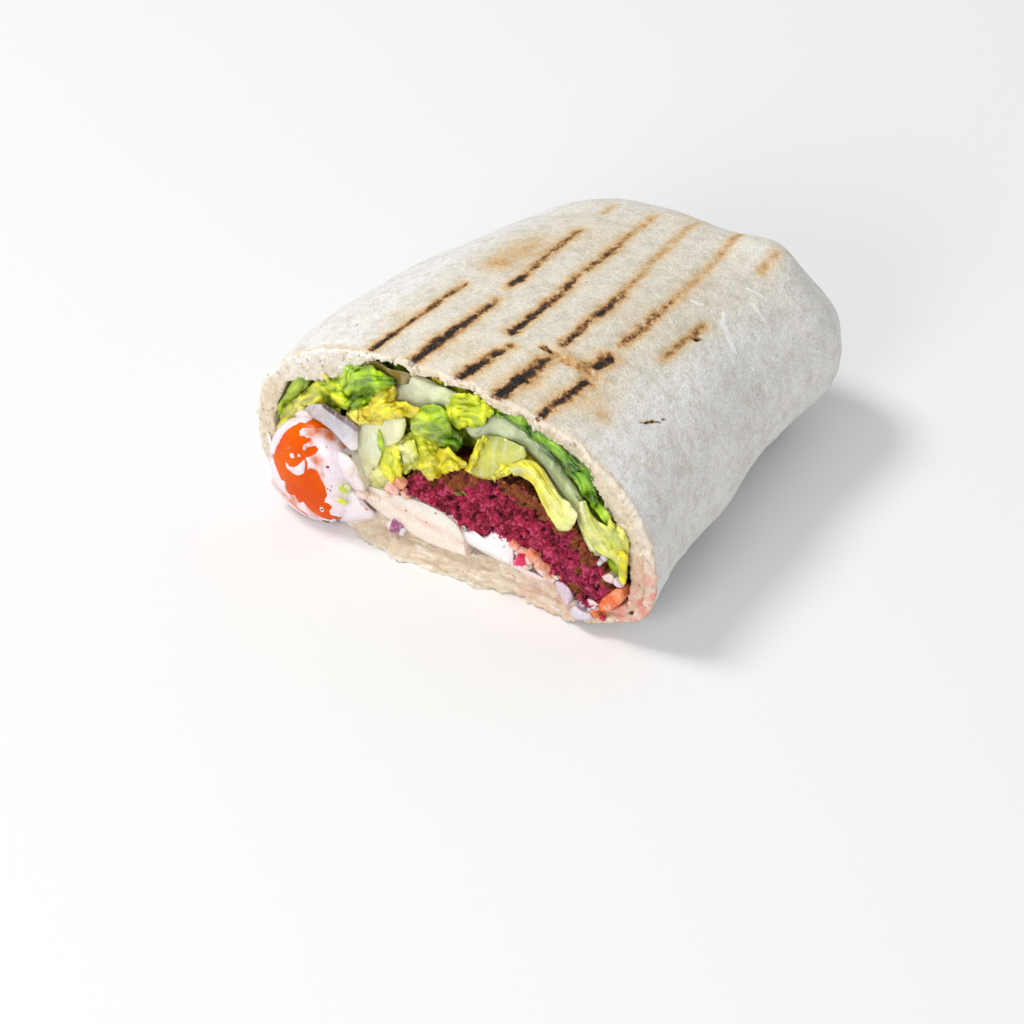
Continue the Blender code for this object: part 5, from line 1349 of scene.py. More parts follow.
    # plump green knob and its dark skirt
    leaf(g, ((-10.4, 30.8), (-10.4, 33.4), (-9.0, 36.0), (-6.8, 38.3), (-4.8, 39.2), (-2.4, 39.2), (-1.0, 37.2)),
         ((-9.6, 29.9), (-7.0, 30.2), (-4.0, 29.7), (-2.0, 30.2), (-0.8, 31.8), (-0.2, 33.6), (-0.8, 35.6)),
         -0.6, ((0, (150, 178, 34)), (0.5, (138, 172, 26)), (1, (120, 160, 26))), bulge=3.0, crinkle=(1.2, 4.0), fold=(0.6, 6), frill=0.25,
         vein=0.8, seed=17, size=(72, 56))
    leaf(g, ((-4.6, 31.4), (-2.2, 34.2), (0.4, 35.2), (2.4, 34.3)), ((-3.6, 29.6), (-1.4, 29.4), (0.8, 30.0), (2.2, 31.8)),
         -0.2, ((0, (118, 164, 30)), (1, (84, 134, 24))), bulge=1.0, crinkle=(1.5, 2.6), fold=(0.8, 3.5), frill=0.5, seed=18, size=(52, 36))
    leaf(y, ((-9.0, 22.6), (-6.8, 26.0), (-4.2, 28.0), (-2.2, 29.8), (0.0, 29.6), (3.4, 28.2)),
         ((-8.0, 21.4), (-6.0, 20.6), (-3.0, 22.2), (-0.8, 24.6), (1.2, 25.8), (3.0, 26.8)),
         -1.9, ((0, (214, 204, 62)), (0.5, (228, 214, 48)), (1, (216, 206, 66))), bulge=1.0, crinkle=(1.1, 2.6), fold=(1.1, 3.6), frill=0.7,
         seed=19, size=(72, 48))
    # upper middle
    leaf(y, ((-1.4, 38.2), (-1.5, 41.0), (0.6, 43.5), (3.2, 45.0), (5.8, 45.2), (8.4, 44.9), (10.5, 43.9)),
         ((-0.6, 36.4), (1.2, 36.0), (3.5, 37.2), (6.0, 38.0), (8.0, 39.4), (8.4, 41.2), (10.1, 42.6)),
         -0.1, ((0, (214, 224, 72)), (0.5, (204, 222, 52)), (1, (188, 212, 46))), bulge=1.5, crinkle=(1.3, 3.4), fold=(1.1, 5), frill=0.75,
         seed=20, size=(76, 52))
    # the long pale rib that runs down the right; its darker grey-green middle tones are painted shade
    leaf(r, ((6.0, 38.8), (8.3, 40.2), (10.2, 42.8), (12.6, 43.4), (16.1, 42.9), (19.2, 42.0), (21.8, 40.4), (24.3, 38.2), (27.4, 35.0), (30.6, 31.4),
             (32.2, 27.4), (33.9, 22.6), (36.0, 17.6)),
         ((3.0, 36.8), (4.8, 35.2), (8.0, 36.2), (11.5, 36.9), (15.0, 37.4), (18.5, 36.8), (21.5, 34.8), (24.2, 31.6), (27.0, 28.6), (29.3, 26.0),
          (31.0, 22.2), (33.0, 18.2), (35.0, 16.2)),
         1.5, ((0, (200, 208, 176)), (0.2, (186, 196, 164)), (0.36, (168, 180, 144)), (0.52, (148, 162, 122)), (0.66, (184, 196, 150)),
               (0.85, (212, 218, 164)), (1, (222, 222, 174))), bulge=1.2, crinkle=(0.3, 5), fold=(0.7, 8), frill=0.12, thick=1.4, plump=0.8,
         vein=0.0, wet=1.0, seed=21, size=(120, 40))
    leaf(g, ((10.5, 44.2), (14.8, 44.2), (17.4, 44.0), (19.9, 43.3), (23.0, 42.2), (25.6, 41.2), (28.0, 40.6), (30.6, 39.8), (32.7, 38.4), (34.0, 35.4),
             (35.2, 32.4), (37.2, 29.5), (37.6, 27.6)),
         ((11.0, 42.4), (14.8, 42.0), (17.3, 41.0), (20.5, 39.6), (23.7, 39.0), (26.0, 37.2), (27.3, 35.4), (29.5, 33.8), (31.2, 32.0), (33.1, 30.0),
          (34.6, 28.2), (35.4, 27.6), (36.6, 26.4)),
         1.0, ((0, (120, 170, 42)), (0.3, (100, 152, 34)), (0.6, (76, 130, 32)), (0.8, (108, 160, 38)), (1, (140, 182, 46))), bulge=1.2,
         crinkle=(1.7, 3.0), fold=(1.0, 5), frill=0.6, vein=1.0, seed=22, size=(120, 36))
    # flat pale piece with a yellow rim, over the falafel's crown
    leaf(r, ((3.2, 26.4), (4.8, 30.0), (6.3, 34.0), (7.8, 36.8), (12.0, 37.8), (17.4, 37.6)),
         ((4.6, 25.6), (7.5, 26.0), (10.8, 27.4), (13.6, 29.4), (16.2, 32.6), (17.9, 35.8)),
         -0.9, ((0, (168, 170, 56)), (0.4, (180, 184, 92)), (1, (190, 198, 128))), bulge=0.5, crinkle=(0.3, 4), fold=(0.8, 6), frill=0.25,
         thick=0.9, plump=0.5, vein=0.1, wet=0.9, seed=23)
    leaf(y, ((2.9, 26.2), (4.4, 30.2), (5.9, 34.2), (7.4, 36.8)), ((4.2, 26.0), (5.6, 29.6), (7.0, 33.4), (8.4, 36.2)),
         -1.7, ((0, (206, 200, 46)), (1, (212, 206, 54))), bulge=0.5, crinkle=(0.5, 2.0), fold=(0.5, 3), frill=0.4, size=(56, 16), seed=24)
    # yellow tongue lying down over the falafel, with a frill beside it
    leaf(y, ((13.4, 31.0), (15.9, 33.6), (18.5, 35.0), (20.8, 34.6), (22.6, 33.0), (24.2, 31.0), (25.9, 29.3), (28.2, 28.2), (29.9, 26.2)),
         ((14.5, 29.8), (17.1, 30.2), (19.4, 29.4), (20.6, 27.4), (21.8, 25.0), (23.4, 22.8), (25.2, 21.0), (27.4, 21.4), (29.2, 23.8)),
         -1.6, ((0, (212, 202, 66)), (0.45, (220, 211, 92)), (0.7, (230, 225, 142)), (1, (238, 235, 174))), bulge=0.8, crinkle=(0.7, 3.4),
         fold=(0.8, 6), frill=0.32, thick=0.4, rib=(0.45, 0.7, 0.3, (240, 234, 168)), seed=25, size=(92, 48))
    leaf(y, ((8.6, 27.6), (11.0, 30.8), (12.6, 31.9), (14.8, 32.4)), ((9.8, 26.4), (11.6, 28.2), (13.2, 29.6), (14.4, 30.6)),
         -1.2, ((0, (214, 216, 96)), (1, (218, 206, 54))), bulge=0.6, crinkle=(0.9, 1.8), fold=(0.8, 2.5), frill=0.7, seed=26, size=(48, 30))
    # long yellow-green leaf at the right
    leaf(y, ((30.2, 29.6), (30.2, 26.0), (31.0, 22.2), (32.8, 20.2), (35.0, 19.2), (37.0, 19.0), (38.8, 18.2), (40.0, 15.6)),
         ((31.9, 30.6), (32.8, 28.4), (34.5, 27.0), (36.8, 26.4), (39.0, 26.2), (41.6, 25.8), (41.9, 22.4), (41.3, 15.0)),
         0.0, ((0, (208, 216, 120)), (0.4, (216, 220, 140)), (0.7, (212, 212, 96)), (1, (220, 212, 52))), bulge=0.9, crinkle=(0.55, 3.4),
         fold=(0.6, 7), frill=0.22, thick=0.5, rib=(0.3, 0.9, 0.3, (226, 228, 176)), seed=27, size=(84, 48))
    leaf(y, ((37.4, 28.6), (39.2, 27.4), (41.2, 26.6)), ((36.8, 26.4), (38.6, 25.2), (40.8, 24.2)),
         -0.3, ((0, (214, 218, 90)), (1, (224, 226, 130))), bulge=0.9, crinkle=(0.9, 1.8), fold=(0.7, 2.5), frill=0.6, seed=28, size=(40, 30))
    leaf(y, ((39.4, 22.0), (40.6, 21.8), (41.8, 21.4)), ((39.6, 14.8), (40.4, 13.8), (41.2, 14.2)),
         -0.7, ((0, (226, 220, 50)), (1, (222, 210, 40))), bulge=0.9, crinkle=(0.4, 2.4), fold=(0.4, 3), frill=0.25, seed=29, size=(44, 24))
    # crumpled shreds deeper in the heap, seen through the gaps
    tones = (GREEN, BRIGHT, LIME, YELLOW, PALE_G, DARK, PALE_Y, LIME, BRIGHT, GREEN)
    spots = [(-42, 26, 4.5), (-38, 31, 5), (-33, 33, 5), (-29, 36, 6), (-23, 35, 4.5), (-18, 38, 6), (-12, 40, 6), (-20, 30, 4), (-24, 22, 5),
             (-15, 27, 4.5), (-10, 33, 5), (-6, 40, 6), (-1, 42, 5), (4, 41, 6), (9, 41, 6), (15, 41, 6), (21, 39, 5.5), (27, 35, 5), (31, 31, 5),
             (35, 27, 4), (38, 22, 3.6), (39, 17, 3.4), (34, 33, 6), (-21, 17, 4), (-26, 18, 6), (-34, 28, 5), (-5, 35, 6.5), (2, 38, 7)]
    for n, (cx, cz, depth) in enumerate(spots):
        a0 = RNG.uniform(0, 180)
        ln, wd = RNG.uniform(5.5, 8.0), RNG.uniform(3.2, 4.6)
        c, s = math.cos(math.radians(a0)), math.sin(math.radians(a0))
        us = np.linspace(-ln, ln, 5)
        bow = RNG.uniform(-1.5, 1.5)
        top = [(cx + u * c - (wd * (1 - (u / ln) ** 2) ** 0.6 + 0.3 + bow) * s, cz + u * s + (wd * (1 - (u / ln) ** 2) ** 0.6 + 0.3 + bow) * c) for u in us]
        low = [(cx + u * c + (wd * (1 - (u / ln) ** 2) ** 0.6 + 0.3 - bow) * s, cz + u * s - (wd * (1 - (u / ln) ** 2) ** 0.6 + 0.3 - bow) * c) for u in us]
        tone = tones[int(RNG.integers(len(tones)))]
        dim = tuple(v * 0.86 for v in tone)
        leaf(small, top, low, depth, ((0, dim), (0.5, tone), (1, dim)), bulge=1.3, crinkle=(1.3, 3.2), fold=(1.6, 5), frill=0.6,
             seed=40 + n, size=(26, 19))
    put(g.build("green_leaves", mat), "lettuce", "lettuce")
    put(y.build("yellow_leaves", mat), "lettuce", "lettuce")
    put(r.build("pale_ribs", mat), "lettuce", "lettuce")
    put(small.build("leaf_shreds", mat), "lettuce", "lettuce")


def build_lettuce_core(mat):
    """Packed leaf behind the loose pieces, filling the roll to its far end."""
    cols = 150
    u = np.linspace(0, 1, cols)

    def high(y):
        back = smooth((y + 8.0 - 15.0) / 9.0)
        a = (168.0 + 58.0 * back) + (6.0 - (168.0 + 58.0 * back)) * u
        xo, _ = outer_point(a, y + 8.0)
        two = step(a, -122.0, -112.0) * (1 - step(a, 44.0, 51.0))
        d = single_depth(a) * (1 - two) + double_depth(a, xo) * two + 1.1
        return inward(a, d, y + 8.0)

    def low(y):
        yy = y + 8.0
        back = smooth((yy - 13.0) / 9.0)
        # over the tomato and onion, or down on to the slab's level, then over the falafel
        t = np.clip((u - 0.36) / 0.62, 0, 1)
        ax, az, nx, nz = falafel_axis(t)
        h = falafel_half(t) + 1.3
        fx, fz = squeeze(ax + nx * h, az + nz * h, yy)
        a = np.radians(100.0 - 62.0 * np.clip(u / 0.30, 0, 1))
        ox, oz = squeeze(-39.0 + 26.2 * np.cos(a), 4.2 + 26.2 * np.sin(a), yy)
        lx, lz = -44.0 + 19.5 * np.clip(u / 0.30, 0, 1), 9.0 + 5.0 * np.clip(u / 0.3, 0, 1)
        lx, lz = squeeze(lx, lz, yy)
        ox, oz = ox + (lx - ox) * back, oz + (lz - oz) * back
        w = step(u, 0.26, 0.40)
        return ox + (fx - ox) * w, oz + (fz - oz) * w

    back_y = np.array([0.5, 1.1, 1.8, 2.6, 3.6, 4.8, 6.2, 8, 10, 13, 17, 22, 28, 35, 43, 51, 59, 66, 71])
    p, v, zone = strip_body(low, high, np.linspace(-0.96, 0.96, 46), back_y)
    p[..., 1] += 8.0
    n = grid_normals(p, wrap_cols=False)
    if n[len(back_y) + 20, cols // 2, 1] > 0:
        n = -n
    pil = np.abs(noise(p + 1.2 * noise(p, 3.0, 401)[..., None], 3.8, 402))
    h = 1.5 * np.clip(pil * 2.2, 0, 1) ** 0.75 + 1.3 * noise(p, 6.0, 403) + 0.3 * noise(p, 1.4, 404) - 1.0
    h = h * np.where(zone == 1, 1.0, 0.35)
    p = p + n * h[..., None]
    p = confine(p, 0.5)
    # painted shade: the packed leaf is given a dark green and darkened further in the low places of its crinkles, with
    # lighter crests as painted light
    mixv = np.clip(0.5 + 0.9 * noise(p, 5.0, 405), 0, 1)[..., None]
    col = srgb(96, 130, 24) * (1 - mixv) + srgb(172, 176, 50) * mixv
    col = col * (0.8 + 0.3 * np.clip(pil * 2, 0, 1))[..., None]
    verts, quads, tris = strip_mesh(p)
    heap = Heap()
    colv = np.vstack([col.reshape(-1, 3), col[0, 0], col[0, -1]])
    heap.add(verts, quads, tris, colour=colv, crease=0.0, pale=0.0)
    put(heap.build("packed_lettuce", mat), "lettuce", "lettuce")


# ------------------------------------------------------------ closed outlines
def outline_distance(x, z, poly):
    """Distance to a closed outline, negative inside it."""
    poly = np.asarray(poly, float)
    best = np.full(np.shape(x), 1e9)
    inside = np.zeros(np.shape(x), bool)
    for (x0, z0), (x1, z1) in zip(poly, np.roll(poly, -1, axis=0)):
        dx, dz = x1 - x0, z1 - z0
        t = np.clip(((x - x0) * dx + (z - z0) * dz) / (dx * dx + dz * dz + 1e-12), 0, 1)
        best = np.minimum(best, np.hypot(x - x0 - t * dx, z - z0 - t * dz))
        cross = (z0 > z) != (z1 > z)
        inside ^= cross & (x < (x1 - x0) * (z - z0) / (z1 - z0 + 1e-12) + x0)
    return np.where(inside, -best, best)


def cushion(heap, outline, y0=0.0, back=4.0, bulge=0.6, relief=(0.2, 3.0), round_edge=0.5, wander=0.15,
            tones=None, size=(120, 26), centre=None, seed=0, smooth_outline=True, taper=0.12, lean=(0.0, 0.0),
            follow=False, colour_fn=None, **attrs):
    """A rounded slab seen end on: a front inside a closed outline (given
    where it shows in the cut's plane) and sides that run back."""
    n_t, n_r = size
    o = curve(outline, n_t, closed=True) if smooth_outline else polygon_run(outline, n_t)
    c = np.mean(o, axis=0) if centre is None else np.asarray(centre, float)
    s = np.linspace(0, 1, n_r + 1)[1:] ** 0.8
    xz = c + (o - c)[None] * s[:, None, None]
    q = np.stack([xz[..., 0], np.full(xz.shape[:2], seed * 7.3), xz[..., 1]], axis=-1)
    edge = (1 - s)[:, None] * np.linalg.norm(o - c, axis=1)[None]
    y = (y0 - bulge * (1 - s[:, None] ** 3.0) + relief[0] * fbm(q, relief[1], 3, 0.5, 501 + seed)
         + round_edge * np.clip(1 - edge / (round_edge + 0.01), 0, 1) ** 2
         + lean[0] * (xz[..., 0] - c[0]) + lean[1] * (xz[..., 1] - c[1]))
    out = (o - c) / (np.linalg.norm(o - c, axis=1)[:, None] + 1e-9)
    xz = xz + out[None] * (wander * np.exp(-edge / 1.0) * noise(q, 1.6, 521 + seed))[..., None]
    x, yy, z = at_view(xz[..., 0], y, xz[..., 1])
    front = np.stack([x, yy, z], axis=-1)
    rows = [front]
    last = front[-1]
    mid = last.mean(0)
    depths = [0.25, 0.6, 1.2, 2.2]
    while depths[-1] < back:
        depths.append(min(back, depths[-1] * 1.7))
    for d in depths:
        k = 1.0 - taper * (d / back) ** 2 - (0.15 if d == back else 0.0)
        ring = mid + (last - mid) * k
        if follow:
            sx, sz = squeeze(ring[:, 0], ring[:, 2], d)
        else:
            sx, sz = ring[:, 0], ring[:, 2]
        w = 0.12 * noise(ring + d * 1.3, 2.0, 531 + seed) * min(1.0, d)
        rows.append(np.stack([sx + out[:, 0] * w, last[:, 1] + d, sz + out[:, 1] * w], axis=-1)[None])
    p = np.concatenate(rows, axis=0)
    n_rows = p.shape[0]
    verts = np.vstack([p.reshape(-1, 3), front[0].mean(0) * [1, 1, 1], p[-1].mean(0)])
    quads = grid_faces(n_rows, n_t, wrap_cols=True)
    t0 = np.arange(n_t)
    t1 = (t0 + 1) % n_t
    a, b = len(verts) - 2, len(verts) - 1
    tris = np.vstack([np.stack([np.full(n_t, a), t1, t0], axis=-1),
                      np.stack([np.full(n_t, b), (n_rows - 1) * n_t + t0, (n_rows - 1) * n_t + t1], axis=-1)])
    flat_p = verts
    if colour_fn is not None:
        col = colour_fn(*seen(flat_p), flat_p)
    else:
        base = np.array([srgb(*t) for t in (tones or ((240, 236, 232),))])
        m = np.clip(0.5 + 0.5 * noise(flat_p, 3.0, 541 + seed), 0, 1)[:, None]
        col = base[0] * (1 - m) + base[-1] * m
    heap.add(verts, quads, tris, colour=col, **attrs)
    return p


def polygon_run(points, n):
    pts = np.vstack([points, points[0]]).astype(float)
    run = np.concatenate([[0], np.cumsum(np.linalg.norm(np.diff(pts, axis=0), axis=1))])
    at = np.linspace(0, run[-1], n, endpoint=False)
    return np.stack([np.interp(at, run, pts[:, k]) for k in (0, 1)], axis=1)


def shown(x, y, z):
    """A place at depth y that shows at (x, z) in the cut's plane."""
    return np.array(at_view(x, y, z))


# ------------------------------------------------------------ cherry tomato under sauce
T_CENTRE = np.array([-35.1, -0.4, 11.8])
T_SIZE = np.array([10.9, 5.6, 11.9])
BARE = ((-37.2, 22.1), (-36.6, 22.8), (-35.3, 23.8), (-33.4, 24.6), (-32.1, 24.4), (-30.7, 23.9), (-29.6, 23.2), (-31.5, 23.0), (-33.1, 22.8),
        (-34.9, 22.1), (-36.3, 21.4), (-37.7, 21.1), (-38.4, 20.8), (-39.4, 19.5), (-39.3, 18.5), (-39.0, 18.1), (-38.1, 18.7),
        (-37.4, 18.3), (-36.5, 18.7), (-36.3, 18.4), (-37.2, 17.5), (-38.2, 16.7), (-38.7, 15.6), (-38.8, 14.9), (-38.1, 14.9),
        (-37.1, 16.0), (-36.1, 16.8), (-35.2, 17.2), (-34.7, 16.7), (-35.3, 15.6), (-36.7, 14.2), (-38.2, 13.4), (-38.9, 12.2),
        (-39.9, 10.9), (-41.0, 9.9), (-42.3, 9.6), (-43.0, 10.1), (-43.3, 10.7), (-43.6, 10.3), (-43.5, 9.5), (-43.1, 8.5),
        (-42.2, 8.2), (-41.5, 7.8), (-40.3, 7.8), (-39.1, 8.6), (-38.4, 9.3), (-37.6, 10.2), (-36.7, 11.1), (-35.5, 11.1),
        (-34.9, 10.4), (-34.4, 9.5), (-33.8, 8.8), (-33.3, 7.9), (-33.2, 7.1), (-33.0, 5.8), (-33.5, 4.7), (-33.8, 3.6), (-32.6, 3.9),
        (-31.8, 3.3), (-32.0, 2.7), (-32.6, 2.2), (-32.3, 1.3), (-31.2, 1.3), (-30.7, 1.1), (-32.4, 0.0), (-34.2, -0.2),
        (-35.6, -0.1), (-37.0, 0.1), (-37.9, 0.6), (-38.6, 1.3), (-39.3, 1.8), (-40.2, 1.3), (-40.7, 1.8), (-41.5, 2.8),
        (-42.3, 2.3), (-43.2, 2.6), (-43.7, 3.5), (-43.6, 5.1), (-44.7, 5.2), (-45.2, 6.1), (-45.6, 7.3), (-46.2, 8.5),
        (-46.3, 9.9), (-45.9, 11.6), (-45.3, 13.2), (-44.6, 14.9), (-43.6, 16.8), (-42.0, 18.8), (-40.4, 20.3), (-38.9, 21.6))
# drops of sauce on bare skin, thin places where the skin shows through
DROPS = ((-41.6, 12.4, 0.75), (-39.7, 13.2, 0.50), (-42.5, 13.8, 0.28), (-42.1, 14.3, 0.26), (-44.6, 12.0, 0.26), (-44.4, 12.7, 0.24),
         (-43.7, 7.7, 0.34), (-37.4, 7.6, 0.28), (-37.0, 7.9, 0.22), (-40.3, 6.9, 0.26), (-34.4, 1.7, 0.72), (-39.0, 5.6, 0.18),
         (-42.0, 9.0, 0.15))
THIN = ((-34.5, 21.6, 1.8, 0.55), (-36.6, 20.0, 1.5, 0.45), (-34.7, 13.8, 1.5, 0.55), (-25.1, 17.8, 1.7, 0.75), (-35.9, 9.9, 1.5, 0.95),
        (-41.6, 1.4, 1.7, 0.40), (-36.4, 18.2, 1.2, 0.40), (-27.6, 20.6, 1.5, 0.50), (-31.7, 22.0, 2.0, 0.60), (-37.2, 15.9, 0.9, 0.5),
        (-44.4, 0.9, 1.6, 0.6), (-26.6, 19.2, 1.2, 0.45), (-36.6, 0.9, 2.0, 0.35), (-46.3, 10.5, 0.7, 0.5), (-33.6, 11.0, 0.8, 0.35))


def tomato_points(n):
    d, quads = sphere(n)
    p = T_CENTRE + d * T_SIZE
    return p, d / T_SIZE / np.linalg.norm(d / T_SIZE, axis=1)[:, None], quads


def keep_in_bread(p):
    """Behind the cut the fruit is pressed into the roll's hollow."""
    q = p.copy()
    deep = step(p[:, 1], -0.6, 1.0)
    q[:, 2] = np.maximum(p[:, 2], 3.4 * deep)
    q[:, 0] = np.maximum(p[:, 0], -45.2 * deep - 99 * (1 - deep))
    q[:, 2] = np.maximum(q[:, 2], 0.15)
    return q


def build_tomato(skin, film):
    p, n, quads = tomato_points(44)
    p = p + n * (0.16 * noise(p, 5.0, 601) + 0.03 * noise(p, 1.2, 602))[:, None]
    heap = Heap()
    heap.add(keep_in_bread(p), quads, colour=srgb(232, 84, 4))
    put(heap.build("cherry_tomato", skin), "tomato", "cherry_tomato")

    p, n, quads = tomato_points(60)
    X, Z = seen(p)
    wob = 0.10 * noise(p, 1.1, 603) + 0.05 * noise(p, 0.5, 604)
    d = outline_distance(X, Z, BARE) + wob
    for cx, cz, r in DROPS:
        d = np.maximum(d, (r - np.hypot(X - cx, Z - cz)) + wob * 0.5)
    # thin bare thread between the notch of sauce and the rest
    thread, _, _ = polyline_distance(X, Z, ((-38.3, 13.2), (-37.9, 12.0), (-38.1, 10.4), (-38.3, 9.2)))
    d = np.minimum(d, thread - 0.24)
    low, _, _ = polyline_distance(X, Z, ((-30.7, 0.9), (-27.2, 2.7), (-25.3, 3.9), (-24.2, 5.2)))
    d = np.minimum(d, low - 0.20)
    low2, _, _ = polyline_distance(X, Z, ((-44.8, 1.3), (-43.2, 0.5), (-41.0, -0.6), (-38.2, -1.2)))
    d = np.minimum(d, low2 - 0.12)
    thin = np.zeros_like(d)
    for cx, cz, r, a in THIN:
        thin = np.maximum(thin, a * np.exp(-(((X - cx) ** 2 + (Z - cz) ** 2) / r ** 2)))
    thin = np.clip(thin * 1.1 + 0.07 + 0.14 * noise(p, 2.6, 605) + 0.06 * noise(p, 0.9, 608), 0, 1)
    cover = smooth((d + 0.12) / 0.55)
    h = -0.30 + 0.52 * cover + 0.12 * np.exp(-((d - 0.35) / 0.3) ** 2) - 0.10 * thin * cover \
        + cover * (0.16 * fbm(p, 3.2, 2, 0.5, 606) + 0.05 * noise(p, 0.9, 607))
    heap = Heap()
    heap.add(keep_in_bread(p + n * h[:, None]), quads, colour=srgb(243, 233, 240), thin=thin)
    # dollops that run off the fruit on to the slab and the rim
    cushion(heap, ((-31.8, 2.6), (-32.0, 4.6), (-30.9, 7.0), (-29.6, 9.0), (-27.7, 10.8), (-25.6, 11.2), (-24.2, 10.2), (-23.0, 8.8), (-21.6, 7.6),
                   (-20.2, 6.6), (-20.4, 5.2), (-22.0, 3.8), (-24.6, 2.3), (-27.6, 1.0), (-30.0, 0.6)),
            y0=-0.6, back=4.5, bulge=2.4, relief=(0.55, 4.0), round_edge=0.9, size=(150, 34), seed=3,
            tones=((246, 240, 244), (240, 230, 238)), thin=0.03)
    cushion(heap, ((-29.4, 18.6), (-26.6, 18.6), (-24.6, 17.0), (-23.4, 14.6), (-22.6, 12.0), (-23.4, 10.2), (-26.0, 10.0), (-28.8, 11.6), (-30.2, 14.8)),
            y0=-2.2, back=4.0, bulge=1.5, relief=(0.4, 2.6), round_edge=0.8, size=(110, 24), seed=4, tones=((244, 234, 240), (250, 244, 246)), thin=0.10)
    cushion(heap, ((-47.9, 15.9), (-47.0, 15.6), (-46.5, 13.6), (-46.9, 12.0), (-47.6, 13.0)), y0=-0.2, back=1.2, bulge=0.5,
            relief=(0.1, 1.0), size=(44, 10), seed=5, tones=((246, 244, 242), (246, 244, 242)), thin=0.0)
    cushion(heap, ((-47.4, 4.6), (-45.4, 5.0), (-44.6, 3.0), (-43.2, 1.2), (-40.8, -0.2), (-38.0, -1.0), (-37.6, -1.9), (-40.8, -1.6),
                   (-43.6, -0.4), (-46.0, 1.6), (-47.6, 3.4)),
            y0=-2.6, back=3.2, bulge=0.5, relief=(0.35, 2.0), round_edge=0.4, size=(150, 12), seed=6, centre=(-44.0, 1.7),
            tones=((243, 232, 232), (250, 244, 246)), thin=0.22)
    cushion(heap, ((-40.2, 23.4), (-38.2, 25.2), (-36.0, 25.4), (-35.0, 24.2), (-37.0, 23.4), (-38.8, 22.0)), y0=0.4, back=3.0, bulge=0.5,
            relief=(0.25, 1.6), size=(70, 12), seed=7, tones=((244, 234, 234), (246, 240, 242)), thin=0.12)
    put(heap.build("garlic_sauce_on_tomato", film), "garlic_sauce", "cherry_tomato")


def tomato_material():
    m = Nodes("cherry_tomato_skin")
    wide = m.noise(7.0, 2, 0.5)
    col = m.mix(m.remap(wide, 0.35, 0.65), srgb(224, 80, 0), srgb(232, 96, 0))
    col = m.mix(m.math('MULTIPLY', m.remap(m.noise(0.7, 2, 0.5, seed=2.0), 0.60, 0.70), 0.12), col, srgb(240, 104, 10))
    m.set(Base_Color=col)
    m.set(Roughness=m.remap(m.noise(2.5, 2, 0.5, seed=3.0), 0.3, 0.7, 0.16, 0.30))
    m.shader.inputs["Specular IOR Level"].default_value = 0.12
    m.shader.inputs["Subsurface Weight"].default_value = 0.06
    m.shader.inputs["Subsurface Radius"].default_value = (1.0, 0.28, 0.02)
    m.shader.inputs["Subsurface Scale"].default_value = 0.0012
    m.shader.inputs["Coat Weight"].default_value = 0.0
    m.shader.inputs["Coat Roughness"].default_value = 0.08
    m.set(Normal=m.bump(m.noise(1.1, 2, 0.5, seed=4.0), 0.05, 0.6))
    return m.mat


def sauce_material(name="garlic_sauce"):
    m = Nodes(name)
    tone, thin = m.attr("tone", colour=True), m.attr("thin")
    fine = m.noise(1.0, 3, 0.6)
    t = m.math('MULTIPLY', thin, m.remap(m.noise(1.7, 3, 0.6, seed=2.0), 0.30, 0.62, 0.55, 1.25))
    col = m.ramp(t, ((0.0, (1.0, 1.0, 1.0)), (0.16, (0.97, 0.88, 0.88)), (0.34, (0.90, 0.60, 0.52)), (0.56, (0.84, 0.34, 0.20)),
                     (0.80, (0.80, 0.20, 0.05))))
    col = m.mix(1.0, tone, col, 'MULTIPLY')
    col = m.scale(col, m.remap(fine, 0.3, 0.7, 0.97, 1.02))
    speck = m.math('MULTIPLY', m.remap(m.noise(0.8, 1, 0.4, seed=7.0), 0.80, 0.82), 0.7)
    col = m.mix(speck, col, srgb(150, 120, 80))
    m.set(Base_Color=col)
    m.set(Roughness=m.remap(m.noise(2.2, 2, 0.5, seed=3.0), 0.3, 0.7, 0.20, 0.34))
    m.shader.inputs["Specular IOR Level"].default_value = 0.5
    m.shader.inputs["Subsurface Weight"].default_value = 0.20
    m.shader.inputs["Subsurface Radius"].default_value = (1.0, 0.8, 0.7)
    m.shader.inputs["Subsurface Scale"].default_value = 0.0012
    m.shader.inputs["Coat Weight"].default_value = 0.25
    m.shader.inputs["Coat Roughness"].default_value = 0.12
    m.set(Normal=m.bump(fine, 0.06, 0.6))
    return m.mat


def moist_material(name, rough=(0.22, 0.42), sss=0.35, grain=0.35, coat=0.15):
    """Wet cut vegetable: its colour comes with the mesh."""
    m = Nodes(name)
    tone = m.attr("tone", colour=True)
    fine = m.noise(0.6, 3, 0.6)
    fibre = m.noise(0.8, 2, 0.5, stretch=(1.0, 0.25, 0.35), seed=3.0)
    col = m.scale(tone, m.remap(fine, 0.3, 0.7, 1 - 0.30 * grain, 1 + 0.22 * grain))
    col = m.mix(m.math('MULTIPLY', m.remap(fibre, 0.54, 0.68), 0.26), col, (0.90, 0.86, 0.80))
    col = m.mix(m.math('MULTIPLY', m.remap(fibre, 0.46, 0.32), 0.22 * grain), col, (0.42, 0.33, 0.36))
    m.set(Base_Color=col)
    m.set(Roughness=m.remap(m.noise(1.8, 2, 0.5, seed=5.0), 0.3, 0.7, *rough))
    m.shader.inputs["Specular IOR Level"].default_value = 0.5
    m.shader.inputs["Subsurface Weight"].default_value = sss
    m.shader.inputs["Subsurface Radius"].default_value = (1.0, 0.7, 0.6)
    m.shader.inputs["Subsurface Scale"].default_value = 0.0018
    m.shader.inputs["Coat Weight"].default_value = coat
    m.shader.inputs["Coat Roughness"].default_value = 0.12
    m.set(Normal=m.bump(m.math('ADD', fine, m.math('MULTIPLY', fibre, 0.6)), 0.10, 0.7))
    return m.mat


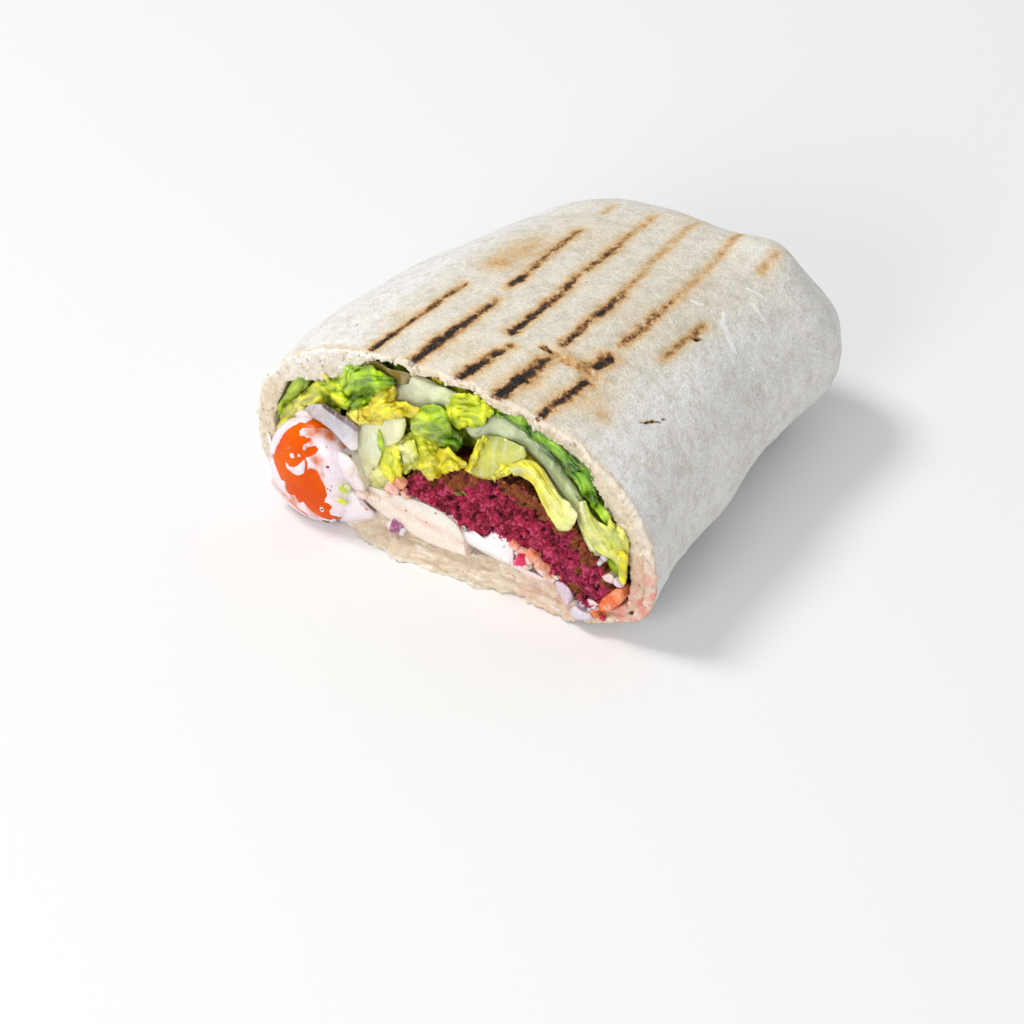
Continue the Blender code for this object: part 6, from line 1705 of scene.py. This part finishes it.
def crumb_material(name, rough=0.75):
    m = Nodes(name)
    tone = m.attr("tone", colour=True)
    fine = m.noise(0.35, 2, 0.6)
    m.set(Base_Color=m.scale(tone, m.remap(fine, 0.3, 0.7, 0.82, 1.12)))
    m.set(Roughness=m.remap(fine, 0.3, 0.7, rough - 0.1, rough + 0.1))
    m.shader.inputs["Specular IOR Level"].default_value = 0.35
    m.set(Normal=m.bump(fine, 0.08, 0.8))
    return m.mat


# ------------------------------------------------------------ onion, slab, sauce, cut vegetables
def build_onion(mat):
    heap = Heap()
    leaf(heap, ((-24.0, 26.0), (-26.1, 26.9), (-28.3, 27.2), (-30.5, 27.9), (-32.8, 28.3), (-34.4, 28.0), (-36.0, 27.1), (-37.5, 25.8)),
         ((-24.2, 20.8), (-25.9, 20.0), (-27.5, 20.8), (-28.9, 21.9), (-31.0, 23.1), (-33.2, 23.9), (-35.3, 24.4), (-37.0, 25.0)),
         -1.9, ((0, (214, 208, 210)), (0.4, (200, 192, 196)), (0.8, (186, 177, 179)), (1, (168, 156, 154))), bulge=0.5, crinkle=(0.05, 6),
         fold=(0.35, 9), frill=0.05, thick=1.1, plump=0.5, vein=0.0, wet=0.7, seed=91, size=(96, 36), inside=False)
    # its papery upper edge
    leaf(heap, ((-24.0, 26.5), (-26.1, 27.5), (-28.3, 27.8), (-30.5, 28.4), (-32.9, 28.8)),
         ((-23.9, 24.8), (-26.0, 25.9), (-28.3, 26.4), (-30.5, 27.2), (-32.8, 27.9)),
         -2.3, ((0, (138, 118, 128)), (0.5, (104, 80, 92)), (1, (84, 60, 66))), bulge=0.3, crinkle=(0.1, 2), fold=(0.2, 4), frill=0.12,
         thick=0.9, plump=0.3, vein=0.0, seed=92, size=(64, 16), inside=False)
    put(heap.build("onion_slice", mat), "red_onion", "onion_slice")
    # the two cut bits by the right-hand corner
    heap = Heap()
    cushion(heap, ((24.4, 7.6), (25.7, 8.6), (26.9, 8.2), (28.2, 7.5), (28.7, 5.6), (27.2, 2.9), (25.9, 4.2), (24.8, 5.6)), y0=-0.6, back=3.4,
            bulge=0.7, relief=(0.5, 2.2), tones=((228, 208, 220), (214, 190, 206)), seed=11, size=(84, 18))
    cushion(heap, ((28.5, 3.2), (29.3, 4.0), (30.9, 3.4), (33.0, 3.3), (33.3, 2.2), (30.8, 0.8), (28.4, 0.6), (27.7, 1.5)), y0=-1.9, back=3.6,
            bulge=0.8, relief=(0.5, 2.2), tones=((232, 222, 230), (210, 200, 214)), seed=12, size=(84, 18))
    for cx, cz, y, w, h, seed in ((39.6, 13.9, -0.2, 2.2, 1.3, 13), (36.4, 18.9, 0.4, 1.5, 1.6, 14), (35.3, 17.2, 0.2, 1.1, 1.2, 15),
                                  (25.0, 9.5, 0.0, 1.3, 0.6, 16), (33.0, 4.9, -0.6, 1.3, 1.0, 17), (31.2, 5.4, -0.4, 1.5, 0.8, 18)):
        v, f = lump(shown(cx, y, cz), (w, 1.8, h), (20, 30, 15), 2.8, 8, 0.2, 0, seed)
        heap.add(v, f, colour=srgb(224, 210, 222) if seed != 16 else srgb(246, 240, 240))
    put(heap.build("onion_bits", mat), "red_onion", "onion_piece_left", "onion_piece_right")


def slab_tone(X, Z, p):
    col = np.ones((len(p), 3)) * srgb(244, 236, 225)
    n1 = np.clip(0.5 + 0.6 * noise(p, 3.5, 611), 0, 1)[:, None]
    col = col * (1 - 0.35 * n1) + srgb(242, 232, 216) * 0.35 * n1
    low = 9.6 - 0.16 * (X + 10) + 0.5 * noise(p, 3.0, 612)
    streak = np.exp(-((Z - low) / 0.9) ** 2) * step(X, -21, -14)
    run = np.clip(streak * (0.65 + 0.5 * noise(p * [0.4, 1, 1], 1.2, 613)), 0, 1)[:, None]
    col = col * (1 - 0.55 * run) + srgb(238, 168, 150) * 0.55 * run
    lower = step(low - Z, 0.2, 1.6)[:, None]
    return col * (1 - 0.6 * lower) + srgb(250, 228, 212) * 0.6 * lower


def build_slab(mat):
    heap = Heap()
    cushion(heap, ((-25.0, 9.8), (-24.0, 11.6), (-22.4, 12.6), (-17.4, 13.2), (-13.6, 13.8), (-10.3, 14.2), (-6.9, 14.2), (-2.9, 13.7), (0.2, 12.2),
                   (1.5, 10.6), (2.2, 8.2), (2.7, 4.9), (1.2, 4.8), (-3.1, 4.4), (-7.2, 4.4), (-10.5, 4.8), (-13.9, 5.7), (-17.9, 6.6), (-22.0, 8.0)),
            y0=-0.7, back=73.0, bulge=0.45, relief=(0.35, 3.4), round_edge=0.45, wander=0.18, size=(220, 36), centre=(-10.5, 9.7),
            seed=21, smooth_outline=False, taper=0.04, follow=True, colour_fn=slab_tone, lean=(0.0, 0.06))
    put(heap.build("pale_slab", mat), "pale_vegetable", "pale_slab")


def build_pool(mat):
    heap = Heap()
    cushion(heap, ((1.6, 10.7), (2.8, 11.6), (4.3, 12.4), (6.4, 11.9), (7.6, 12.4), (9.3, 14.2), (11.7, 15.0), (13.3, 14.8), (14.5, 13.8), (14.7, 11.1),
                   (14.6, 8.7), (13.2, 7.3), (9.9, 7.3), (7.0, 7.6), (4.2, 8.0), (2.4, 8.9)),
            y0=-0.2, back=72.0, bulge=1.3, relief=(0.28, 3.6), round_edge=0.8, size=(160, 34), centre=(8.5, 10.2), seed=31, taper=0.05,
            follow=True, tones=((255, 253, 253), (250, 244, 247)), thin=0.0)
    for pts, y, seed, thin in ((((12.6, 8.8), (15.2, 9.0), (17.6, 7.9), (20.6, 7.8), (22.2, 6.9), (19.4, 6.4), (15.6, 6.6), (13.2, 7.3)), -0.4, 32, 0.14),
                               (((19.0, 9.4), (21.8, 9.8), (24.6, 8.8), (23.8, 7.2), (21.0, 7.4)), -0.1, 33, 0.10),
                               (((-12.6, 14.2), (-8.0, 15.2), (-2.6, 14.8), (2.4, 13.2), (2.6, 10.8), (0.6, 11.4), (-2.0, 12.6), (-5.0, 13.2), (-10.0, 13.4)), 0.5, 34, 0.05),
                               (((31.8, 6.6), (33.2, 7.4), (35.2, 6.4), (34.6, 4.6), (32.4, 4.4)), -0.5, 35, 0.12),
                               (((35.0, 14.2), (37.4, 15.4), (38.8, 14.8), (38.0, 12.8), (36.0, 12.6)), 0.1, 36, 0.16),
                               (((-17.9, 4.4), (-16.4, 6.6), (-14.2, 7.2), (-12.2, 6.4), (-13.0, 4.4), (-15.6, 3.2)), -0.7, 37, 0.05)):
        cushion(heap, pts, y0=y, back=2.6, bulge=0.55, relief=(0.4, 1.8), size=(80, 16), seed=seed, tones=((250, 240, 240), (246, 232, 232)), thin=thin)
    put(heap.build("garlic_sauce_pool", mat), "garlic_sauce", "sauce_pool")


def build_dice(mat, tomato_like):
    heap = Heap()
    # the row of small cut bits under the croquette, packed to the far end
    cushion(heap, ((13.6, 9.4), (15.6, 12.6), (18.6, 13.0), (21.6, 11.8), (25.4, 9.6), (24.8, 7.4), (21.0, 7.2), (17.0, 7.0), (14.4, 7.4)),
            y0=1.8, back=68.0, bulge=0.5, relief=(0.9, 2.2), size=(120, 22), seed=41, taper=0.05, follow=True,
            tones=((238, 176, 150), (246, 226, 214)))
    bits = ((14.9, 13.2, -0.1, (2.6, 2.2, 2.2), (20, 35, 10), (240, 132, 92)), (16.9, 12.6, 0.1, (2.0, 2.0, 1.8), (40, 10, 30), (244, 176, 150)),
            (19.4, 12.3, -0.6, (3.3, 2.4, 2.4), (15, 30, 24), (238, 128, 84)), (20.9, 10.6, -0.7, (2.6, 2.2, 2.4), (60, 20, 40), (234, 138, 72)),
            (18.2, 10.7, -0.5, (2.0, 1.8, 1.8), (30, 60, 10), (246, 206, 188)), (17.4, 8.8, -0.4, (2.2, 1.8, 1.6), (10, 20, 60), (246, 214, 200)),
            (22.8, 10.8, 0.0, (1.8, 1.6, 1.7), (10, 50, 20), (228, 120, 60)), (22.6, 8.6, -0.3, (2.0, 1.8, 1.6), (35, 15, 50), (244, 190, 160)),
            (15.7, 11.4, -0.3, (1.7, 1.6, 1.5), (50, 25, 15), (244, 214, 208)), (24.3, 9.2, 0.0, (1.6, 1.4, 1.4), (15, 45, 25), (220, 118, 70)),
            (-13.4, 17.0, -0.9, (2.6, 2.0, 2.4), (20, 30, 10), (240, 140, 100)), (-15.6, 14.6, -1.0, (3.1, 2.2, 2.9), (40, 30, 20), (244, 188, 172)),
            (-12.2, 14.6, -0.5, (2.3, 1.8, 1.8), (25, 50, 10), (242, 176, 150)), (-16.9, 12.6, -1.0, (1.8, 1.6, 1.4), (25, 10, 40), (246, 214, 200)),
            (-23.6, 10.0, -2.3, (2.5, 1.6, 1.6), (20, 20, 20), (248, 214, 206)), (-26.2, 14.6, -3.5, (1.5, 1.2, 2.6), (5, 10, 15), (250, 226, 218)),
            (-20.4, 10.6, -1.2, (2.6, 1.6, 1.2), (10, 5, 15), (246, 222, 206)),
            (-3.4, 13.8, 0.6, (2.6, 1.6, 1.5), (20, 20, 24), (222, 120, 84)), (-0.4, 12.9, 0.5, (2.2, 1.4, 1.3), (20, 40, 30), (236, 170, 144)),
            (1.8, 12.2, 0.6, (1.4, 1.2, 1.0), (20, 40, 10), (214, 130, 100)))
    for n, (cx, cz, y, size, turn, tone) in enumerate(bits):
        v, f = lump(shown(cx, y, cz), size, turn, 4.2, 11, 0.10, 0.05, 700 + n)
        m = np.clip(0.5 + 0.8 * noise(v, 1.3, 701 + n), 0, 1)[:, None]
        heap.add(v, f, colour=srgb(*tone) * (1 - 0.4 * m) + srgb(252, 222, 204) * 0.4 * m)
    v, f = lump(shown(16.2, -0.9, 9.9), (2.3, 2.0, 2.3), (8, 12, 32), 6.0, 12, 0.06, 0.03, 731)
    heap.add(v, f, colour=srgb(226, 30, 96))
    v, f = lump(shown(14.9, -0.6, 8.4), (1.5, 1.3, 1.2), (30, 12, 32), 3.0, 8, 0.1, 0.03, 732)
    heap.add(v, f, colour=srgb(240, 130, 160))
    put(heap.build("cut_vegetables", mat), "chopped_vegetables", "chopped_vegetables")

    # a wedge of tomato flesh, lighter on its cut top
    heap = Heap()

    def wedge_tone(X, Z, p):
        up = step(Z + 0.55 * (X - 38), 9.0, 10.4)[:, None]
        c = srgb(238, 104, 4) * (1 - up) + srgb(240, 136, 84) * up
        w = np.clip(noise(p, 1.0, 711) * 1.2 - 0.1, 0, 1)[:, None]
        return c * (1 - 0.5 * w) + srgb(250, 190, 150) * 0.5 * w

    cushion(heap, ((40.7, 12.6), (40.9, 10.4), (39.0, 7.7), (36.6, 5.1), (34.6, 5.3), (35.3, 7.8), (37.5, 10.6), (39.3, 12.3)), y0=-0.9, back=3.6,
            bulge=0.9, relief=(0.45, 1.8), round_edge=0.3, size=(110, 22), seed=51, colour_fn=wedge_tone)
    for cx, cz, y, size, tone, seed in ((33.9, 3.9, -0.9, (2.2, 1.6, 1.2), (232, 130, 70), 61), (35.7, 3.6, -0.9, (1.4, 1.2, 0.9), (178, 44, 62), 62),
                                        (26.0, 9.6, 0.1, (1.4, 1.2, 1.0), (226, 140, 90), 63)):
        v, f = lump(shown(cx, y, cz), size, (20, 20, 20), 3.0, 9, 0.12, 0.05, seed)
        heap.add(v, f, colour=srgb(*tone))
    put(heap.build("tomato_wedge", tomato_like), "tomato", "tomato_piece")

    # one dark red-onion cube on the lower layer
    heap = Heap()
    v, f = lump(shown(-15.0, -1.4, 5.2), (2.6, 1.8, 2.4), (5, 18, 30), 7.0, 12, 0.05, 0.02, 741)
    n = np.clip(0.5 + noise(v, 0.9, 742), 0, 1)[:, None]
    heap.add(v, f, colour=srgb(150, 72, 120) * (1 - n) + srgb(186, 124, 164) * n)
    v, f = lump(shown(-13.6, -1.3, 4.7), (1.0, 1.2, 1.9), (5, 18, 30), 5.0, 8, 0.05, 0.02, 743)
    heap.add(v, f, colour=srgb(240, 230, 238))
    put(heap.build("onion_cube", mat), "red_onion")


def on_tomato(x, z):
    """The front of the fruit where it shows at (x, z)."""
    eye = np.array([VIEW_X, -VIEW_Y, VIEW_Z])
    d = (np.array([x, 0.0, z]) - eye) / T_SIZE
    o = (eye - T_CENTRE) / T_SIZE
    a, b, c = d @ d, 2 * (o @ d), o @ o - 1.06
    t = (-b - math.sqrt(max(0.0, b * b - 4 * a * c))) / (2 * a)
    return eye + t * d * T_SIZE


def chip(heap, at, size, turn, tone, seed):
    v, f = lump(at, np.array(size) * 0.68, turn, 2.6, 6, 0.25, 0.1, seed)
    heap.add(v, f, colour=srgb(*tone))


def build_flecks(mat):
    """Herb, pepper and paprika specks, and the shreds stuck in the sauce."""
    heap = Heap()
    for n, (x, z, y, size, tone) in enumerate((
            (-26.2, 18.4, -3.6, (0.9, 0.5, 0.9), (110, 70, 20)), (-32.3, 13.2, -6.2, (1.0, 0.5, 0.9), (196, 40, 56)),
            (-32.3, 18.2, -5.0, (0.5, 0.4, 0.6), (170, 130, 130)), (-32.6, 7.7, -5.7, (0.5, 0.4, 0.5), (110, 90, 84)),
            (-31.9, 7.5, -5.5, (0.5, 0.4, 0.5), (100, 80, 70)), (-31.5, 8.7, -5.5, (0.4, 0.4, 0.4), (130, 100, 90)),
            (-30.7, 1.4, -3.4, (1.0, 0.5, 0.5), (60, 48, 20)), (-33.6, -0.9, -3.0, (2.3, 0.6, 0.7), (116, 96, 40)),
            (-34.4, 1.7, -4.6, (0.7, 0.5, 0.6), (70, 54, 24)), (-41.2, 9.2, -4.9, (1.0, 0.3, 0.5), (222, 190, 130)),
            (-38.1, 12.6, -5.8, (0.6, 0.3, 0.5), (200, 160, 120)), (-20.4, 17.3, -0.6, (0.7, 0.4, 0.6), (160, 150, 60)),
            (-22.7, 6.5, -3.4, (0.8, 0.5, 0.7), (230, 130, 80)), (-46.2, 14.4, -0.5, (0.5, 0.4, 0.6), (170, 120, 50)),
            (0.9, 19.8, -1.3, (2.4, 0.8, 1.1), (120, 128, 40)), (2.4, 20.6, -1.4, (1.5, 0.6, 0.7), (150, 150, 60)),
            (9.6, 12.4, -1.4, (0.4, 0.4, 0.3), (170, 160, 150)), (11.4, 12.6, -1.5, (0.4, 0.4, 0.3), (176, 166, 156)),
            (11.9, 11.2, -1.5, (0.4, 0.4, 0.3), (150, 136, 120)), (-5.0, 12.6, -1.0, (0.5, 0.4, 0.4), (150, 110, 40)),
            (-7.4, 9.4, -1.2, (0.6, 0.4, 0.4), (226, 120, 60)), (-12.5, 10.2, -1.2, (0.7, 0.4, 0.4), (232, 140, 80)),
            (42.6, 7.7, -0.6, (1.4, 0.6, 1.3), (92, 60, 20)), (-16.6, 14.9, -2.0, (0.8, 0.5, 0.7), (150, 160, 40)))):
        chip(heap, on_tomato(x, z) if x < -28.5 and z < 20 and n < 11 else shown(x, y, z), size, (15 * n % 40, 23 * n % 50, 37 * n % 60), tone, 800 + n)
    put(heap.build("herb_and_spice_flecks", mat), "chopped_vegetables", "chopped_vegetables")
    heap = Heap()
    for n, (x, z, y, size, turn, tone) in enumerate((
            (-28.5, 9.1, -4.6, (2.2, 0.9, 1.4), (10, 25, 20), (196, 212, 90)), (-28.9, 5.9, -4.7, (2.3, 0.9, 1.0), (10, 8, 6), (214, 222, 50)),
            (-27.4, 9.9, -4.3, (1.6, 0.8, 1.0), (20, 40, 10), (216, 224, 150)), (-31.6, 35.6, -0.6, (1.6, 0.8, 0.9), (10, 30, 0), (222, 214, 90)),
            (38.6, 20.6, -1.4, (2.2, 1.6, 1.5), (10, 20, 20), (226, 226, 104)), (40.2, 19.9, -1.2, (1.8, 1.5, 1.4), (30, 20, 50), (230, 230, 120)),
            (37.4, 21.8, -1.2, (1.4, 1.2, 1.2), (10, 60, 20), (214, 220, 90)))):
        v, f = lump(shown(x, y, z), size, turn, 3.2, 9, 0.25, 0.06, 830 + n)
        heap.add(v, f, colour=srgb(*tone), crease=0.0, pale=0.3)
    return heap


def scatter_crumbs(mat, spots, name, slot, tones, sizes, seed, node, cell=4):
    rng = np.random.default_rng(seed)
    heap = Heap()
    for n, at in enumerate(spots):
        s = rng.uniform(*sizes)
        v, f = lump(at, (s * rng.uniform(0.8, 1.9), s * rng.uniform(0.5, 1.0), s * rng.uniform(0.4, 1.0)),
                    tuple(rng.uniform(0, 90, 3)), 2.2, cell, 0.5, 0.0, int(rng.integers(1, 9000)))
        t = srgb(*tones[int(rng.integers(len(tones)))])
        heap.add(v, f, colour=t * rng.uniform(0.8, 1.15))
    put(heap.build(name, mat), slot, node)


# ------------------------------------------------------------ floor, light, camera
def stage_floor():
    m = Nodes("studio_floor")
    m.set(Base_Color=m.mix(m.noise(240.0, 2, 0.5), srgb(246, 246, 247), srgb(243, 243, 244)))
    m.shader.inputs["Roughness"].default_value = 0.85
    me = bpy.data.meshes.new("floor")
    s = 4.0
    me.from_pydata([(-s, -s, 0), (s, -s, 0), (s, s, 0), (-s, s, 0)], [], [(0, 1, 2, 3)])
    me.materials.append(m.mat)
    floor = bpy.data.objects.new("floor", me)
    bpy.context.scene.collection.objects.link(floor)


def lamp(name, azimuth, elevation, distance, size, power, colour=(1, 1, 1)):
    data = bpy.data.lights.new(name, 'AREA')
    data.shape = 'DISK'
    data.size = size
    data.energy = power
    data.color = colour
    obj = bpy.data.objects.new(name, data)
    a, e = math.radians(azimuth), math.radians(elevation)
    at = Vector((math.sin(a) * math.cos(e), -math.cos(a) * math.cos(e), math.sin(e))) * distance
    obj.location = at + Vector((0, 0, 0.02))
    obj.rotation_euler = at.to_track_quat('Z', 'Y').to_euler()
    bpy.context.scene.collection.objects.link(obj)


def stage_light():
    world = bpy.data.worlds.new("studio")
    world.use_nodes = True
    world.node_tree.nodes["Background"].inputs["Color"].default_value = (0.98, 0.99, 1.0, 1)
    world.node_tree.nodes["Background"].inputs["Strength"].default_value = 0.52
    bpy.context.scene.world = world
    lamp("key", -70, 60, 1.3, 0.45, 7.8, (1.0, 0.99, 0.97))
    lamp("front", 10, 24, 1.2, 0.5, 4.6)
    scene = bpy.context.scene
    scene.view_settings.view_transform = 'Standard'
    scene.view_settings.look = 'None'
    scene.view_settings.exposure = 0.0
    scene.view_settings.gamma = 1.0


def stage_camera():
    """Looks down at the cut from its right-hand corner."""
    a, e, roll = math.radians(34.557), math.radians(33.768), math.radians(0.2686)
    back = Vector((math.sin(a) * math.cos(e), -math.cos(a) * math.cos(e), math.sin(e)))
    right = Vector((math.cos(a), math.sin(a), 0.0))
    up = back.cross(right)
    target = Vector(((SHIFT[0]) * MM, (50.0 + SHIFT[1]) * MM, 0.022))
    place = target + back * 0.850
    r2 = right * math.cos(roll) - up * math.sin(roll)
    u2 = right * math.sin(roll) + up * math.cos(roll)
    # the wrap sits right of and above the middle of the frame
    aim = (-back - r2 * (84.098 / 4093.894) + u2 * (-144.255 / 4093.894)).normalized()
    r3 = (r2 - aim * r2.dot(aim)).normalized()
    u3 = r3.cross(aim)
    data = bpy.data.cameras.new("camera")
    data.sensor_width = 36.0
    data.lens = 143.93
    data.clip_start = 0.05
    data.clip_end = 20.0
    cam = bpy.data.objects.new("camera", data)
    cam.matrix_world = Matrix((
        (r3.x, u3.x, -aim.x, place.x), (r3.y, u3.y, -aim.y, place.y), (r3.z, u3.z, -aim.z, place.z), (0, 0, 0, 1)))
    bpy.context.scene.collection.objects.link(cam)
    bpy.context.scene.camera = cam


# ------------------------------------------------------------ everything together
stage_floor()
stage_light()
stage_camera()
put(build_bread(bread_material()), "flatbread", "flatbread")
FALAFEL, FACE, EDGE, FACE_CRUST = build_falafel(falafel_material())
put(FALAFEL, "beetroot_falafel", "falafel")
LEAF = leaf_material()
build_lettuce(LEAF)
build_lettuce_core(LEAF)
SAUCE = sauce_material()
build_tomato(tomato_material(), SAUCE)
build_onion(moist_material("red_onion_flesh", sss=0.45))
build_slab(moist_material("pale_slab_flesh", rough=(0.30, 0.5), sss=0.30, grain=0.3))
build_pool(SAUCE)
build_dice(moist_material("cut_vegetable_flesh"), moist_material("tomato_flesh", rough=(0.14, 0.3), coat=0.15))
SHREDS = build_flecks(crumb_material("herb_flecks", 0.6))
put(SHREDS.build("small_shreds", LEAF), "lettuce", "lettuce")

crumb_rng = np.random.default_rng(9)
face_spots = [FACE[crumb_rng.integers(10, 80), crumb_rng.integers(8, 322)] + crumb_rng.normal(0, 0.12, 3) for _ in range(210)]
edge_spots = [EDGE[crumb_rng.integers(0, 6), crumb_rng.integers(10, 320)] + crumb_rng.normal(0, 0.12, 3) for _ in range(110)]
CRUMB = crumb_material("loose_crumbs", 0.6)
scatter_crumbs(CRUMB, face_spots, "falafel_crumbs", "beetroot_falafel",
               ((160, 20, 58), (178, 34, 76), (124, 12, 40), (200, 72, 112), (146, 24, 50), (186, 48, 90), (104, 16, 30)), (0.30, 0.85), 21, "falafel", cell=3)
scatter_crumbs(CRUMB, edge_spots, "falafel_crust_crumbs", "beetroot_falafel",
               ((122, 62, 32), (150, 84, 46), (96, 44, 24), (178, 112, 66)), (0.45, 1.1), 22, "falafel", cell=3)
rim_p, rim_a, rim_q = RIM_POINTS
rim_spots = [rim_p[crumb_rng.integers(0, len(rim_p)), crumb_rng.integers(0, rim_p.shape[1])] + crumb_rng.normal(0, 0.10, 3) for _ in range(200)]
rim_spots = [s for s in rim_spots if s[2] > 0.6]
scatter_crumbs(CRUMB, rim_spots, "bread_crumbs", "flatbread", ((236, 224, 202), (226, 210, 182), (240, 230, 212)), (0.30, 0.95), 23, "flatbread", cell=3)
print("triangles", PIECE_TRIS, sum(PIECE_TRIS.values()))
